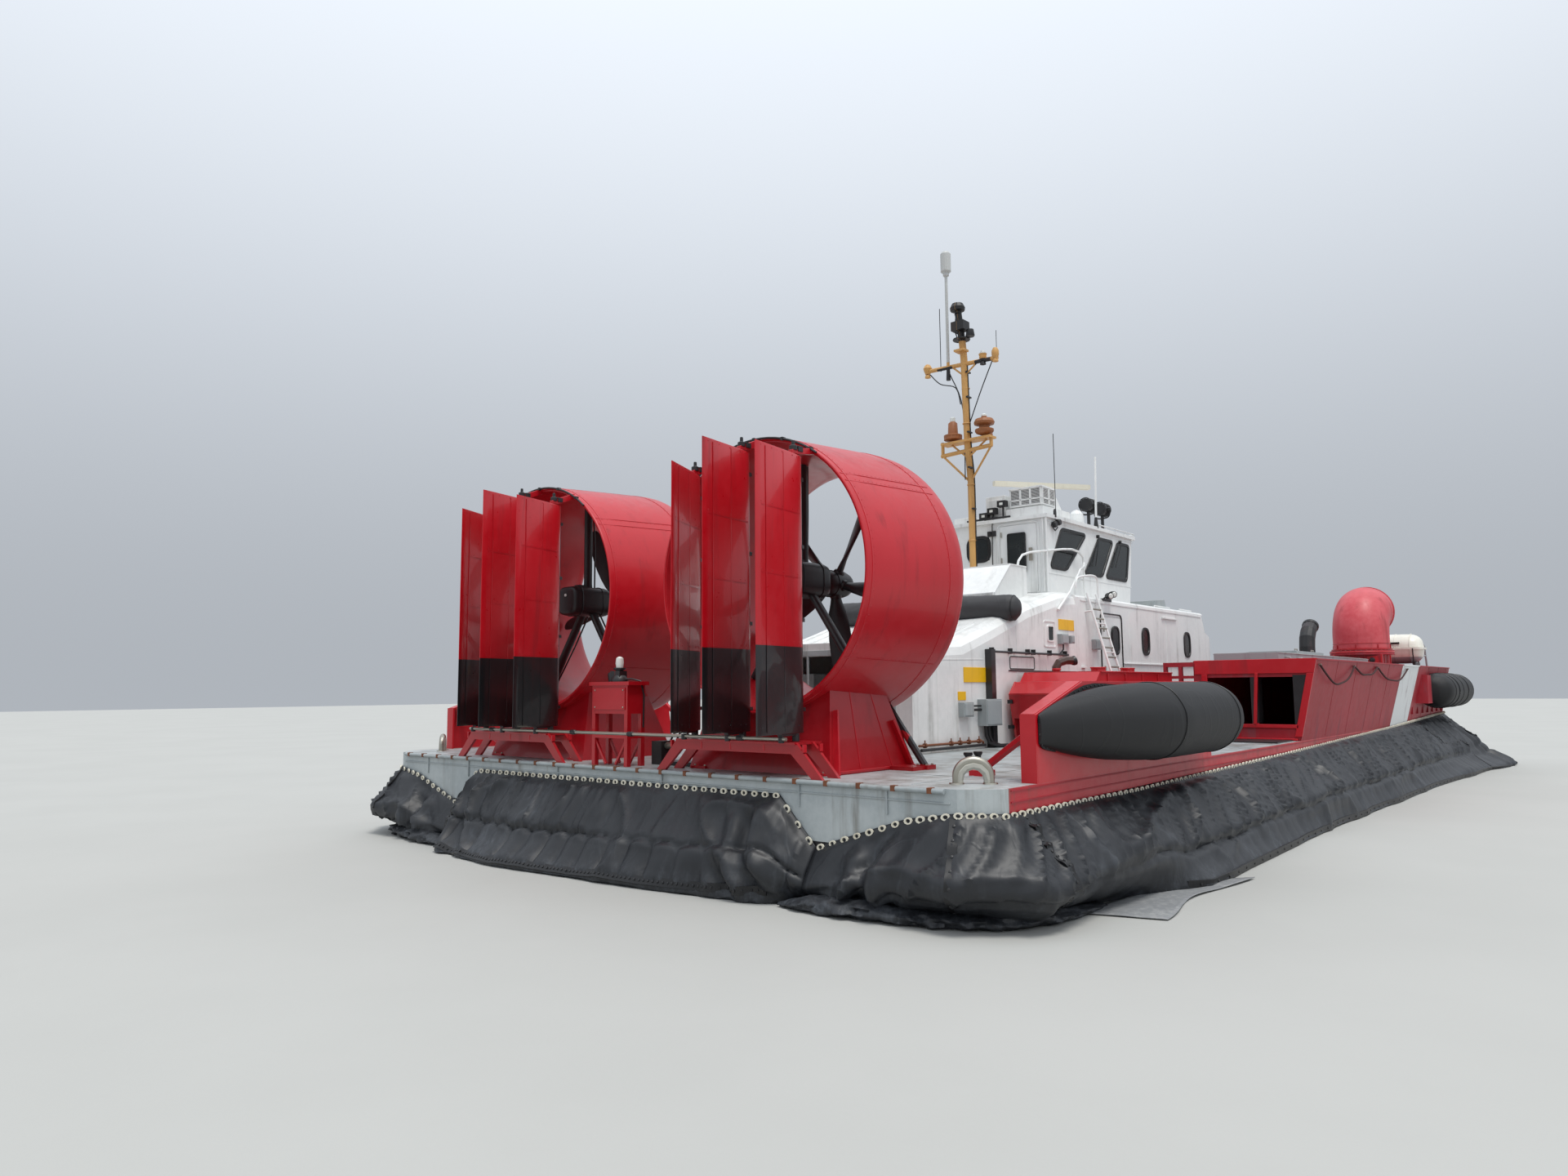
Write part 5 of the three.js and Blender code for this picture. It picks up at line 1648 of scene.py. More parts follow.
@dataclass
class BowFender(Fender):
    """The fender at the bow's corner, which leans on the side body."""

    stem: str = "bow_fender"
    stations: Sequence[Sequence[float]] = (
        (20.9, -5.62, 0.05, 0.05, 2.0), (20.93, -5.64, 0.2, 0.2, 2.0), (21.0, -5.66, 0.3, 0.3, 2.0),
        (21.12, -5.68, 0.375, 0.375, 2.0), (21.4, -5.68, 0.42, 0.42, 2.0), (22.0, -5.68, 0.428, 0.428, 2.0),
        (23.0, -5.68, 0.43, 0.43, 2.0), (24.0, -5.68, 0.428, 0.428, 2.0), (24.4, -5.68, 0.42, 0.42, 2.0),
        (24.62, -5.68, 0.38, 0.38, 2.0), (24.78, -5.68, 0.3, 0.3, 2.0), (24.86, -5.68, 0.2, 0.2, 2.0),
        (24.9, -5.68, 0.05, 0.05, 2.0),
    )
    seams: Sequence[float] = (21.4, 22.6, 24.4)

    def limit(self, height: float) -> float:
        """How far inboard the fender reaches at a height: the leaning side."""
        return side_face(max(height, DECK)) - 0.005

    def flange(self, side: Side) -> None:
        """The pale straps round it.

        Args:
            side: the side of the craft.
        """
        straps = Form(Finish.SEAL)
        for station in (21.9, 23.4):
            path = self.ring(station, -5.68, 0.434, 0.434, 2.0)
            for shift in (-0.03, -0.015, 0.0, 0.015, 0.03):
                straps.tube([p + Vector((shift, 0, 0)) for p in path], 0.009, 5, around=True)
        straps.on(side, self.stem + "_straps", sharp_deg=60)


# Propulsion

@dataclass
class Duct:
    """A propeller duct: its skin, rim, seams, rivets and the brackets that hold the rudders' heads."""

    centre_across: float = DUCT_ACROSS
    centre_height: float = DUCT_HEIGHT
    segments: int = 144
    profile: Sequence[Sequence[float]] = (
        (1.558, 0.454), (1.588, 0.454), (1.606, 0.62), (1.64, 1.2), (1.668, 1.66), (1.69, 2.08),
        (1.687, 2.16), (1.675, 2.22), (1.652, 2.268), (1.62, 2.3), (1.59, 2.322), (1.56, 2.33),
        (1.527, 2.322), (1.5, 2.3), (1.466, 2.256), (1.44, 2.2), (1.42, 2.1), (1.412, 2.0), (1.408, 1.75),
        (1.42, 1.48), (1.45, 1.2), (1.497, 0.83), (1.545, 0.454),
    )
    ring_seams: Sequence[float] = (0.53, 1.93)
    seam_degrees: Sequence[float] = (-128, -54, -50, 8, 50, 54, 128)
    # Columns: offset from the duct's axis, top of the rudder below
    heads: Sequence[Sequence[float]] = ((-0.825, 4.7), (-0.05, 4.87), (0.71, 4.7))

    def outer_radius(self, station: float) -> float:
        """The outer skin's radius at a station.

        Args:
            station: the station.

        Returns:
            The radius.
        """
        for (r0, x0), (r1, x1) in zip(self.profile[1:6], self.profile[2:7]):
            if x0 <= station <= x1:
                return r0 + (r1 - r0) * (station - x0) / (x1 - x0)
        return self.profile[1][0]

    def build(self, side: Side) -> None:
        """Builds one duct and all that is fixed to it.

        Args:
            side: the side of the craft.
        """
        centre = Vector((0, self.centre_across, self.centre_height))
        skin = Form(Finish.RED).turned(self.profile, centre, FORWARD, self.segments, closed=True)
        skin.on(side, "duct_skin", replaces=[f"duct_{side.label}"])
        trim = Form(Finish.RED)
        for station in self.ring_seams:
            radius = self.outer_radius(station)
            trim.turned(
                [(radius - 0.004, station - 0.012), (radius + 0.004, station - 0.01), (radius + 0.004, station + 0.01),
                 (radius - 0.004, station + 0.012)], centre, FORWARD, self.segments, closed=True)
        trim.hoop(centre + Vector((0.452, 0, 0)), Axis.X, 1.573, 0.016, 144, 8)
        for degrees in self.seam_degrees:
            turn = math.radians(degrees)
            out = Vector((0, math.sin(turn), math.cos(turn)))
            path = [centre + out * (self.outer_radius(x) + 0.001) + Vector((x, 0, 0))
                    for x in (0.47, 0.8, 1.2, 1.66, 2.07)]
            for a, b in zip(path, path[1:]):
                trim.beam(a, b, 0.014, 0.008, up=out)
        trim.on(side, "duct_trim")
        self._brackets(side)
        self._rim_pipes(side)
        rivets = []
        for station in (0.56, 1.9, 1.96):
            rivets += anchors_round(centre + Vector((station, 0, 0)), Axis.X, self.outer_radius(station), 110)
        for degrees in self.seam_degrees:
            turn = math.radians(degrees + 0.8)
            out = Vector((0, math.sin(turn), math.cos(turn)))
            rivets += [Anchor(centre + out * self.outer_radius(x) + Vector((x, 0, 0)), out, Vector(FORWARD))
                       for x in (0.65 + 0.075 * i for i in range(17))]
        Repeats(dome_head(0.007, 0.004, Finish.RED)).on(side, "duct_rivets", rivets)

    def _brackets(self, side: Side) -> None:
        """The plates from the rim to the rudders' heads, with their clamps.

        Args:
            side: the side of the craft.
        """
        plates = Form(Finish.RED)
        rim = self.outer_radius(0.5) - 0.015
        for offset, top in self.heads:
            rim_height = self.centre_height + math.sqrt(rim * rim - offset * offset)
            outline = [
                (0.48, rim_height + 0.008), (0.445, rim_height + 0.008), (0.1, top + 0.048), (0.1, top + 0.008),
                (0.2, top + 0.008), (0.48, rim_height - 0.06)]
            plates.prism(Axis.Y, outline, offset + self.centre_across - 0.03, offset + self.centre_across + 0.03)
        plates.on(side, "rudder_head_brackets", bevel=0.004)
        clamps = Form(Finish.BLACK)
        for offset, top in self.heads:
            across = offset + self.centre_across
            clamps.turned([(0.0, 0), (0.045, 0), (0.045, 0.05), (0.02, 0.06), (0.018, 0.11), (0, 0.115)],
                          (0.15, across, top + 0.046), UP, 16)
            clamps.box((0.19, across - 0.042, top + 0.04), (0.27, across + 0.042, top + 0.1))
        clamps.on(side, "rudder_head_clamps", bevel=0.004)

    def _rim_pipes(self, side: Side) -> None:
        """The pipe that follows the rim's top, aft, from bracket to bracket.

        Args:
            side: the side of the craft.
        """
        pipes = Form(Finish.BLACK)
        centre = Vector((0.415, self.centre_across, self.centre_height))
        path = [centre + Vector((0, math.sin(math.radians(d)),
                                 math.cos(math.radians(d)))) * 1.585 for d in range(-36, 41, 4)]
        pipes.tube(path, 0.014, 8)
        for spot in path[1::4]:
            pipes.beam(spot + Vector((-0.018, 0, 0)), spot + Vector((0.04, 0, 0)), 0.035, 0.035)
        pipes.on(side, "rim_pipe")


def dome_head(radius: float, height: float, finish: Finish) -> Form:
    """A low round rivet head, standing on Z."""
    return Form(finish).turned([(radius, 0), (radius * 0.8, height * 0.7), (0, height)], (0, 0, 0), segments=6)


@dataclass
class Propeller:
    """A five-bladed propeller, with its spinner and blade roots."""

    hub: Point = (1.9, DUCT_ACROSS, DUCT_HEIGHT)
    blades: int = 5
    zero_deg: float = -43
    # Columns: radius, chord, blade angle from the disc in degrees, half thickness
    stations: Sequence[Sequence[float]] = (
        (0.15, 0.13, 62, 0.045), (0.24, 0.16, 54, 0.04), (0.35, 0.215, 48, 0.028), (0.5, 0.258, 42, 0.022),
        (0.7, 0.288, 36, 0.018), (0.9, 0.285, 31, 0.015), (1.05, 0.27, 28, 0.013), (1.2, 0.235, 25.5, 0.011),
        (1.3, 0.19, 24, 0.009), (1.35, 0.14, 22.6, 0.007), (1.37, 0.08, 22.1, 0.005), (1.374, 0.03, 22, 0.003),
    )
    section: Sequence[Sequence[float]] = (
        (-0.5, 0), (-0.42, -0.55), (-0.25, -0.95), (0.0, -1), (0.25, -0.8), (0.42, -0.4), (0.5, 0), (0.42, 0.4),
        (0.25, 0.8), (0.0, 1), (-0.25, 0.95), (-0.42, 0.55),
    )

    def build(self, side: Side) -> None:
        """Builds one propeller, on its own body.

        Args:
            side: the side of the craft.
        """
        hub = Vector((self.hub[0], self.hub[1] * -side.value, self.hub[2]))
        form = Form(Finish.BLACK)
        for blade in range(self.blades):
            turn = Matrix.Rotation(math.radians(self.zero_deg + 72 * blade), 3, "X")
            flip = side.value * -1
            rings = []
            for radius, chord, degrees, half in self.stations:
                angle = math.radians(degrees)
                ring = []
                for u, v in self.section:
                    along, out = u * chord, v * half
                    spot = Vector((
                        along * math.sin(angle) + out * math.cos(angle),
                        along * math.cos(angle) - out * math.sin(angle),
                        radius))
                    spot = turn @ spot
                    ring.append(hub + Vector((spot.x, spot.y * flip, spot.z)))
                rings.append(ring)
            form.loft(rings)
            root = turn @ Vector(UP)
            root = Vector((root.x, root.y * flip, root.z))
            form.turned([(0.075, 0.1), (0.075, 0.165), (0.06, 0.19), (0.0, 0.19)], hub, root, 20)
        form.turned(
            [(0, -0.24), (0.12, -0.24), (0.135, -0.225), (0.165, -0.1), (0.172, 0.05), (0.17, 0.13), (0.15, 0.2),
             (0.11, 0.26), (0.05, 0.295), (0, 0.3)], hub, FORWARD, 40)
        form.hoop(hub + Vector((-0.1, 0, 0)), Axis.X, 0.166, 0.006, 40, 6)
        form.piece(f"propeller_blades_{side.label}", body=f"propeller_{side.label}",
                   replaces=[f"propeller_{side.label}"], sharp_deg=45)


@dataclass
class Gearbox:
    """The belt housing that carries the propeller, on three struts inside its duct."""

    axis_across: float = DUCT_ACROSS
    axis_height: float = DUCT_HEIGHT
    tilts: Sequence[float] = (35, -35, 180)
    # Columns: station, half width, half height
    body: Sequence[Sequence[float]] = (
        (0.9, 0.15, 0.15), (0.905, 0.185, 0.18), (0.93, 0.21, 0.205), (0.98, 0.218, 0.214), (1.3, 0.22, 0.216),
        (1.5, 0.22, 0.216), (1.56, 0.21, 0.2), (1.6, 0.17, 0.17), (1.64, 0.14, 0.14),
    )

    def ring(self, station: float, wide: float, tall: float) -> list[Vector]:
        """A rounded square section.

        Args:
            station: its station.
            wide: its size across.
            tall: its height.

        Returns:
            The section's points.
        """
        found = []
        for i in range(40):
            turn = math.tau * i / 40
            c, s = math.cos(turn), math.sin(turn)
            found.append(Vector((
                station, self.axis_across + wide * math.copysign(abs(c) ** 0.55, c),
                self.axis_height + tall * math.copysign(abs(s) ** 0.55, s))))
        return found

    def build(self, side: Side) -> None:
        """Builds one housing with its struts and fittings.

        Args:
            side: the side of the craft.
        """
        form = Form(Finish.BLACK).loft([self.ring(*row) for row in self.body])
        for seam in (1.05, 1.42):
            form.tube(self.ring(seam, 0.222, 0.218), 0.007, 6, around=True)
        axis = Vector((1.3, self.axis_across, self.axis_height))
        for tilt in self.tilts:
            turn = math.radians(tilt)
            way = Vector((0, math.sin(turn), -math.cos(turn)))
            start, end = axis + way * 0.15, axis + way * 1.425
            across = way.cross(Vector(FORWARD))
            rings = []
            for spot, chord in ((start, 0.085), (start.lerp(end, 0.1), 0.068), (end, 0.068)):
                rings.append([
                    spot + Vector((math.cos(a) * chord, 0, 0)) + across * math.sin(a) * 0.045
                    for a in (math.tau * k / 16 for k in range(16))])
            form.loft(rings)
            form.tube([start + Vector((0.1, 0.03, 0)), start.lerp(end, 0.5) + Vector((0.11, 0.02, 0)),
                       end + Vector((0.09, 0, 0))],
                      0.012, 8)
        form.box((1.1, self.axis_across - 0.06, self.axis_height + 0.2),
                 (1.24, self.axis_across + 0.06, self.axis_height + 0.245))
        form.on(side, "belt_housing", replaces=[f"propeller_gearbox_{side.label}"], sharp_deg=45)
        lamp = Form(Finish.LENS).turned(
            [(0, 0), (0.022, 0), (0.02, 0.012), (0, 0.018)], (0.9, self.axis_across, self.axis_height + 0.08), AFT, 14)
        lamp.on(side, "housing_lamp")


@dataclass(frozen=True)
class RudderPlace:
    """A rudder's name, its pivot across, its top and its parked angle."""

    place: str
    pivot: float
    top: float
    parked_deg: float


@dataclass
class Rudders:
    """The six rudders: smooth vanes with ribs, end caps, stocks and levers, and the rod that joins them."""

    pivot_station: float = 0.15
    foot: float = 1.69
    places: Sequence[RudderPlace] = (
        RudderPlace("starboard_outer", -2.925, 4.7, 11), RudderPlace("starboard_middle", -2.15, 4.87, 11.5),
        RudderPlace("starboard_inner", -1.39, 4.7, 27), RudderPlace("port_inner", 1.39, 4.7, 18),
        RudderPlace("port_middle", 2.15, 4.87, 17), RudderPlace("port_outer", 2.925, 4.7, 29),
    )
    half_section: Sequence[Sequence[float]] = (
        (0.15, 0.0), (0.146, 0.012), (0.13, 0.024), (0.1, 0.035), (0.06, 0.042), (0.0, 0.045), (-0.1, 0.044),
        (-0.3, 0.035), (-0.5, 0.024), (-0.7, 0.0125), (-0.795, 0.0065), (-0.8, 0.003),
    )
    ribs: Sequence[float] = (2.62, 3.35, 4.05)

    def build(self) -> None:
        """Builds every rudder on its own body."""
        for rudder in self.places:
            self._vane(rudder)

    def _vane(self, rudder: RudderPlace) -> None:
        """One rudder.

        Args:
            rudder: where it stands and how it is parked.
        """
        turn = Matrix.Rotation(math.radians(rudder.parked_deg), 3, "Z")
        pivot = Vector((self.pivot_station, rudder.pivot, 0))

        def spot(chord: float, out: float, height: float) -> Vector:
            """A point in the rudder's own frame."""
            return pivot + turn @ Vector((chord, out, 0)) + Vector((0, 0, height))

        outline = [*self.half_section, *((c, -o) for c, o in reversed(self.half_section[1:]))]
        levels = [
            (self.foot, 0.85), (self.foot + 0.012, 1.0), (self.foot + 1.2, 1.0), (rudder.top - 0.012, 1.0),
            (rudder.top, 0.85)]
        form = Form(Finish.RUDDER)
        form.loft([[spot(c, o * share, z) for c, o in outline] for z, share in levels])
        for rib in self.ribs:
            for face in (1, -1):
                path = [(c, o * face) for c, o in self.half_section[4:-2]]
                for (c0, o0), (c1, o1) in zip(path, path[1:]):
                    form.beam(spot(c0, o0, rib), spot(c1, o1, rib), 0.004, 0.016)
        for chord in (-0.28, -0.62):
            for face in (1, -1):
                out = 0.036 - 0.042 * (-chord - 0.28)
                form.beam(spot(chord, out * face, self.foot + 0.03), spot(chord, out * face, rudder.top - 0.03),
                          0.012, 0.004, up=turn @ Vector(TO_PORT))
        # A pale steel strip down the trailing edge, over the red part: painted highlight along the edge.
        form.in_finish(Finish.STEEL)
        form.beam(spot(-0.797, 0, self.foot + 0.9), spot(-0.797, 0, rudder.top - 0.01), 0.008, 0.012)
        form.in_finish(Finish.BLACK)
        form.turned([(0, 1.606), (0.04, 1.606), (0.04, 1.72), (0, 1.72)], (*spot(0, 0, 0).xy, 0), UP, 20)
        form.loft([
            [spot(c, o * 0.025, z) for c, o in ((0.03, -1), (0.03, 1), (-0.34, 1), (-0.34, -1))] for z in (1.668, 1.7)])
        form.tube([spot(0.17, 0.012, self.foot + 0.1), spot(0.17, 0.012, rudder.top - 0.1)], 0.011, 8)
        for height in (self.foot + 0.25, 2.9, 3.7, rudder.top - 0.25):
            form.loft([[spot(c, o, z) for c, o in ((0.12, -0.03), (0.19, -0.02), (0.19, 0.03), (0.12, 0.04))]
                       for z in (height - 0.02, height + 0.02)])
        form.piece(f"vane_{rudder.place}", body=f"rudder_{rudder.place}", replaces=[f"rudder_{rudder.place}"],
                   sharp_deg=45)
        bolts = []
        for rib in (self.foot + 0.05, *self.ribs, rudder.top - 0.06):
            for face in (1, -1):
                for chord, out in ((0.0, 0.045), (-0.1, 0.044), (-0.3, 0.035), (-0.5, 0.024), (-0.7, 0.0125)):
                    bolts.append(Anchor(spot(chord, out * face, rib + 0.03), turn @ Vector((0, face, 0)), Vector(UP)))
        Repeats(dome_head(0.008, 0.005, Finish.RUDDER)).piece(
            f"vane_rivets_{rudder.place}", bolts, body=f"rudder_{rudder.place}")

    def rod(self) -> None:
        """The rod's joints, on the rod."""
        clevis = Form(Finish.BLACK)
        for rudder in self.places:
            across = rudder.pivot - 0.3 * math.sin(math.radians(rudder.parked_deg))
            clevis.turned([(0, 1.6), (0.032, 1.6), (0.032, 1.664), (0, 1.664)], (-0.15, across, 0), UP, 16)
        for across in (-2.4, -0.6, 0.5, 2.3):
            clevis.turned([(0.021, -0.05), (0.03, -0.04), (0.03, 0.04), (0.021, 0.05)],
                          (-0.15, across, 1.64), TO_PORT, 16)
        clevis.piece("tie_rod_joints", body="tie_rod", bevel=0.003)


@dataclass
class SternGear:
    """What stands between and under the ducts: gussets, feet, hoses, the stand's plate and its lamp."""

    def build(self) -> None:
        """Builds both sides and the middle."""
        for side in Side:
            self._pedestal(side)
        self._stand()

    def _pedestal(self, side: Side) -> None:
        """The pedestal's gussets and seams, and the strut's foot.

        Args:
            side: the side of the craft.
        """
        form = Form(Finish.RED)
        face = [(0.42, -3.17, 1.235), (2.03, -3.17, 1.235), (1.575, -2.962, 2.34), (0.705, -2.962, 2.34)]
        aft_low, fore_low, fore_top, aft_top = (Vector(p) for p in face)
        out = Vector((0, -1, -0.19)).normalized()
        for low, top, share, reach in ((aft_low, aft_top, 0.06, 0.62), (fore_low, fore_top, 0.1, 0.5)):
            inner = 1 if low is aft_low else -1
            start = low + Vector((share * inner * 1.2, 0, 0))
            end = start.lerp(top + Vector((share * inner, 0, 0)), reach)
            form.beam(start + out * 0.03, end + out * 0.012, 0.03, 0.09, up=out)
        for share in (0.34, 0.72):
            form.beam(aft_low.lerp(fore_low, share) + out * 0.002, aft_top.lerp(fore_top, share) + out * 0.002,
                      0.012, 0.008, up=out)
        for level in (0.02, 0.97):
            a, b = aft_low.lerp(aft_top, level), fore_low.lerp(fore_top, level)
            form.beam(a + out * 0.006, b + out * 0.006, 0.03, 0.02, up=out)
        for across in (-3.0, -1.2):
            form.box((0.38, across - 0.12, DECK), (0.52, across + 0.12, DECK + 0.03))
            form.box((1.94, across - 0.12, DECK), (2.1, across + 0.12, DECK + 0.03))
        for x0 in (0.0, 0.27):
            for offset in (-1.05, -0.5, 0.0, 0.45, 0.95):
                form.box((x0 - 0.004, DUCT_ACROSS + offset - 0.012, 1.5),
                         (x0 + 0.046, DUCT_ACROSS + offset + 0.012, 1.58))
        form.on(side, "pedestal_gussets", bevel=0.003)
        bolts = []
        for across in (-3.0, -1.2):
            for x in (0.42, 0.48, 1.98, 2.06):
                for shift in (-0.08, 0.08):
                    bolts.append(level_anchor(Vector((x, across + shift, DECK + 0.03))))
        for x in (1.77, 1.89):
            for across in (-3.5, -3.38):
                bolts.append(level_anchor(Vector((x, across, DECK + 0.05))))
        Repeats(bolt(0.016, 0.016)).on(side, "pedestal_bolts", bolts)

    def _stand(self) -> None:
        """The stand's bare plate, braces and lamp, and the ram beside it."""
        form = Form(Finish.STAND)
        form.box((0.008, -0.3, 1.92), (0.02, 0.3, 2.19))
        for across in (-0.31, 0.31):
            for x in (0.05, 0.27):
                form.beam((x, across * 0.95, DECK + 0.32), (x, across * 0.3, DECK + 0.02), 0.03, 0.03)
        form.in_finish(Finish.STEEL)
        for across in (-0.27, 0.27):
            for height in (1.95, 2.16):
                form.turned([(0, 0), (0.012, 0), (0.01, 0.008), (0, 0.01)], (0.008, across, height), AFT, 10)
        form.piece("stand_plate", bevel=0.003)
        lamp = Form(Finish.BLACK)
        lamp.turned([(0, 2.262), (0.11, 2.262), (0.11, 2.29), (0.08, 2.34), (0.05, 2.36), (0.05, 2.41), (0.075, 2.42),
                     (0.075, 2.44), (0, 2.44)], (0.16, -0.02, 0), UP, 24)
        lamp.turned([(0, 0), (0.05, 0), (0.06, 0.1), (0.045, 0.12), (0, 0.125)], (0.2, 0.17, 2.265), UP, 16)
        lamp.tube([(0.16, -0.1, 2.29), (0.2, -0.2, 2.3), (0.24, -0.33, 2.27), (0.26, -0.37, 2.1), (0.26, -0.36, 1.7)],
                  0.011, 8)
        lamp.in_finish(Finish.LENS)
        lamp.turned([(0.045, 2.44), (0.052, 2.5), (0.046, 2.56), (0.02, 2.58), (0, 2.582)], (0.16, -0.02, 0), UP, 24)
        lamp.piece("stern_lamp", sharp_deg=45)
        ram = Form(Finish.STEEL)
        ram.tube([(0.62, -0.95, 1.5), (0.62, -0.35, 1.46)], 0.045, 16)
        ram.tube([(0.62, -1.25, 1.52), (0.62, -0.9, 1.5)], 0.022, 12)
        ram.in_finish(Finish.BLACK)
        ram.box((0.52, -0.4, DECK), (0.74, -0.22, 1.52))
        ram.box((0.5, -1.1, DECK), (0.76, -0.45, DECK + 0.05))
        for shift in (-0.05, 0.05):
            ram.tube([(0.62 + shift, -0.9, 1.55), (0.66 + shift, -0.75, 1.66), (0.7 + shift, -0.5, 1.62),
                      (0.76 + shift, -0.3, 1.42), (0.8 + shift, -0.2, DECK + 0.02)], 0.014, 8)
        ram.piece("rudder_ram", bevel=0.004)


# Windows, the engine casing, the cabin and the wheelhouse


def rounded(corners: Sequence[Point], radius: float, steps: int = 6) -> list[Vector]:
    """A closed outline with its corners rounded off.

    Args:
        corners: the outline's corners.
        radius: the corners' radius.
        steps: the steps in a corner.

    Returns:
        The outline's points.
    """
    spots = [Vector(corner) for corner in corners]
    found = []
    for i, corner in enumerate(spots):
        before, after = spots[i - 1], spots[(i + 1) % len(spots)]
        start = corner + (before - corner).normalized() * radius
        end = corner + (after - corner).normalized() * radius
        for step in range(steps + 1):
            t = step / steps
            found.append(start * (1 - t) ** 2 + corner * 2 * t * (1 - t) + end * t * t)
    return found


@dataclass(frozen=True)
class Window:
    """A pane of dark glass in a frame that lies over its opening's edge."""

    corners: Sequence[Point]
    facing: Point
    radius: float = 0.1
    outer: float = 0.04
    inner: float = 0.03
    proud: float = 0.018

    def add(self, frame: Form, pane: Optional[Form] = None) -> None:
        """Adds the frame to one form and the glass to another.

        Args:
            frame: The form that takes the frame.
            pane: The form that takes the glass, where there is any.
        """
        face = Vector(self.facing).normalized()
        line = rounded(self.corners, self.radius)
        middle = sum(line, Vector()) / len(line)
        rings, glass = [], []
        for i, spot in enumerate(line):
            away = (line[(i + 1) % len(line)] - line[i - 1]).normalized().cross(face)
            if away.dot(spot - middle) < 0:
                away.negate()
            outside, inside = spot + away * self.outer, spot - away * self.inner
            rings.append([
                outside - face * 0.004, spot + away * self.outer * 0.8 + face * self.proud,
                spot - away * self.inner * 0.7 + face * self.proud, inside - face * 0.004])
            glass.append(spot - away * self.inner * 0.8)
        frame.loft(rings, around=True)
        if pane is not None:
            pane.loft([[p - face * 0.008 for p in glass], [p + face * 0.004 for p in glass]])


def upright(along: float, across: float, low: float, half: float, high: float, axis: Axis = Axis.Y) -> list[Point]:
    """The corners of an upright rectangle on a wall that faces an axis.

    Args:
        along: its middle on the wall's first axis.
        across: where the wall is.
        low: its foot.
        half: half its width.
        high: its top.
        axis: the axis that the wall faces.

    Returns:
        The corners.
    """
    if axis is Axis.Y:
        return [(along - half, across, low), (along + half, across, low), (along + half, across, high),
                (along - half, across, high)]
    return [(along, across - half, low), (along, across + half, low), (along, across + half, high),
            (along, across - half, high)]


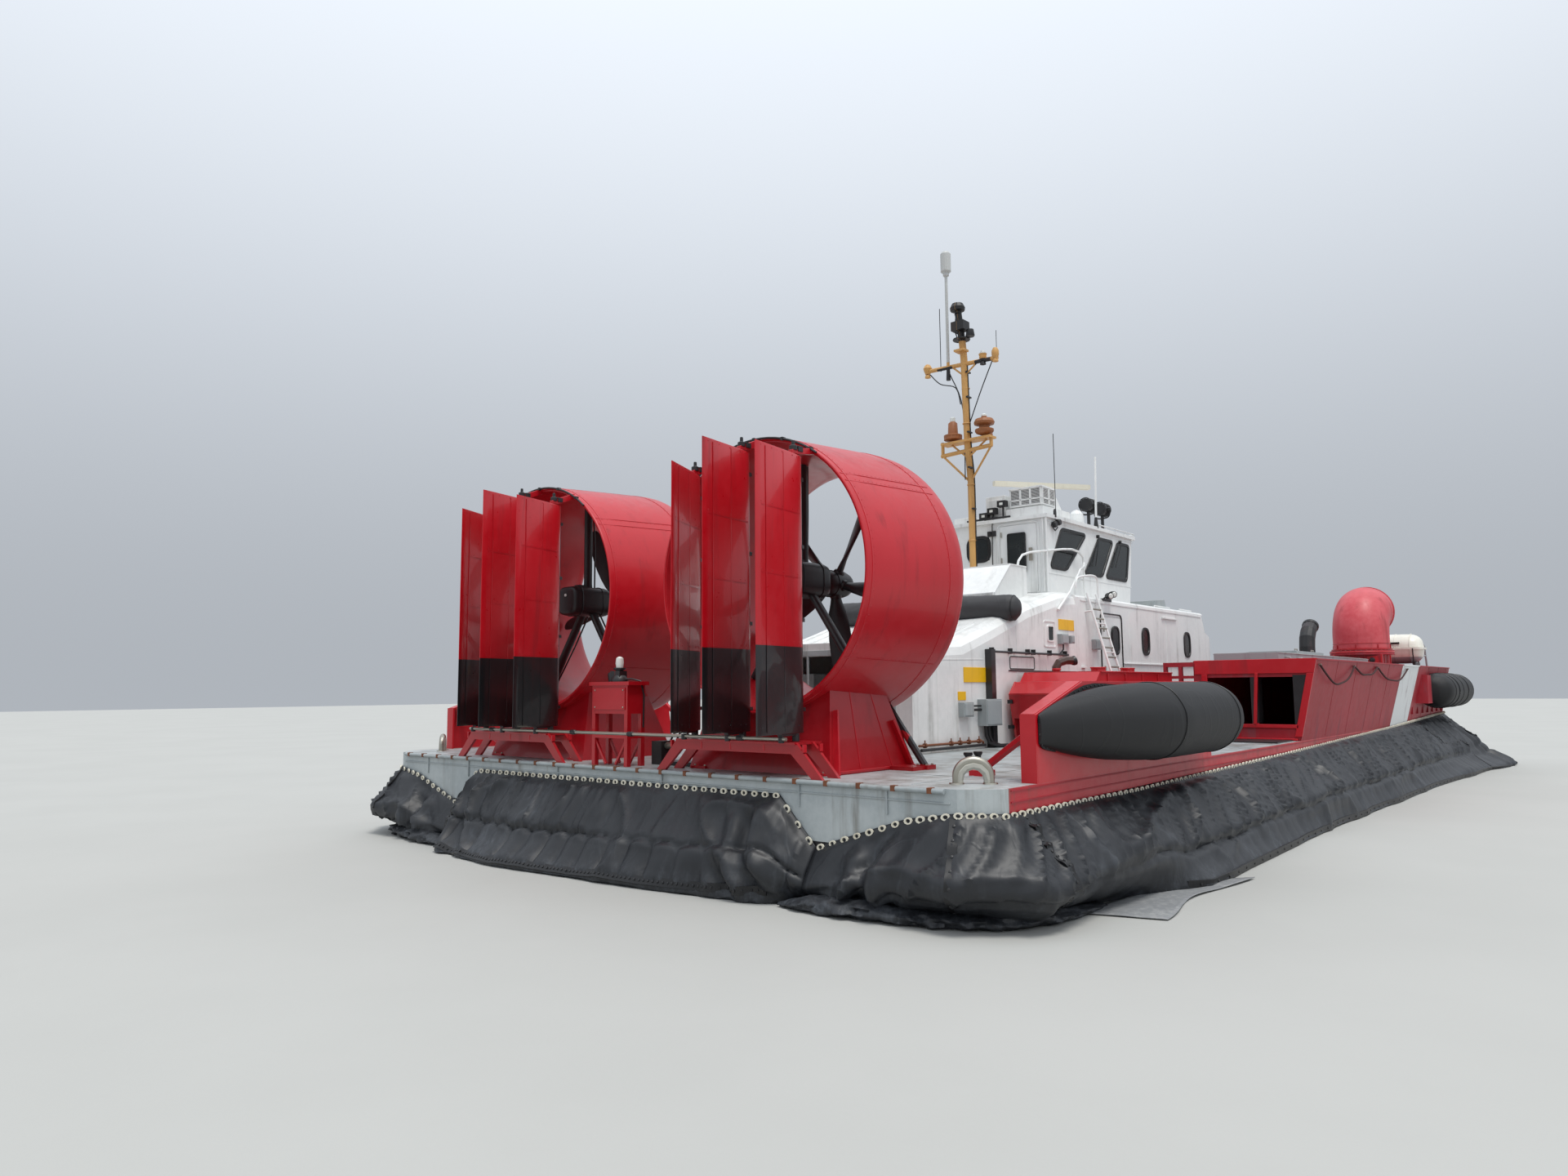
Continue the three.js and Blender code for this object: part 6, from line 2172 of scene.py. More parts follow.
@dataclass
class Casing:
    """What is fixed to the engine casing: plates, boxes, pipes, ribs, the cover's roll and the hood's trim."""

    wall: float = CASING_WALL
    roof: Sequence[Sequence[float]] = (
        (3.9, 2.83), (5.3, 2.9), (6.3, 3.2), (7.45, 3.57), (8.7, 3.86), (9.3, 3.9))
    roll: Sequence[Point] = (
        (6.9, -2.07, 3.455), (6.84, -1.7, 3.465), (6.78, -1.4, 3.47), (6.7, -0.9, 3.48), (6.64, 0, 3.49),
        (6.64, 0.9, 3.49), (6.66, 1.3, 3.5), (6.67, 1.73, 3.5))
    # Columns: low corner and high corner, along and up
    plates: Sequence[Sequence[float]] = ((5.3, 2.24, 6.05, 2.47), (8.57, 3.17, 9.18, 3.36), (5.12, 1.97, 5.34, 2.1))
    boxes: Sequence[Sequence[float]] = (
        (8.51, 2.91, 8.78, 3.09, 0.09), (8.82, 2.93, 8.96, 3.07, 0.12), (9.93, 2.85, 10.2, 3.04, 0.08),
        (5.69, 1.57, 6.17, 1.98, 0.16), (5.13, 1.72, 5.42, 1.94, 0.1))

    def roof_at(self, station: float) -> float:
        """The roof's height at a station.

        Args:
            station: the station.

        Returns:
            The height.
        """
        for (x0, z0), (x1, z1) in zip(self.roof, self.roof[1:]):
            if station <= x1:
                return z0 + (z1 - z0) * (station - x0) / (x1 - x0)
        return self.roof[-1][1]

    def build(self) -> None:
        """Builds both sides and the middle."""
        for side in Side:
            self._walls(side)
        self._middle()
        self._roll()

    def _walls(self, side: Side) -> None:
        """The plates, boxes, pipes and seams on one wall.

        Args:
            side: the side of the craft.
        """
        out = self.wall
        plates = Form(Finish.YELLOW)
        for x0, z0, x1, z1 in self.plates:
            plates.box((x0, out - 0.012, z0), (x1, out + 0.004, z1))
        plates.on(side, "blank_plates", bevel=0.002)
        boxes = Form(Finish.GREY)
        for x0, z0, x1, z1, deep in self.boxes:
            boxes.box((x0, out - deep, z0), (x1, out + 0.01, z1))
            boxes.box((x0 + 0.02, out - deep - 0.01, z0 + 0.02), (x1 - 0.02, out - deep + 0.002, z1 - 0.02))
        boxes.on(side, "wall_boxes", bevel=0.006)
        pipes = Form(Finish.BLACK)
        for shift in (0.0, 0.09):
            pipes.tube(
                [(5.78 + shift, -1.98, 1.6), (5.79 + shift, -1.985, 1.42), (5.85 + shift, -2.0, 1.31),
                 (6.0 + shift, -2.06, 1.262), (6.3 + shift, -2.2, 1.256)], 0.028, 10)
        pipes.tube([(8.64, -1.95, 2.92), (8.63, -1.95, 2.82), (8.55, -1.95, 2.77), (8.5, -1.95, 2.74)], 0.014, 8)
        pipes.tube([(5.4, -1.95, 1.82), (5.7, -1.96, 1.82)], 0.02, 8)
        pipes.tube([(5.4, -1.95, 1.88), (5.7, -1.96, 1.88)], 0.014, 8)
        pipes.tube([(3.95, -2.0, 1.285), (5.72, -2.0, 1.285)], 0.022, 10)
        pipes.in_finish(Finish.RUST)
        pipes.tube([(3.95, -1.965, 1.345), (5.66, -1.965, 1.345), (5.72, -1.965, 1.33), (5.73, -1.965, 1.26)], 0.018,
                   10)
        for x in (4.1, 4.8, 5.05, 5.3, 5.6):
            pipes.turned([(0, -0.02), (0.036, -0.02), (0.036, 0.02), (0, 0.02)], (x, -1.965, 1.345), FORWARD, 12)
            pipes.tube([(x, -1.965, 1.36), (x, -1.965, 1.42)], 0.01, 6)
        pipes.on(side, "casing_pipes", sharp_deg=50)
        seams = Form(Finish.CASING)
        for x in (4.55, 7.0, 8.05):
            seams.beam((x, out - 0.001, 1.25), (x, out - 0.001, self.roof_at(x) - 0.26), 0.012, 0.007, up=OUTBOARD)
        seams.beam((3.95, out - 0.001, 2.56), (5.9, out - 0.001, 2.6), 0.006, 0.014)
        seams.box((6.7, out - 0.01, 2.42), (9.2, out + 0.002, 2.44))
        for x0, z0, x1, z1 in ((6.75, 2.46, 7.6, 2.66), (8.0, 2.86, 8.42, 3.3)):
            Window([(x0, out, z0), (x1, out, z0), (x1, out, z1), (x0, out, z1)], OUTBOARD,
                   0.04, 0.012, 0.012, 0.012).add(seams)
        seams.box((7.24, -1.36, 3.47), (7.27, -1.34, 3.79))
        seams.on(side, "casing_seams", sharp_deg=40)
        panes, frame = Form(Finish.GLASS), Form(Finish.CASING)
        Window(upright(8.24, out, 2.97, 0.1, 3.21), OUTBOARD, 0.02, 0.03, 0.002, 0.02).add(frame, panes)
        frame.on(side, "casing_window_frame")
        panes.on(side, "casing_window")
        clips = Form(Finish.BLACK)
        for x in (6.1, 6.7, 7.3, 7.5, 8.1, 8.7):
            clips.box((x, -1.975, 2.7), (x + 0.03, -1.895, 2.79))
        clips.box((6.0, -2.02, 1.24), (6.12, -1.9, 1.28))
        clips.on(side, "rail_clips", bevel=0.003)

    def _middle(self) -> None:
        """The roof's ribs, the mouth's beam and posts, and the hood's edges."""
        ribs = Form(Finish.CASING)
        for i in range(11):
            across = -1.5 + 0.3 * i
            for a, b in ((3.93, 5.3), (5.3, 6.3)):
                ribs.beam((a, across, self.roof_at(a) + 0.004), (b, across, self.roof_at(b) + 0.004), 0.05, 0.03)
        ribs.box((3.9, -1.66, 2.76), (3.97, 1.66, 2.85))
        ribs.piece("casing_roof_ribs", bevel=0.004)
        header = Form(Finish.GREY)
        header.box((3.885, -1.64, 2.66), (3.9, 1.64, 2.74))
        for across in (-1.62, -0.02, 1.58):
            header.box((3.885, across, 1.3), (3.9, across + 0.04, 2.66))
        header.piece("casing_mouth_frame", bevel=0.003)
        hood = Form(Finish.WHITE)
        for across in (-1.352, 1.352):
            for a, b in (((7.3, 3.78), (7.9, 4.33)), ((7.9, 4.33), (8.5, 4.33))):
                hood.beam((a[0], across, a[1]), (b[0], across, b[1]), 0.02, 0.02)
        for x, z in ((7.3, 3.78), (7.9, 4.33)):
            hood.beam((x, -1.35, z), (x, 1.35, z), 0.024, 0.024)
        hood.piece("hood_edges", bevel=0.004)

    def _roll(self) -> None:
        """The covered roll of cloth that lies across the roof."""
        line = even_steps(smooth_line(self.roll, 6), 90)
        rings = []
        for i, spot in enumerate(line):
            way = (line[min(i + 1, len(line) - 1)] - line[max(i - 1, 0)]).normalized()
            side = Vector(UP).cross(way).normalized()
            rise = way.cross(side)
            near = min((spot - line[0]).length, (spot - line[-1]).length, 0.21) / 0.21
            ends = max(0.03, math.sqrt(1 - (1 - near) ** 2))
            ring = []
            for k in range(48):
                turn = math.tau * k / 48
                fold = noise.noise(Vector((spot.y * 1.6, math.cos(turn) * 2, math.sin(turn) * 2 + 9)))
                crease = 1 - abs(noise.noise(Vector((spot.y * 3.1 + turn, turn * 1.5, 4)))) * 2
                radius = (0.219 + 0.008 * fold + 0.006 * max(crease, 0) ** 3) * ends
                ring.append(spot + side * math.cos(turn) * radius + rise * math.sin(turn) * radius)
            rings.append(ring)
        cover = Form(Finish.COVER).loft(rings).piece("roof_roll_cover", sharp_deg=60)
        edge = Form(Finish.SEAL)
        for index in (3, 30, 60, 86):
            edge.tube(rings[index], 0.012, 6, around=True)
        edge.piece("roof_roll_straps", sharp_deg=60)


@dataclass
class Cabin:
    """What is fixed to the cabin: its windows, door seals, seams, lamps and roof gear."""

    wall: float = CASING_WALL

    def build(self) -> None:
        """Builds both sides and the front."""
        for side in Side:
            self._side(side)
            self._door(side)
        self._front()
        self._roof()

    def _side(self, side: Side) -> None:
        """One wall.

        Args:
            side: the side of the craft.
        """
        frame, pane = Form(Finish.SEAL), Form(Finish.GLASS)
        for station in (12.56, 14.98):
            Window(upright(station, self.wall, 2.815, 0.18, 3.345), OUTBOARD, 0.175, 0.03, 0.03, 0.02).add(frame, pane)
        frame.on(side, "wall_window_rubbers", sharp_deg=50)
        pane.on(side, "wall_windows")
        trim = Form(Finish.WHITE)
        for x in (11.75, 13.75, 15.6):
            trim.beam((x, self.wall - 0.001, 1.3), (x, self.wall - 0.001, 3.7), 0.016, 0.008, up=OUTBOARD)
        trim.box((11.4, self.wall - 0.03, 2.6), (16.3, self.wall + 0.004, 2.625))
        trim.box((13.5, self.wall - 0.035, 3.6), (14.35, self.wall + 0.004, 3.635))
        trim.box((9.5, self.wall - 0.012, 3.74), (15.95, self.wall + 0.004, 3.775))
        for x0, x1 in ((9.45, 9.6), (10.0, 10.2)):
            trim.box((x0, self.wall - 0.05, 2.5), (x1, self.wall + 0.004, 2.53))
        trim.on(side, "cabin_wall_trim", bevel=0.004)
        seal = Form(Finish.BLACK)
        outline = [(10.34, self.wall, 1.44), (11.34, self.wall, 1.44), (11.34, self.wall, 3.56),
                   (10.34, self.wall, 3.56)]
        Window(outline, OUTBOARD, 0.12, 0.012, 0.012, 0.02).add(seal)
        for x, z in ((10.62, 3.84), (10.78, 3.88)):
            seal.turned([(0, 0), (0.05, 0), (0.062, 0.05), (0.062, 0.13), (0, 0.13)], (x, self.wall - 0.04, z + 0.06),
                        (-0.5, -0.8, -0.1), 16)
            seal.tube([(x, self.wall + 0.08, 3.82), (x, self.wall - 0.03, z + 0.05)], 0.016, 8)
        seal.box((10.5, self.wall - 0.01, 3.8), (10.9, self.wall + 0.12, 3.85))
        seal.on(side, "cabin_door_seal", sharp_deg=50)
        lens = Form(Finish.LENS)
        for x, z in ((10.62, 3.84), (10.78, 3.88)):
            way = Vector((-0.5, -0.8, -0.1)).normalized()
            start = Vector((x, self.wall - 0.04, z + 0.06)) + way * 0.128
            lens.turned([(0, 0), (0.054, 0), (0.04, 0.014), (0, 0.018)], start, way, 16)
        lens.on(side, "cabin_lamps")
        ladder = Form(Finish.STEEL)
        for i in range(7):
            z = 2.52 + 0.18 * i
            across = -1.95 - (3.8 - z) * 0.28
            ladder.tube([(9.74, across, z), (10.16, across, z)], 0.019, 10)
        ladder.in_finish(Finish.WHITE)
        for x in (9.7, 9.72):
            ladder.tube([(x, -1.9, 3.55), (x, -2.02, 3.56)], 0.014, 8)
        hoop = [(9.38, -1.88, 3.96), (9.38, -1.88, 4.03), (9.43, -1.88, 4.14), (9.61, -1.88, 4.2), (10.13, -1.88, 4.26),
                (10.33, -1.88, 4.19), (10.34, -1.88, 3.94), (10.34, -1.88, 3.84)]
        ladder.tube(smooth_line(hoop, 4), 0.02, 8)
        ladder.on(side, "ladder", sharp_deg=50)

    def _door(self, side: Side) -> None:
        """The door's window, handle and hinges, on the door.

        Args:
            side: the side of the craft.
        """
        body = f"cabin_door_{side.label}"
        frame, pane = Form(Finish.SEAL), Form(Finish.GLASS)
        Window(upright(10.98, self.wall - 0.03, 2.79, 0.15, 3.31), OUTBOARD, 0.14, 0.025, 0.025, 0.014).add(frame, pane)
        frame.on(side, "door_window_rubber", body=body, sharp_deg=50)
        pane.on(side, "door_window", body=body)
        grip = Form(Finish.STEEL)
        grip.tube([(11.18, self.wall - 0.03, 2.3), (11.18, self.wall - 0.09, 2.32), (11.18, self.wall - 0.09, 2.52),
                   (11.18, self.wall - 0.03, 2.54)], 0.012, 8)
        for z in (1.75, 2.5, 3.25):
            grip.turned([(0, -0.05), (0.016, -0.05), (0.016, 0.05), (0, 0.05)], (10.43, self.wall - 0.034, z), UP, 10)
        grip.on(side, "door_grip", body=body, sharp_deg=50)

    def _front(self) -> None:
        """The three windows in the sloped face over the bow."""
        frame, pane = Form(Finish.SEAL), Form(Finish.GLASS)
        face = Vector((0.39, 0, 0.2)).normalized()
        for across in (-1.15, 0, 1.15):
            corners = [(16.0 + (3.79 - z) * 0.2 / 0.39 + 0.002, across + reach, z)
                       for z, reach in ((3.45, -0.38), (3.45, 0.38), (3.7, 0.38), (3.7, -0.38))]
            Window(corners, tuple(face), 0.06, 0.03, 0.03, 0.016).add(frame, pane)
        frame.piece("front_window_rubbers", sharp_deg=50)
        pane.piece("front_windows")
        rail = Form(Finish.WHITE)
        for z in (3.28, 2.0):
            rail.beam((16.52, -1.8, z), (16.52, 1.8, z), 0.03, 0.04)
        rail.piece("cabin_front_strips", bevel=0.005)

    def _roof(self) -> None:
        """Boxes, hatch and rail on the cabin's roof."""
        form = Form(Finish.GREY)
        form.prism(Axis.Y, [(13.95, 3.848), (13.98, 4.05), (14.55, 4.1), (14.7, 3.848)], -1.6, -0.9)
        form.box((14.9, -0.4, 3.848), (15.6, 0.4, 3.9))
        form.piece("cabin_roof_boxes", bevel=0.015)
        rail = Form(Finish.WHITE)
        for side in Side:
            y = side.value * 1.72
            rail.tube([(15.1, y, 3.85), (15.1, y, 3.9), (15.85, y, 3.9), (15.85, y, 3.84)], 0.016, 8)
            rail.tube([(13.6, y, 3.85), (13.6, y, 3.9), (14.5, y, 3.9), (14.5, y, 3.85)], 0.012, 8)
        for across in (-0.95, 0.0, 0.95):
            rail.beam((13.6, across, 3.853), (16.0, across, 3.853), 0.03, 0.014)
        rail.piece("cabin_roof_rails", sharp_deg=50)


@dataclass
class Wheelhouse:
    """The wheelhouse's windows, wipers, door and roof gear."""

    half: float = 1.35
    aft: float = 9.34
    # Columns: stations of the side windows' corners at the sill and at the head
    panes: Sequence[Sequence[float]] = (
        (9.48, 9.99, 11.05, 10.14), (10.98, 11.70, 12.38, 11.79), (12.0, 12.64, 13.24, 13.05))
    sill: float = 4.42
    head: float = 5.195

    def front_at(self, height: float) -> float:
        """The front wall's station at a height."""
        return 13.4 + (height - 3.85) * 0.15

    def build(self) -> None:
        """Builds the windows, the door and the roof gear."""
        self._windows()
        self._door()
        self._trim()
        self._cooler()
        self._roof_gear()
        self._searchlights()

    def _windows(self) -> None:
        """Every pane, its rubber and the wipers."""
        frame, pane, wiper = Form(Finish.SEAL), Form(Finish.GLASS), Form(Finish.BLACK)
        for side in Side:
            wall, facing = self.half * side.value, (0, side.value, 0)
            for low_aft, high_aft, high_fore, low_fore in self.panes:
                corners = [(low_aft, wall, self.sill), (low_fore, wall, self.sill), (high_fore, wall, self.head),
                           (high_aft, wall, self.head)]
                Window(corners, facing).add(frame, pane)
            out = wall + side.value * 0.03
            frame.beam((self.panes[0][0] + 0.25, out, 4.76), (10.55, out, 4.76), 0.02, 0.03)
            for start, end in (((11.62, 5.14), (11.42, 4.6)), ((12.74, 5.14), (12.42, 4.66))):
                wiper.beam((start[0], out + side.value * 0.012, start[1]), (end[0], out + side.value * 0.012, end[1]),
                           0.016, 0.02)
                wiper.beam((end[0] - 0.16, out, end[1] - 0.02), (end[0] + 0.06, out, end[1] + 0.32), 0.014, 0.02)
                wiper.turned([(0, 0), (0.035, 0), (0.03, 0.05), (0, 0.055)],
                             (start[0], wall, start[1] + 0.09), facing, 12)
        slope = Vector((1, 0, -0.15)).normalized()
        for across in (-0.76, 0, 0.76):
            corners = [(self.front_at(z), across + s * 0.33, z)
                       for z, s in ((4.42, -1), (4.42, 1), (5.195, 1), (5.195, -1))]
            Window(corners, tuple(slope)).add(frame, pane)
            wiper.beam((self.front_at(5.2) + 0.05, across + 0.1, 5.16),
                       (self.front_at(4.7) + 0.05, across - 0.12, 4.7), 0.02, 0.016)
        Window([(self.aft, -0.14, 4.64), (self.aft, 0.33, 4.64), (self.aft, 0.33, 5.1), (self.aft, -0.14, 5.1)],
               AFT, 0.16).add(frame, pane)
        frame.piece("wheelhouse_window_rubbers", sharp_deg=50)
        pane.piece("wheelhouse_windows")
        wiper.piece("wipers", bevel=0.002)

    def _door(self) -> None:
        """The frame round the aft door, and what is on the door."""
        lip = Form(Finish.WHITE)
        outline = [(self.aft, -1.2, 3.92), (self.aft, -0.32, 3.92), (self.aft, -0.32, 5.31), (self.aft, -1.2, 5.31)]
        Window(outline, AFT, 0.14, 0.012, 0.008, 0.02).add(lip)
        lip.piece("wheelhouse_door_lip", sharp_deg=50)
        frame, pane = Form(Finish.SEAL), Form(Finish.GLASS)
        face = self.aft - 0.03
        Window(upright(face, -0.74, 4.35, 0.18, 5.1, Axis.X), AFT, 0.03, 0.016, 0.016, 0.012).add(frame, pane)
        frame.beam((face - 0.004, -1.14, 4.0), (face - 0.004, -1.14, 5.2), 0.02, 0.02)
        frame.piece("wheelhouse_door_rubber", body="wheelhouse_door", sharp_deg=50)
        pane.piece("wheelhouse_door_window", body="wheelhouse_door")
        grip = Form(Finish.STEEL)
        grip.box((face - 0.015, -1.07, 4.55), (face, -1.0, 4.8))
        grip.tube([(face, -1.03, 4.72), (face - 0.06, -1.03, 4.72), (face - 0.06, -0.97, 4.6)], 0.01, 8)
        for z in (4.15, 4.6, 5.1):
            grip.turned([(0, -0.05), (0.014, -0.05), (0.014, 0.05), (0, 0.05)], (face - 0.004, -0.42, z), UP, 10)
        grip.piece("wheelhouse_door_grip", body="wheelhouse_door", sharp_deg=50)

    def _trim(self) -> None:
        """The roof's edge rails, seams and small wall fittings."""
        trim = Form(Finish.WHITE)
        for side in Side:
            wall = side.value * (self.half + 0.002)
            trim.beam((9.4, wall, 4.3), (13.3, wall, 4.3), 0.01, 0.012)
            trim.beam((9.4, wall, 5.29), (13.45, wall, 5.29), 0.016, 0.014)
            for x in (9.44, 10.9, 13.3):
                trim.beam((x, wall, 3.9), (x, wall, 4.3), 0.012, 0.01)
            y = side.value * 1.4
            trim.tube([(11.6, y, 5.4), (11.6, y, 5.47), (13.45, y, 5.47), (13.5, y * 0.97, 5.47)], 0.014, 8)
            for x in (12.0, 12.5, 13.0, 13.4):
                trim.tube([(x, y, 5.4), (x, y, 5.47)], 0.01, 6)
            trim.tube([(9.3, side.value * 1.37, 3.95), (9.3, side.value * 1.37, 5.34)], 0.02, 8)
            trim.tube([(9.3, side.value * 1.3, 3.95), (9.3, side.value * 1.3, 5.34)], 0.012, 8)
        trim.tube([(13.5, -1.36, 5.47), (13.58, -1.1, 5.47), (13.62, 0, 5.47), (13.58, 1.1, 5.47), (13.5, 1.36, 5.47)],
                  0.014, 8)
        trim.piece("wheelhouse_trim", sharp_deg=50)
        dark = Form(Finish.BLACK)
        for x, z in ((9.61, 5.24), (9.78, 5.3)):
            dark.turned([(0, 0), (0.05, 0), (0.065, 0.05), (0.05, 0.09), (0, 0.09)], (x, -1.352, z), OUTBOARD, 16)
        dark.tube([(9.5, -1.38, 5.22), (9.62, -1.4, 5.12), (9.75, -1.39, 5.2)], 0.012, 6)
        dark.tube([(9.31, -0.24, 5.36), (9.31, -0.23, 5.3), (9.31, -0.22, 4.7), (9.31, -0.22, 3.95)], 0.01, 6)
        for y in (-0.3, -0.2):
            dark.box((9.29, y, 5.1), (9.34, y + 0.07, 5.2))
        dark.piece("wheelhouse_fittings", sharp_deg=50)

    def _cooler(self) -> None:
        """The louvred box on the plinth, with painted shade behind its slats."""
        frame = Form(Finish.WHITE)
        # Thin black sheets behind the slats: painted shade for the box's dark inside.
        recess = Form(Finish.BLACK)
        anchors = []
        for low, high in ((-1.17, -0.97), (-0.95, -0.76), (-0.74, -0.54)):
            recess.box((9.517, low, 5.69), (9.5195, high, 5.97))
            for y in (low, high):
                frame.box((9.5, y - 0.01, 5.66), (9.522, y + 0.01, 6.0))
            for i in range(13):
                anchors.append((9.513, (low + high) / 2, 5.7 + i * 0.0215, high - low, Axis.Y))
        for low, high in ((9.55, 9.79), (9.82, 10.05)):
            recess.box((low, -1.1925, 5.69), (high, -1.1905, 5.97))
            for x in (low, high):
                frame.box((x - 0.01, -1.212, 5.66), (x + 0.01, -1.188, 6.0))
            for i in range(13):
                anchors.append(((low + high) / 2, -1.198, 5.7 + i * 0.0215, high - low, Axis.X))
        for z in (5.66, 5.78, 5.99):
            frame.box((9.5, -1.19, z - 0.012), (9.522, -0.52, z + 0.012))
            frame.box((9.52, -1.212, z - 0.012), (10.08, -1.188, z + 0.012))
        frame.box((9.5, -1.21, 6.0), (10.1, -0.5, 6.02))
        frame.piece("cooler_frame", bevel=0.003)
        recess.piece("cooler_recess")
        for axis, name, width in ((Axis.Y, "cooler_slats_aft", 0.19), (Axis.X, "cooler_slats_side", 0.23)):
            slat = Form(Finish.WHITE).box((-width / 2, -0.006, -0.0035), (width / 2, 0.006, 0.0035))
            rows = [Anchor(Vector(a[:3]), Vector(UP), Vector(TO_PORT) if axis is Axis.Y else Vector(FORWARD))
                    for a in anchors if a[4] is axis]
            Repeats(slat).piece(name, rows)

    def _roof_gear(self) -> None:
        """Lamps, boxes, whips and the scanner's foot on the roof."""
        dark = Form(Finish.BLACK)
        for y, z in ((-0.42, 5.72), (-0.2, 5.6), (-0.02, 5.52)):
            dark.box((9.34, y - 0.09, z - 0.05), (9.46, y + 0.09, z + 0.07))
            dark.tube([(9.42, y, 5.42), (9.42, y, z)], 0.018, 8)
        dark.tube([(9.36, -0.6, 5.46), (9.36, 0.35, 5.46)], 0.02, 8)
        dark.tube([(9.63, -1.42, 5.5), (9.63, -1.42, 7.0)], 0.007, 6)
        dark.turned([(0, 5.38), (0.03, 5.38), (0.03, 5.5), (0.014, 5.54), (0, 5.54)], (9.63, -1.4, 0), UP, 10)
        dark.turned([(0, 5.4), (0.05, 5.4), (0.045, 5.46), (0.026, 5.62), (0, 5.62)], (11.56, -1.37, 0), UP, 14)
        dark.piece("roof_lamps", sharp_deg=50)
        lens = Form(Finish.LENS)
        for y, z in ((-0.42, 5.72), (-0.2, 5.6), (-0.02, 5.52)):
            lens.box((9.332, y - 0.035, z - 0.02), (9.342, y + 0.035, z + 0.03))
        lens.piece("roof_lamp_lenses", bevel=0.003)
        pale = Form(Finish.WHITE)
        pale.box((9.5, -0.42, 5.42), (10.0, 0.0, 5.92))
        pale.box((9.48, -0.36, 5.55), (9.5, -0.06, 5.85))
        pale.box((9.44, 0.25, 5.42), (9.9, 0.7, 5.56))
        pale.turned([(0.152, 5.5), (0.165, 5.5), (0.165, 5.53), (0.152, 5.53)], (11.5, -0.98, 0), UP, 32, closed=True)
        pale.turned([(0, 6.38), (0.19, 6.38), (0.2, 6.42), (0.13, 6.432), (0, 6.432)], (11.97, 0, 0), UP, 32)
        for i in range(3):
            turn = math.tau * i / 3
            pale.beam((11.97 + math.cos(turn) * 0.42, math.sin(turn) * 0.42, 5.41),
                      (11.97 + math.cos(turn) * 0.12, math.sin(turn) * 0.12, 6.0), 0.04, 0.04)
        pale.piece("roof_boxes", bevel=0.01)

    def _searchlights(self) -> None:
        """Each searchlight's rims, fins, yoke and lens, on its own body."""
        for name, station in (("aft", 12.05), ("forward", 12.75)):
            body = f"searchlight_{name}"
            trim = Form(Finish.BLACK)
            middle = Vector((station, -1.0, 5.986))
            for shift in (-0.148, 0.13):
                trim.hoop(middle + Vector((shift, 0, 0)), Axis.X, 0.142, 0.012, 28, 8)
            for shift in (0.0, 0.03, 0.06, 0.09):
                trim.hoop(middle + Vector((shift, 0, 0)), Axis.X, 0.144, 0.006, 28, 6)
            trim.tube(smooth_line([middle + Vector((0, 0.17, 0)), middle + Vector((0, 0.165, -0.12)),
                                   middle + Vector((0, 0.1, -0.19)),
                                   middle + Vector((0, -0.1, -0.19)), middle + Vector((0, -0.165, -0.12)),
                                   middle + Vector((0, -0.17, 0))], 4), 0.016, 8)
            for sign in (-1, 1):
                trim.turned([(0, 0.135), (0.035, 0.135), (0.03, 0.19), (0, 0.19)], middle, (0, sign, 0), 12)
            trim.piece(f"searchlight_trim_{name}", body=body, sharp_deg=50)
            lens = Form(Finish.LENS)
            lens.turned([(0, 0.148), (0.125, 0.148), (0.08, 0.165), (0, 0.17)], middle, FORWARD, 28)
            lens.piece(f"searchlight_lens_{name}", body=body, sharp_deg=50)


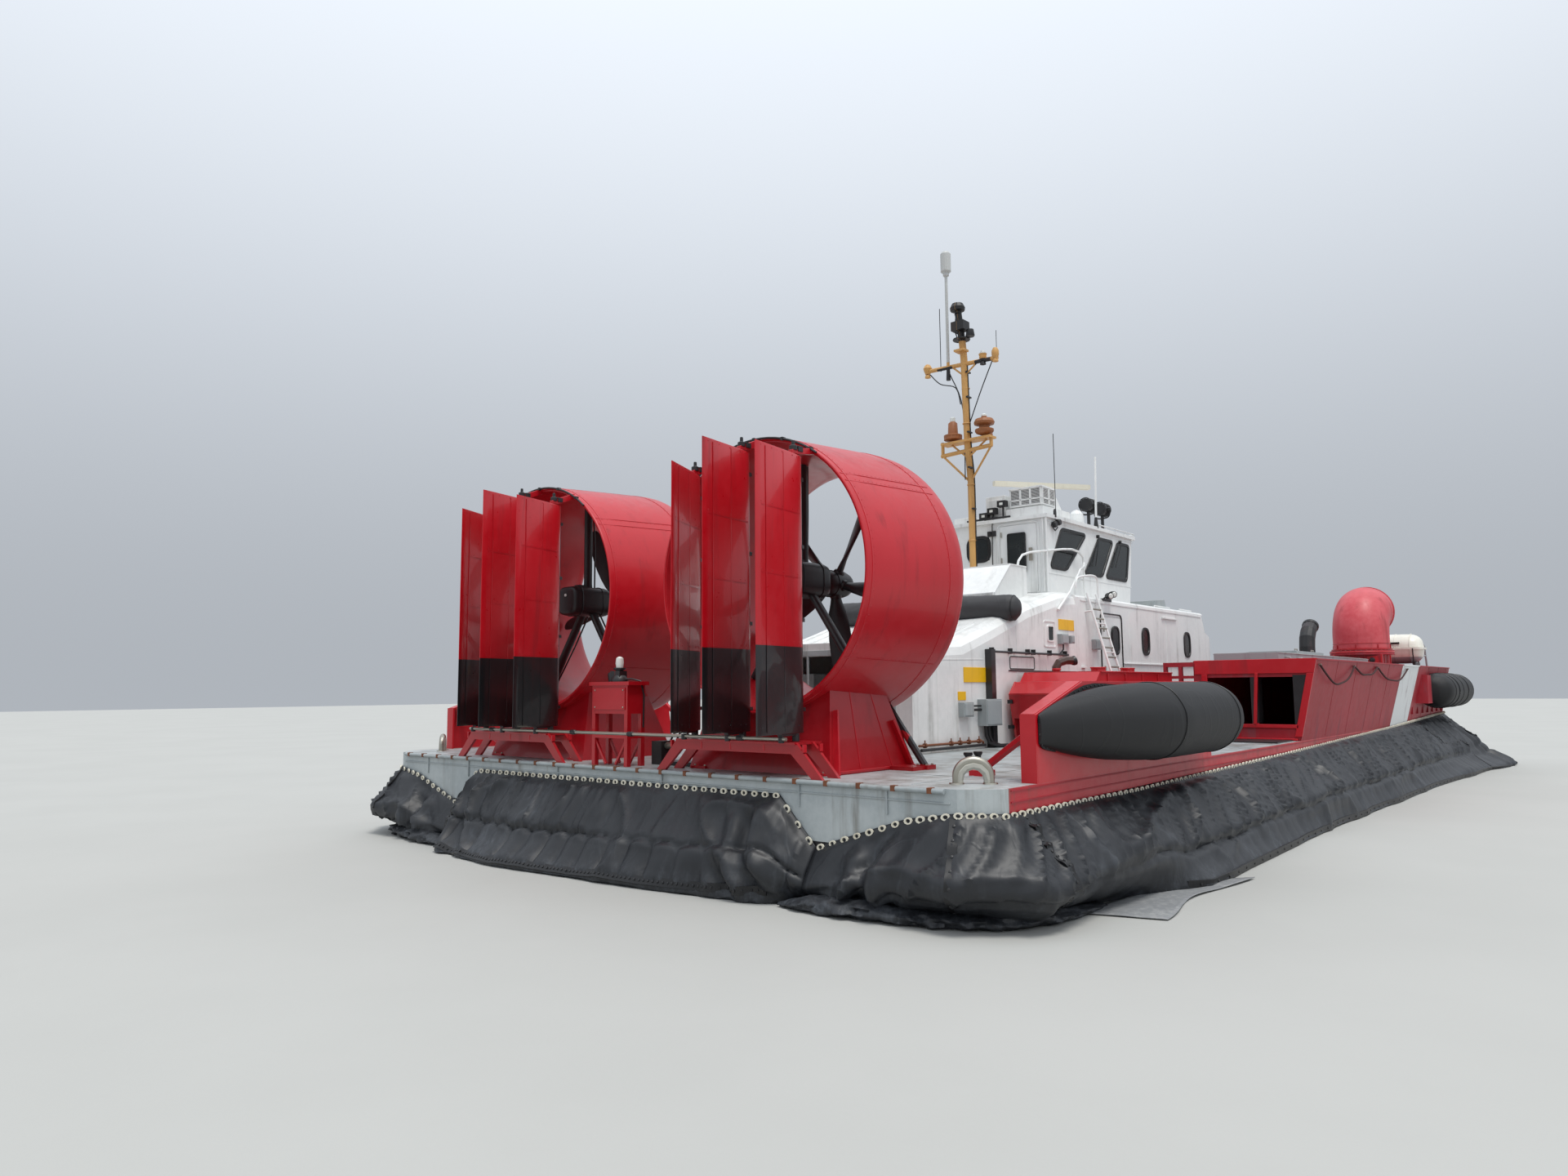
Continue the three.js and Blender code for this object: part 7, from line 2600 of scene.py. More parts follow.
@dataclass
class MastGear:
    """The lamps, whips, wires and brackets on the mast."""

    def build(self) -> None:
        """Builds the mast's fittings."""
        metal = Form(Finish.OCHRE)
        for z in (5.0, 6.1, 7.3, 8.0):
            metal.hoop((8.95 if z < 6.2 else 8.84, 0, z), Axis.Z, 0.072, 0.012, 20, 6)
        for y, z, top in ((0.32, 6.95, 7.36), (-0.38, 6.95, 7.3)):
            metal.turned([(0, z), (0.05, z), (0.05, z + 0.05), (0.16, z + 0.1), (0.18, z + 0.13), (0.18, z + 0.17),
                          (0.1, z + 0.2), (0.09, top), (0.05, top + 0.04), (0, top + 0.05)], (8.85, y, 0), UP, 24)
        for y in (-0.69, -0.42, 0.84):
            metal.turned([(0, 8.46), (0.05, 8.46), (0.07, 8.52), (0.07, 8.6), (0.04, 8.66), (0, 8.67)],
                         (8.8, y, 0), UP, 16)
            metal.turned([(0, 0), (0.05, 0), (0.06, 0.05), (0, 0.07)], (8.8, y, 8.44), DOWN, 14)
        for y in (-0.3, 0.25):
            metal.tube([(8.8, 0, 8.25), (8.8, y, 8.47)], 0.018, 8)
            metal.tube([(8.86, 0, 6.62), (8.86, y * 1.4, 6.93)], 0.02, 8)
        metal.box((8.62, -0.1, 8.72), (8.82, 0.12, 8.76))
        metal.piece("mast_fittings", sharp_deg=45)
        dark = Form(Finish.BLACK)
        dark.turned([(0, 8.98), (0.08, 8.98), (0.09, 9.0), (0.07, 9.12), (0, 9.12)], (8.72, -0.2, 0), UP, 16)
        dark.turned([(0, 9.46), (0.07, 9.46), (0.05, 9.52), (0.045, 9.56), (0.08, 9.6), (0.07, 9.66), (0.03, 9.69),
                     (0, 9.69)], (8.65, 0.02, 0), UP, 16)
        dark.tube([(8.8, 0.53, 8.45), (8.8, 0.53, 9.75)], 0.008, 6)
        dark.tube([(8.8, -0.72, 8.5), (8.8, -0.72, 9.0)], 0.006, 6)
        for z in (5.6, 6.4, 7.1, 7.8, 8.3):
            dark.box((8.75 if z > 6.2 else 8.86, -0.09, z), (8.97 if z < 6.2 else 8.9, -0.05, z + 0.03))
        wires = (
            ((8.95, -0.075, 3.95), (8.95, -0.078, 5.0), (8.95, -0.078, 6.2), (8.86, -0.078, 6.9), (8.8, -0.075, 8.5)),
            ((8.86, 0.075, 6.2), (8.84, 0.074, 7.6), (8.8, 0.3, 8.3), (8.78, 0.36, 8.4)),
            ((8.84, -0.07, 7.3), (8.82, -0.35, 7.9), (8.8, -0.62, 8.42)),
            ((8.8, 0.1, 7.7), (8.8, 0.2, 8.05), (8.8, 0.55, 8.2), (8.8, 0.78, 8.44)),
            ((8.76, 0.05, 8.9), (8.7, 0.12, 9.15), (8.66, 0.08, 9.4)),
        )
        for path in wires:
            dark.tube(smooth_line(path, 5), 0.011, 6)
        dark.piece("mast_wiring", sharp_deg=60)
        lens = Form(Finish.LENS)
        for y, z in ((0.32, 7.39), (-0.38, 7.33)):
            lens.turned([(0, z), (0.055, z), (0.055, z + 0.08), (0.03, z + 0.1), (0, z + 0.1)], (8.85, y, 0), UP, 16)
        lens.piece("mast_lamps", sharp_deg=50)


# The side bodies, the bow gear, the deck and the ropes


@dataclass
class SideBody:
    """What is fixed to a side body: the intake's frame, seams, hatch gear, thruster seat and stack mouth."""

    top: float = 2.6
    aft: float = 10.34
    hooks: Sequence[float] = (10.55, 13.05, 15.1, 18.3)
    sags: Sequence[float] = (0.33, 0.16, 0.27)

    def build(self) -> None:
        """Builds both sides."""
        for side in Side:
            self._intake(side)
            self._seams(side)
            self._top_gear(side)
            self._hatch(side)
            self._ropes(side)

    def _intake(self, side: Side) -> None:
        """The frame round the intakes in the aft face, and painted shade in their openings.

        Args:
            side: the side of the craft.
        """
        form = Form(Finish.RED)
        face = self.aft - 0.03
        low_out, top_out = side_face(1.3), side_face(2.358)
        low, high = 2.36, 2.605
        form.loft([[(x, -3.63, low), (x, side_face(low) - 0.012, low), (x, side_face(high) - 0.012, high),
                    (x, -3.63, high)] for x in (face, self.aft + 0.01)])
        form.loft([[(x, low_out + 0.1, 1.3), (x, low_out - 0.012, 1.3), (x, top_out - 0.012, 2.358),
                    (x, top_out + 0.1, 2.358)] for x in (face, self.aft + 0.01)])
        form.box((face, -3.84, 1.3), (self.aft + 0.01, -3.74, 2.36))
        form.box((face, -5.28, 1.44), (self.aft + 0.01, -3.8, 1.5))
        form.beam((face + 0.01, -4.6, 1.5), (face + 0.01, -4.66, 2.37), 0.05, 0.05, up=FORWARD)
        form.box((self.aft - 0.09, -5.26, 1.236), (self.aft - 0.005, -3.9, 1.27))
        form.on(side, "intake_frame", bevel=0.006)
        # In black: a thin slab on the deck aft of the intakes, and painted shade for the openings' dark depth, as a box
        # over the post between them and a sheet across their mouths.
        dark = Form(Finish.BLACK)
        dark.box((9.35, -5.2, 1.232), (10.28, -3.95, 1.25))
        dark.box((self.aft - 0.004, -4.652, 1.52), (self.aft + 0.3, -4.548, 2.3))
        dark.loft([[(x, -5.225, 1.51), (x, side_face(1.51) + 0.1, 1.51), (x, side_face(2.33) + 0.1, 2.33),
                    (x, -5.225, 2.33)] for x in (self.aft - 0.008, self.aft - 0.003)])
        dark.on(side, "intake_mat", bevel=0.001)

    def _seams(self, side: Side) -> None:
        """Welds, edge strips and drain lips down the leaning side.

        Args:
            side: the side of the craft.
        """
        form = Form(Finish.RED_SIDE)
        for x in (11.9, 13.4, 14.9, 16.4, 20.0, 21.2, 22.6, 23.8):
            form.beam((x, side_face(1.26) - 0.001, 1.26), (x, side_face(2.58) - 0.001, 2.58), 0.014, 0.005, up=OUTBOARD)
        form.beam((10.35, side_face(self.top) - 0.004, self.top - 0.012),
                  (24.25, side_face(self.top) - 0.004, self.top - 0.012), 0.028, 0.024)
        for z in (1.1, 1.205):
            form.beam((0.4, -5.304, z), (24.55, -5.304, z), 0.01, 0.014)
        for x in (19.9, 20.6, 21.3, 22.0, 22.7, 23.4, 24.1):
            form.box((x, side_face(1.6) - 0.012, 1.45), (x + 0.012, side_face(1.6) + 0.03, 1.62))
        form.on(side, "side_seams", sharp_deg=40)

    def _top_gear(self, side: Side) -> None:
        """The coaming's strips, the thruster's seat with its lamp, and the stack's mouth.

        Args:
            side: the side of the craft.
        """
        form = Form(Finish.GREY)
        for y in (-3.76, -4.84):
            form.beam((11.0, y, 2.733), (18.2, y, 2.733), 0.04, 0.016)
        for x in (11.02, 12.5, 14.7, 16.0, 18.18):
            form.beam((x, -3.76, 2.735), (x, -4.84, 2.735), 0.04, 0.02)
        for x in (11.4, 12.2, 15.3):
            form.tube(smooth_line([(x, -4.845, 2.66), (x, -4.9, 2.655), (x + 0.07, -4.92, 2.64),
                                   (x + 0.14, -4.9, 2.655), (x + 0.14, -4.845, 2.66)], 4), 0.012, 8)
        form.box((18.3, -5.2, 2.6), (18.6, -3.8, 2.64))
        form.on(side, "coaming_strips", bevel=0.004)
        bolts = [level_anchor(Vector((11.1 + 0.15 * i, y, 2.745)))
                 for i in range(48) for y in (-3.79, -4.81) if y < -4 or not 12.4 < 11.1 + 0.15 * i < 14.8]
        Repeats(bolt(0.01, 0.008)).on(side, "coaming_bolts", bolts)
        seat = Form(Finish.RED_COVER)
        for x, y in ((18.9, -4.0), (18.9, -5.0), (19.9, -4.0), (19.9, -5.0)):
            seat.box((x - 0.02, y - 0.02, 2.6), (x + 0.02, y + 0.02, 2.87))
        for y in (-4.33, -4.66):
            seat.box((18.885, y - 0.012, 2.6), (18.9, y + 0.012, 2.86))
        for x in (19.2, 19.55):
            seat.box((x - 0.012, -5.015, 2.6), (x + 0.012, -5.0, 2.86))
        seat.box((18.87, -4.93, 2.64), (18.9, -4.7, 2.83))
        seat.hoop((19.4, -4.5, 2.93), Axis.Z, 0.668, 0.02, 56, 8)
        seat.on(side, "thruster_seat", bevel=0.004)
        ring = anchors_round((19.4, -4.5, 2.967), Axis.Z, 0.645, 36, facing=UP)
        Repeats(bolt(0.014, 0.006)).on(side, "thruster_bolts", ring)
        dark = Form(Finish.BLACK)
        dark.turned([(0, 0), (0.06, 0), (0.06, 0.012), (0.05, 0.02), (0, 0.02)], (18.87, -4.81, 2.735), AFT, 20)
        way = (Vector((16.88, -4, 3.48)) - Vector((16.68, -4, 3.36))).normalized()
        mouth = Vector((16.86, -4, 3.468))
        dark.turned([(0.166, -0.02), (0.172, 0.01), (0.172, 0.05), (0.155, 0.055), (0.148, 0.045), (0.148, 0.005)],
                    mouth, way, 32, closed=True)
        dark.hoop((16.5, -4, 2.75), Axis.Z, 0.166, 0.014, 32, 6)
        dark.turned([(0.16, 2.6), (0.24, 2.6), (0.24, 2.625), (0.16, 2.625)], (16.5, -4, 0), UP, 32, closed=True)
        dark.tube([(18.75, -4.2, 2.62), (18.75, -4.6, 2.66), (18.8, -4.9, 2.63)], 0.02, 8)
        dark.on(side, "stack_mouth", sharp_deg=50)

    def _hatch(self, side: Side) -> None:
        """The strips, handles and hinge leaves on the hatch.

        Args:
            side: the side of the craft.
        """
        form = Form(Finish.GREY)
        for y in (-3.9, -4.7):
            form.beam((12.64, y, 2.803), (14.56, y, 2.803), 0.03, 0.012)
        for x in (12.64, 13.6, 14.56):
            form.beam((x, -3.9, 2.803), (x, -4.7, 2.803), 0.03, 0.012)
        form.in_finish(Finish.STEEL)
        for x in (13.0, 14.2):
            form.tube([(x, -4.62, 2.8), (x, -4.62, 2.85), (x + 0.16, -4.62, 2.85), (x + 0.16, -4.62, 2.8)], 0.011, 8)
            form.box((x, -3.92, 2.8), (x + 0.12, -3.86, 2.812))
        form.on(side, "hatch_trim", body=f"hatch_{side.label}", bevel=0.003)

    def _ropes(self, side: Side) -> None:
        """The slack ropes along the top edge, on their hooks.

        Args:
            side: the side of the craft.
        """
        hooks = Form(Finish.STEEL)
        for x in self.hooks:
            hooks.tube([(x, side_face(2.5), 2.5), (x, side_face(2.5) - 0.05, 2.5)], 0.013, 8)
        hooks.on(side, "rope_hooks")
        across = side_face(2.5) - 0.03
        for number, (start, end, sag) in enumerate(zip(self.hooks, self.hooks[1:], self.sags)):
            path = []
            for i in range(25):
                t = i / 24
                path.append(Vector((
                    start + (end - start) * t, (across - 0.004 * math.sin(9 * t + number)) * -side.value,
                    2.5 - 4 * sag * t * (1 - t) + 0.012 * math.sin(13 * t + number) * 4 * t * (1 - t))))
            rope = Form(Finish.ROPE).tube(path, 0.017, 10).piece(f"slack_rope_{number}_{side.label}", sharp_deg=60)


@dataclass
class BowThruster:
    """A bow thruster: a smooth elbow that swivels on its seat, with a rolled mouth."""

    foot: Point = (19.4, -4.5, 2.975)
    neck: float = 0.335
    bend: float = 0.64
    reach: float = 0.76
    outer: float = 0.6
    bore: float = 0.55

    def _ring(self, along: float, radius: float, up: float, tilt: float) -> list[Vector]:
        """A circle on the elbow's middle line, tilted from level by an angle.

        Args:
            along: the distance on the middle line, from the foot.
            radius: the circle's radius.
            up: its height over the foot.
            tilt: the angle from level.

        Returns:
            The circle's points.
        """
        x, y, z = self.foot
        found = []
        for i in range(56):
            turn = math.tau * i / 56
            level = math.cos(turn) * radius
            found.append(Vector((x + along - math.cos(tilt) * level, y + math.sin(turn) * radius,
                                 z + up + math.sin(tilt) * level)))
        return found

    def build(self, side: Side) -> None:
        """Builds one elbow on its own body.

        Args:
            side: the side of the craft.
        """
        line = [(0.0, 0.0, 0.0), (0.0, self.neck * 0.5, 0.0)]
        for i in range(19):
            tilt = math.pi / 2 * i / 18
            line.append((self.bend * (1 - math.cos(tilt)), self.neck + self.bend * math.sin(tilt), tilt))
        line.append((self.reach - 0.02, self.neck + self.bend, math.pi / 2))
        rings = [self._ring(a, self.outer, u, t) for a, u, t in line]
        a, u, t = line[-1]
        rings += [self._ring(a + 0.004, self.outer + 0.022, u, t), self._ring(a + 0.018, self.outer + 0.022, u, t),
                  self._ring(a + 0.02, self.bore, u, t)]
        rings += [self._ring(b, self.bore, v, s) for b, v, s in reversed(line[2:-1])]
        elbow = Form(Finish.RED_FADED).loft(rings)
        body = f"thruster_nozzle_{side.label}"
        elbow.on(side, "elbow", body=body, replaces=[body], sharp_deg=50)
        # The foot ring is in the darker red: painted shade under the elbow.
        trim = Form(Finish.RED_SHADE)
        x, y, z = self.foot
        trim.turned([(self.outer, 0.0), (self.outer + 0.045, 0.0), (self.outer + 0.045, 0.035), (self.outer, 0.045)],
                    self.foot, UP, 56, closed=True)
        trim.hoop((x, y, z + 0.16), Axis.Z, self.outer + 0.002, 0.008, 56, 6)
        for i in range(8):
            turn = math.tau * i / 8
            out = Vector((math.cos(turn), math.sin(turn), 0)) * (self.outer + 0.01)
            trim.beam(Vector(self.foot) + out + Vector((0, 0, 0.03)),
                      Vector(self.foot) + out * 0.99 + Vector((0, 0, 0.13)), 0.016, 0.03, up=out)
        trim.on(side, "elbow_trim", body=body, sharp_deg=50)


@dataclass
class LifeRaftCase:
    """A life raft's canister: two moulded halves with a flange, straps and a slot."""

    centre: Point = (21.4, -4.9, 3.05)
    half: float = 0.6
    radius: float = 0.37

    def build(self, side: Side) -> None:
        """Builds one canister and its cradle.

        Args:
            side: the side of the craft.
        """
        x, y, z = self.centre
        rings = []
        for i in range(25):
            t = -1 + 2 * i / 24
            share = (1 - abs(t) ** 5) ** 0.5 if abs(t) < 1 else 0.02
            ring = []
            for k in range(48):
                turn = math.tau * k / 48
                ring.append(Vector((x + math.cos(turn) * self.radius * max(share, 0.02), y + t * self.half,
                                    z + math.sin(turn) * self.radius * max(share, 0.02))))
            rings.append(ring)
        body = Form(Finish.RAFT_CASE).loft(rings)
        outline = rounded([(x - 0.385, y - 0.612, z), (x + 0.385, y - 0.612, z), (x + 0.385, y + 0.612, z),
                           (x - 0.385, y + 0.612, z)], 0.2)
        body.loft([[p + Vector((0, 0, h)) for p in outline] for h in (-0.025, -0.02, 0.02, 0.025)])
        for across in (-0.33, 0.0, 0.33):
            body.hoop((x, y + across, z), Axis.Y, self.radius + 0.003, 0.01, 48, 6)
        body.on(side, "canister", replaces=[f"life_raft_{side.label}"], sharp_deg=40)
        dark = Form(Finish.BLACK)
        dark.box((x - 0.38, y - 0.12, z + 0.12), (x - 0.345, y + 0.12, z + 0.16))
        for across in (-0.4, 0.4):
            dark.box((x - 0.32, y + across - 0.03, 2.6), (x + 0.32, y + across + 0.03, 2.7))
            dark.tube([(x - 0.3, y + across, 2.66), (x - 0.39, y + across, 2.9), (x - 0.4, y + across, 3.05)], 0.014, 8)
            dark.tube([(x + 0.3, y + across, 2.66), (x + 0.39, y + across, 2.9), (x + 0.4, y + across, 3.05)], 0.014, 8)
        dark.on(side, "canister_cradle", bevel=0.004)


@dataclass
class Deck:
    """The deck's edge pipe, seams, mooring loops, cleats, rings, and the ramp's treads."""

    def build(self) -> None:
        """Builds the deck's fittings."""
        self._edge()
        self._fittings()
        self._ramp()
        for side in Side:
            self._cover(side)
        self._flap()

    def _edge(self) -> None:
        """The pipe and the strip along the transom's top, with clamps."""
        form = Form(Finish.GREY)
        form.tube([(-0.022, -4.85, 1.205), (-0.022, 4.85, 1.205)], 0.026, 10)
        form.box((-0.012, -4.9, 1.09), (0.004, 4.9, 1.105))
        for y in (-4.2, -3.1, -1.0, 1.0, 3.1, 4.2):
            form.box((-0.02, y - 0.008, 0.95), (0.004, y + 0.008, 1.2))
        form.in_finish(Finish.RUST)
        for i in range(24):
            y = -4.7 + 0.41 * i
            form.box((-0.05, y - 0.025, 1.18), (0.02, y + 0.025, 1.236))
        form.piece("transom_pipe", bevel=0.003)

    def _fittings(self) -> None:
        """Mooring loops, bollards and rings."""
        steel = Form(Finish.STEEL)
        for side in Side:
            s = side.value
            ends = (Vector((0.48, s * 4.68, DECK)), Vector((0.67, s * 4.94, DECK)))
            middle, reach = (ends[0] + ends[1]) / 2, (ends[1] - ends[0]) / 2
            path = [ends[0] + Vector((0, 0, -0.01))]
            for i in range(13):
                turn = math.pi * i / 12
                path.append(middle - reach * math.cos(turn) + Vector((0, 0, 0.08 + math.sin(turn) * 0.145)))
            path.append(ends[1] + Vector((0, 0, -0.01)))
            steel.tube(smooth_line(path, 3), 0.041, 18)
            for end in ends:
                steel.turned([(0, 0), (0.075, 0), (0.07, 0.014), (0, 0.016)], end, UP, 24)
        steel.piece("mooring_loops", sharp_deg=50)
        dark = Form(Finish.BLACK)
        for side in Side:
            s = side.value
            for x in (2.1, 2.32):
                dark.turned([(0, 0), (0.06, 0), (0.05, 0.02), (0.035, 0.04), (0.035, 0.14), (0.055, 0.17), (0.05, 0.19),
                             (0, 0.19)], (x, s * 3.85, DECK), UP, 18)
            dark.box((2.0, s * 3.85 - 0.08, DECK), (2.42, s * 3.85 + 0.08, DECK + 0.02))
            for x in (3.6, 8.0, 18.6, 23.5):
                y = s * (3.5 if x > 17 else 4.2)
                for shift in (-0.1, 0.1):
                    dark.turned([(0, 0), (0.03, 0), (0.022, 0.03), (0.022, 0.09), (0, 0.09)],
                                (x + shift, y, DECK), UP, 12)
                dark.tube([(x - 0.22, y, DECK + 0.1), (x + 0.22, y, DECK + 0.1)], 0.022, 10)
        dark.piece("bollards", sharp_deg=50)
        seams = Form(Finish.DECK)
        for x in (1.2, 2.9, 4.6, 6.3, 8.0, 9.7):
            for s in (-1, 1):
                seams.beam((x, s * 3.6, DECK + 0.001), (x, s * 5.2, DECK + 0.001), 0.03, 0.006)
        for s in (-1, 1):
            seams.beam((0.2, s * 4.35, DECK + 0.001), (10.2, s * 4.35, DECK + 0.001), 0.02, 0.005)
        seams.piece("deck_seams")
        planks = Form(Finish.GREY)
        for i in range(17):
            y = -3.2 + 0.4 * i
            planks.beam((17.25, y, 1.244), (24.55, y, 1.244), 0.05, 0.012)
        planks.piece("wear_strips", bevel=0.002)
        ring = Form(Finish.STEEL).hoop((0, 0, 0.012), Axis.Z, 0.05, 0.01, 14, 6)
        spots = [level_anchor(Vector((17.6 + 1.1 * i, -3.0 + 1.2 * k, 1.25)))
                 for i in range(7) for k in range(6)]
        Repeats(ring).piece("lashing_rings", spots)

    def _ramp(self) -> None:
        """Treads on the bow ramp's deck side."""
        hinge = Vector((25.81, 0, 1.32))
        turn = math.radians(78)
        way = Vector((math.cos(turn), 0, math.sin(turn)))
        out = Vector((-math.sin(turn), 0, math.cos(turn)))
        form = Form(Finish.RED)
        for i in range(1, 8):
            spot = hinge + way * (0.19 * i) + out * 0.008
            form.beam(spot + Vector((0, -1.5, 0)), spot + Vector((0, 1.5, 0)), 0.03, 0.03)
        form.piece("ramp_treads", body="bow_ramp", bevel=0.003)

    def _cover(self, side: Side) -> None:
        """Strips, caps and the exhaust's mouth on the lift engine's cover.

        Args:
            side: the side of the craft.
        """
        form = Form(Finish.RED_COVER)
        for y in (-2.02, -3.3):
            form.beam((7.06, y, 2.392), (10.08, y, 2.392), 0.05, 0.02)
            form.beam((6.52, y, 2.04), (6.7, y, 2.24), 0.03, 0.03)
        for x in (7.08, 8.5, 10.08):
            form.beam((x, -2.0, 2.392), (x, -3.3, 2.392), 0.05, 0.02)
        form.beam((6.505, -2.02, 2.05), (6.505, -3.28, 2.05), 0.03, 0.03)
        for x in (7.9, 9.1):
            form.turned([(0.12, 2.39), (0.15, 2.39), (0.15, 2.41), (0.12, 2.41)], (x, -2.9, 0), UP, 28, closed=True)
            form.hoop((x, -2.9, 2.47), Axis.Z, 0.12, 0.012, 28, 6)
        form.turned([(0, 2.39), (0.05, 2.39), (0.05, 2.42), (0.075, 2.43), (0.07, 2.46), (0, 2.465)], (7.2, -2.5, 0),
                    UP, 20)
        for x in (7.3, 8.0, 8.7, 9.4):
            form.box((x, -3.318, 1.3), (x + 0.03, -3.3, 2.36))
        form.on(side, "lift_cover_trim", bevel=0.004)
        dark = Form(Finish.BLACK)
        mouth, way = Vector((7.89, -2.474, 2.594)), Vector((0.3, -0.2, 0.1)).normalized()
        dark.turned([(0.07, -0.03), (0.08, 0.0), (0.08, 0.03), (0.066, 0.03), (0.064, 0.0)], mouth, way, 28,
                    closed=True)
        for z in (1.5, 1.9):
            dark.box((6.49, -2.06, z), (6.56, -1.98, z + 0.06))
        dark.on(side, "exhaust_mouth", sharp_deg=50)

    def _flap(self) -> None:
        """The spare end of the skirt's cloth, flat on the ground."""
        rows, columns = 26, 12
        points, loops = [], []
        corners = (Vector((1.2, -5.5, 0)), Vector((3.4, -5.75, 0)), Vector((4.1, -6.3, 0)), Vector((1.45, -6.3, 0)))
        for i in range(rows + 1):
            u = i / rows
            for k in range(columns + 1):
                v = k / columns
                inner, outer = corners[0].lerp(corners[1], u), corners[3].lerp(corners[2], u)
                spot = inner.lerp(outer, v * (1 - 0.25 * math.sin(math.pi * u) ** 2 * v))
                lift = (0.012 + 0.02 * max(0.0, noise.noise(Vector((u * 5, v * 3, 60)))) * (1 - v)
                        + 0.012 * v * abs(math.sin(u * 9)))
                points.append(spot + Vector((0, 0, lift)))
        wide = columns + 1
        for i in range(rows):
            for k in range(columns):
                a = i * wide + k
                loops.append((a, a + wide, a + wide + 1, a + 1))
        flap = Form(Finish.FLAP).faces(points, loops).piece("loose_flap", sharp_deg=60, outward=False)
        wall = flap.modifiers.new("cloth_thickness", "SOLIDIFY")
        wall.thickness = 0.005


# The studio


@dataclass
class Studio:
    """The photograph's viewpoint, a plain floor and soft light."""

    eye: Point = (-8.032, -9.88, 2.15)
    heading: float = 0.715
    pitch: float = 0.101
    roll: float = -0.008
    sensor_width: float = 36.0
    focal_share: float = 1228.5 / 1920
    floor_half: float = 160.0
    sky_tone: Colour = (0.86, 0.92, 1.0)
    sun_tone: Colour = (1.0, 0.97, 0.92)
    sun_strength: float = 1.9
    sun_spread_deg: float = 20
    sun_way: Point = (0.12, 0.3, -0.94)

    def camera(self) -> bpy.types.Object:
        """Makes the camera and the scene's view through it.

        Returns:
            The camera.
        """
        level = math.cos(self.pitch)
        ahead = Vector((math.cos(self.heading) * level, math.sin(self.heading) * level, math.sin(self.pitch)))
        right = ahead.cross(Vector(UP)).normalized()
        up = right.cross(ahead)
        tilt = (math.cos(self.roll), math.sin(self.roll))
        right, up = right * tilt[0] + up * tilt[1], up * tilt[0] - right * tilt[1]
        lens = bpy.data.cameras.new("viewpoint")
        lens.sensor_width = self.sensor_width
        lens.lens = self.sensor_width * self.focal_share
        lens.clip_start = 0.1
        lens.clip_end = 600
        made = bpy.data.objects.new("viewpoint", lens)
        turn = Matrix((right, up, -ahead)).transposed().to_4x4()
        spot = Vector(self.eye) - Vector((TRANSOM_TO_MIDSHIP, 0, 0))
        made.matrix_world = Matrix.Translation(spot) @ turn
        bpy.context.scene.collection.objects.link(made)
        bpy.context.scene.camera = made
        return made

    def floor(self) -> None:
        """A plain pale floor, which isn't part of the craft."""
        graph = Graph("pale_floor")
        pale = graph.mix(graph.noise(0.3, detail=5).rise(0.3, 0.7) * 0.25, tone(176, 176, 172), tone(162, 162, 158))
        grain = graph.bump(graph.noise(30, detail=3), 0.1, 0.01)
        data = bpy.data.meshes.new("floor")
        half = self.floor_half
        data.from_pydata([(-half, -half, 0), (half, -half, 0), (half, half, 0), (-half, half, 0)], [], [(0, 1, 2, 3)])
        data.materials.append(graph.surface(Base_Color=pale, Roughness=0.8, Normal=grain))
        made = bpy.data.objects.new("floor", data)
        bpy.context.scene.collection.objects.link(made)
        made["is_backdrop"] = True

    def light(self) -> None:
        """An overcast sky and one broad sun behind the viewer."""
        world = bpy.data.worlds.new("overcast")
        world.use_nodes = True
        tree = Tree(world.node_tree)
        facing = tree.node("ShaderNodeTexCoord", out="Generated")
        height = tree.node("ShaderNodeSeparateXYZ", sockets={0: facing}, out="Z")
        sky = tree.node(
            "ShaderNodeBackground",
            sockets={"Color": self.sky_tone, "Strength": 0.5 + height.rise(0.0, 0.9) * 0.75},
        )
        output = world.node_tree.nodes.new("ShaderNodeOutputWorld")
        world.node_tree.links.new(sky.socket, output.inputs["Surface"])
        bpy.context.scene.world = world
        bpy.context.scene.view_settings.view_transform = "Standard"
        lamp = bpy.data.lights.new("broad_sun", "SUN")
        lamp.energy = self.sun_strength
        lamp.angle = math.radians(self.sun_spread_deg)
        lamp.color = self.sun_tone
        made = bpy.data.objects.new("broad_sun", lamp)
        toward = Vector(self.sun_way)
        made.rotation_mode = "QUATERNION"
        made.rotation_quaternion = toward.to_track_quat("-Z", "Y")
        bpy.context.scene.collection.objects.link(made)


# The CAD nodes that stay


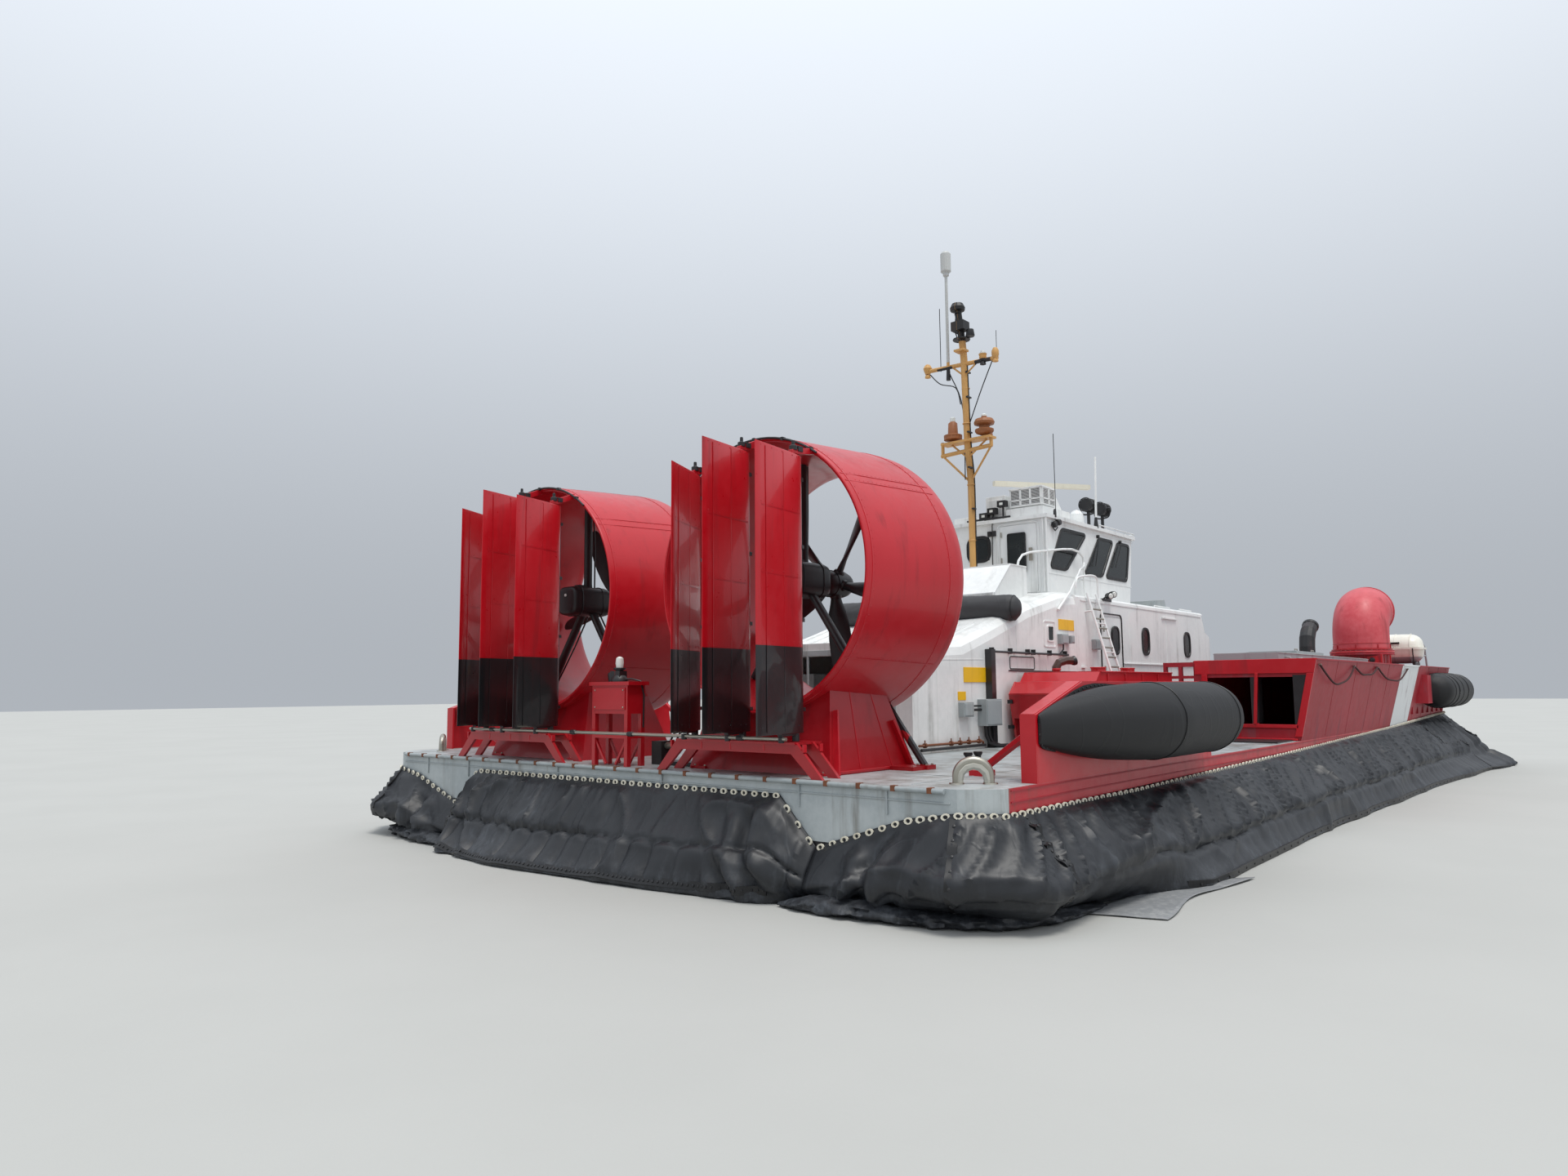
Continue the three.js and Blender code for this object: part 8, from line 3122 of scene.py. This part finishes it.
NODE_FINISHES: dict[str, Finish] = {
    "raft": Finish.DECK,
    "landing_skid": Finish.GREY,
    "skirt": Finish.CLOTH,
    "side_body": Finish.RED_SIDE,
    "hatch": Finish.GREY,
    "thruster_nozzle": Finish.RED_FADED,
    "life_raft": Finish.RAFT_CASE,
    "fender": Finish.FENDER,
    "fender_frame": Finish.RED,
    "bow_fender": Finish.FENDER,
    "duct": Finish.RED,
    # The pedestals take the darker red: painted shade under the ducts.
    "duct_pedestal": Finish.RED_SHADE,
    "propeller_gearbox": Finish.BLACK,
    "propeller": Finish.BLACK,
    "rudder": Finish.RUDDER,
    "rudder_tie_rod": Finish.STEEL,
    "stern_stand": Finish.STAND,
    "engine_casing": Finish.CASING,
    "propulsion_engine": Finish.GREY,
    "lift_engine_cover": Finish.RED_COVER,
    "lift_engine": Finish.GREY,
    "cabin": Finish.WHITE,
    "wheelhouse": Finish.WHITE,
    "wheelhouse_glazing": Finish.GLASS,
    "radar_scanner": Finish.CREAM,
    "searchlight": Finish.BLACK,
    "mast": Finish.OCHRE,
    "bow_ramp": Finish.RED,
}


class Frame:
    """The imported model, whose nodes get their finishes here."""

    def __init__(self) -> None:
        """Loads the frame and keeps its box."""
        self.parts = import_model()
        self.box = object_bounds()

    def dress(self) -> None:
        """Gives every node the finish of the longest name that it starts with."""
        for name, made in self.parts["nodes"].items():
            stem = max((s for s in NODE_FINISHES if name.startswith(s)), key=len)
            made.data.materials.clear()
            made.data.materials.append(NODE_FINISHES[stem].material)

    def keep_size(self) -> None:
        """Brings the view layer up to date."""
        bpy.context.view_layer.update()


def main() -> None:
    """Builds the craft around its frame, and reports each piece."""
    logging.basicConfig(level=logging.INFO, format="%(name)s: %(message)s")
    studio = Studio()
    studio.camera()
    frame = Frame()
    frame.dress()
    studio.floor()
    studio.light()
    side_bag = Bag("side", SIDE_BAG, (29.0, 2.1), pleat=0.06, lean=0.9, puffs=0.2)
    side_bag.sew(SIDE_SEAMS)
    stern_bag = Bag("stern", STERN_BAG, (7.4, 1.7), pleat=0.055, lean=0.1, puffs=1.0, crease=0.5, seed=40, grain=0.032)
    stern_bag.seams = (tuple((0.06 + 0.088 * i, 0.79) for i in range(11)), ((0.925, 0.3), (0.93, 0.7)))
    bow_bag = Bag("bow", BOW_BAG, (17.0, 2.9), pleat=0.06, lean=0.3, puffs=0.3, seed=80)
    for side in Side:
        side_bag.build(side)
        for paired in (Tuck(), Fender(), BowFender(), Duct(), Propeller(), Gearbox(), BowThruster(), LifeRaftCase()):
            paired.build(side)
    for bag in (stern_bag, bow_bag):
        bag.build()
    rudders = Rudders()
    rudders.build()
    rudders.rod()
    SternGear().build()
    for part in (Casing(), Cabin(), Wheelhouse(), MastGear(), SideBody(), Deck()):
        part.build()
    frame.keep_size()


if __name__ == "__main__":
    main()
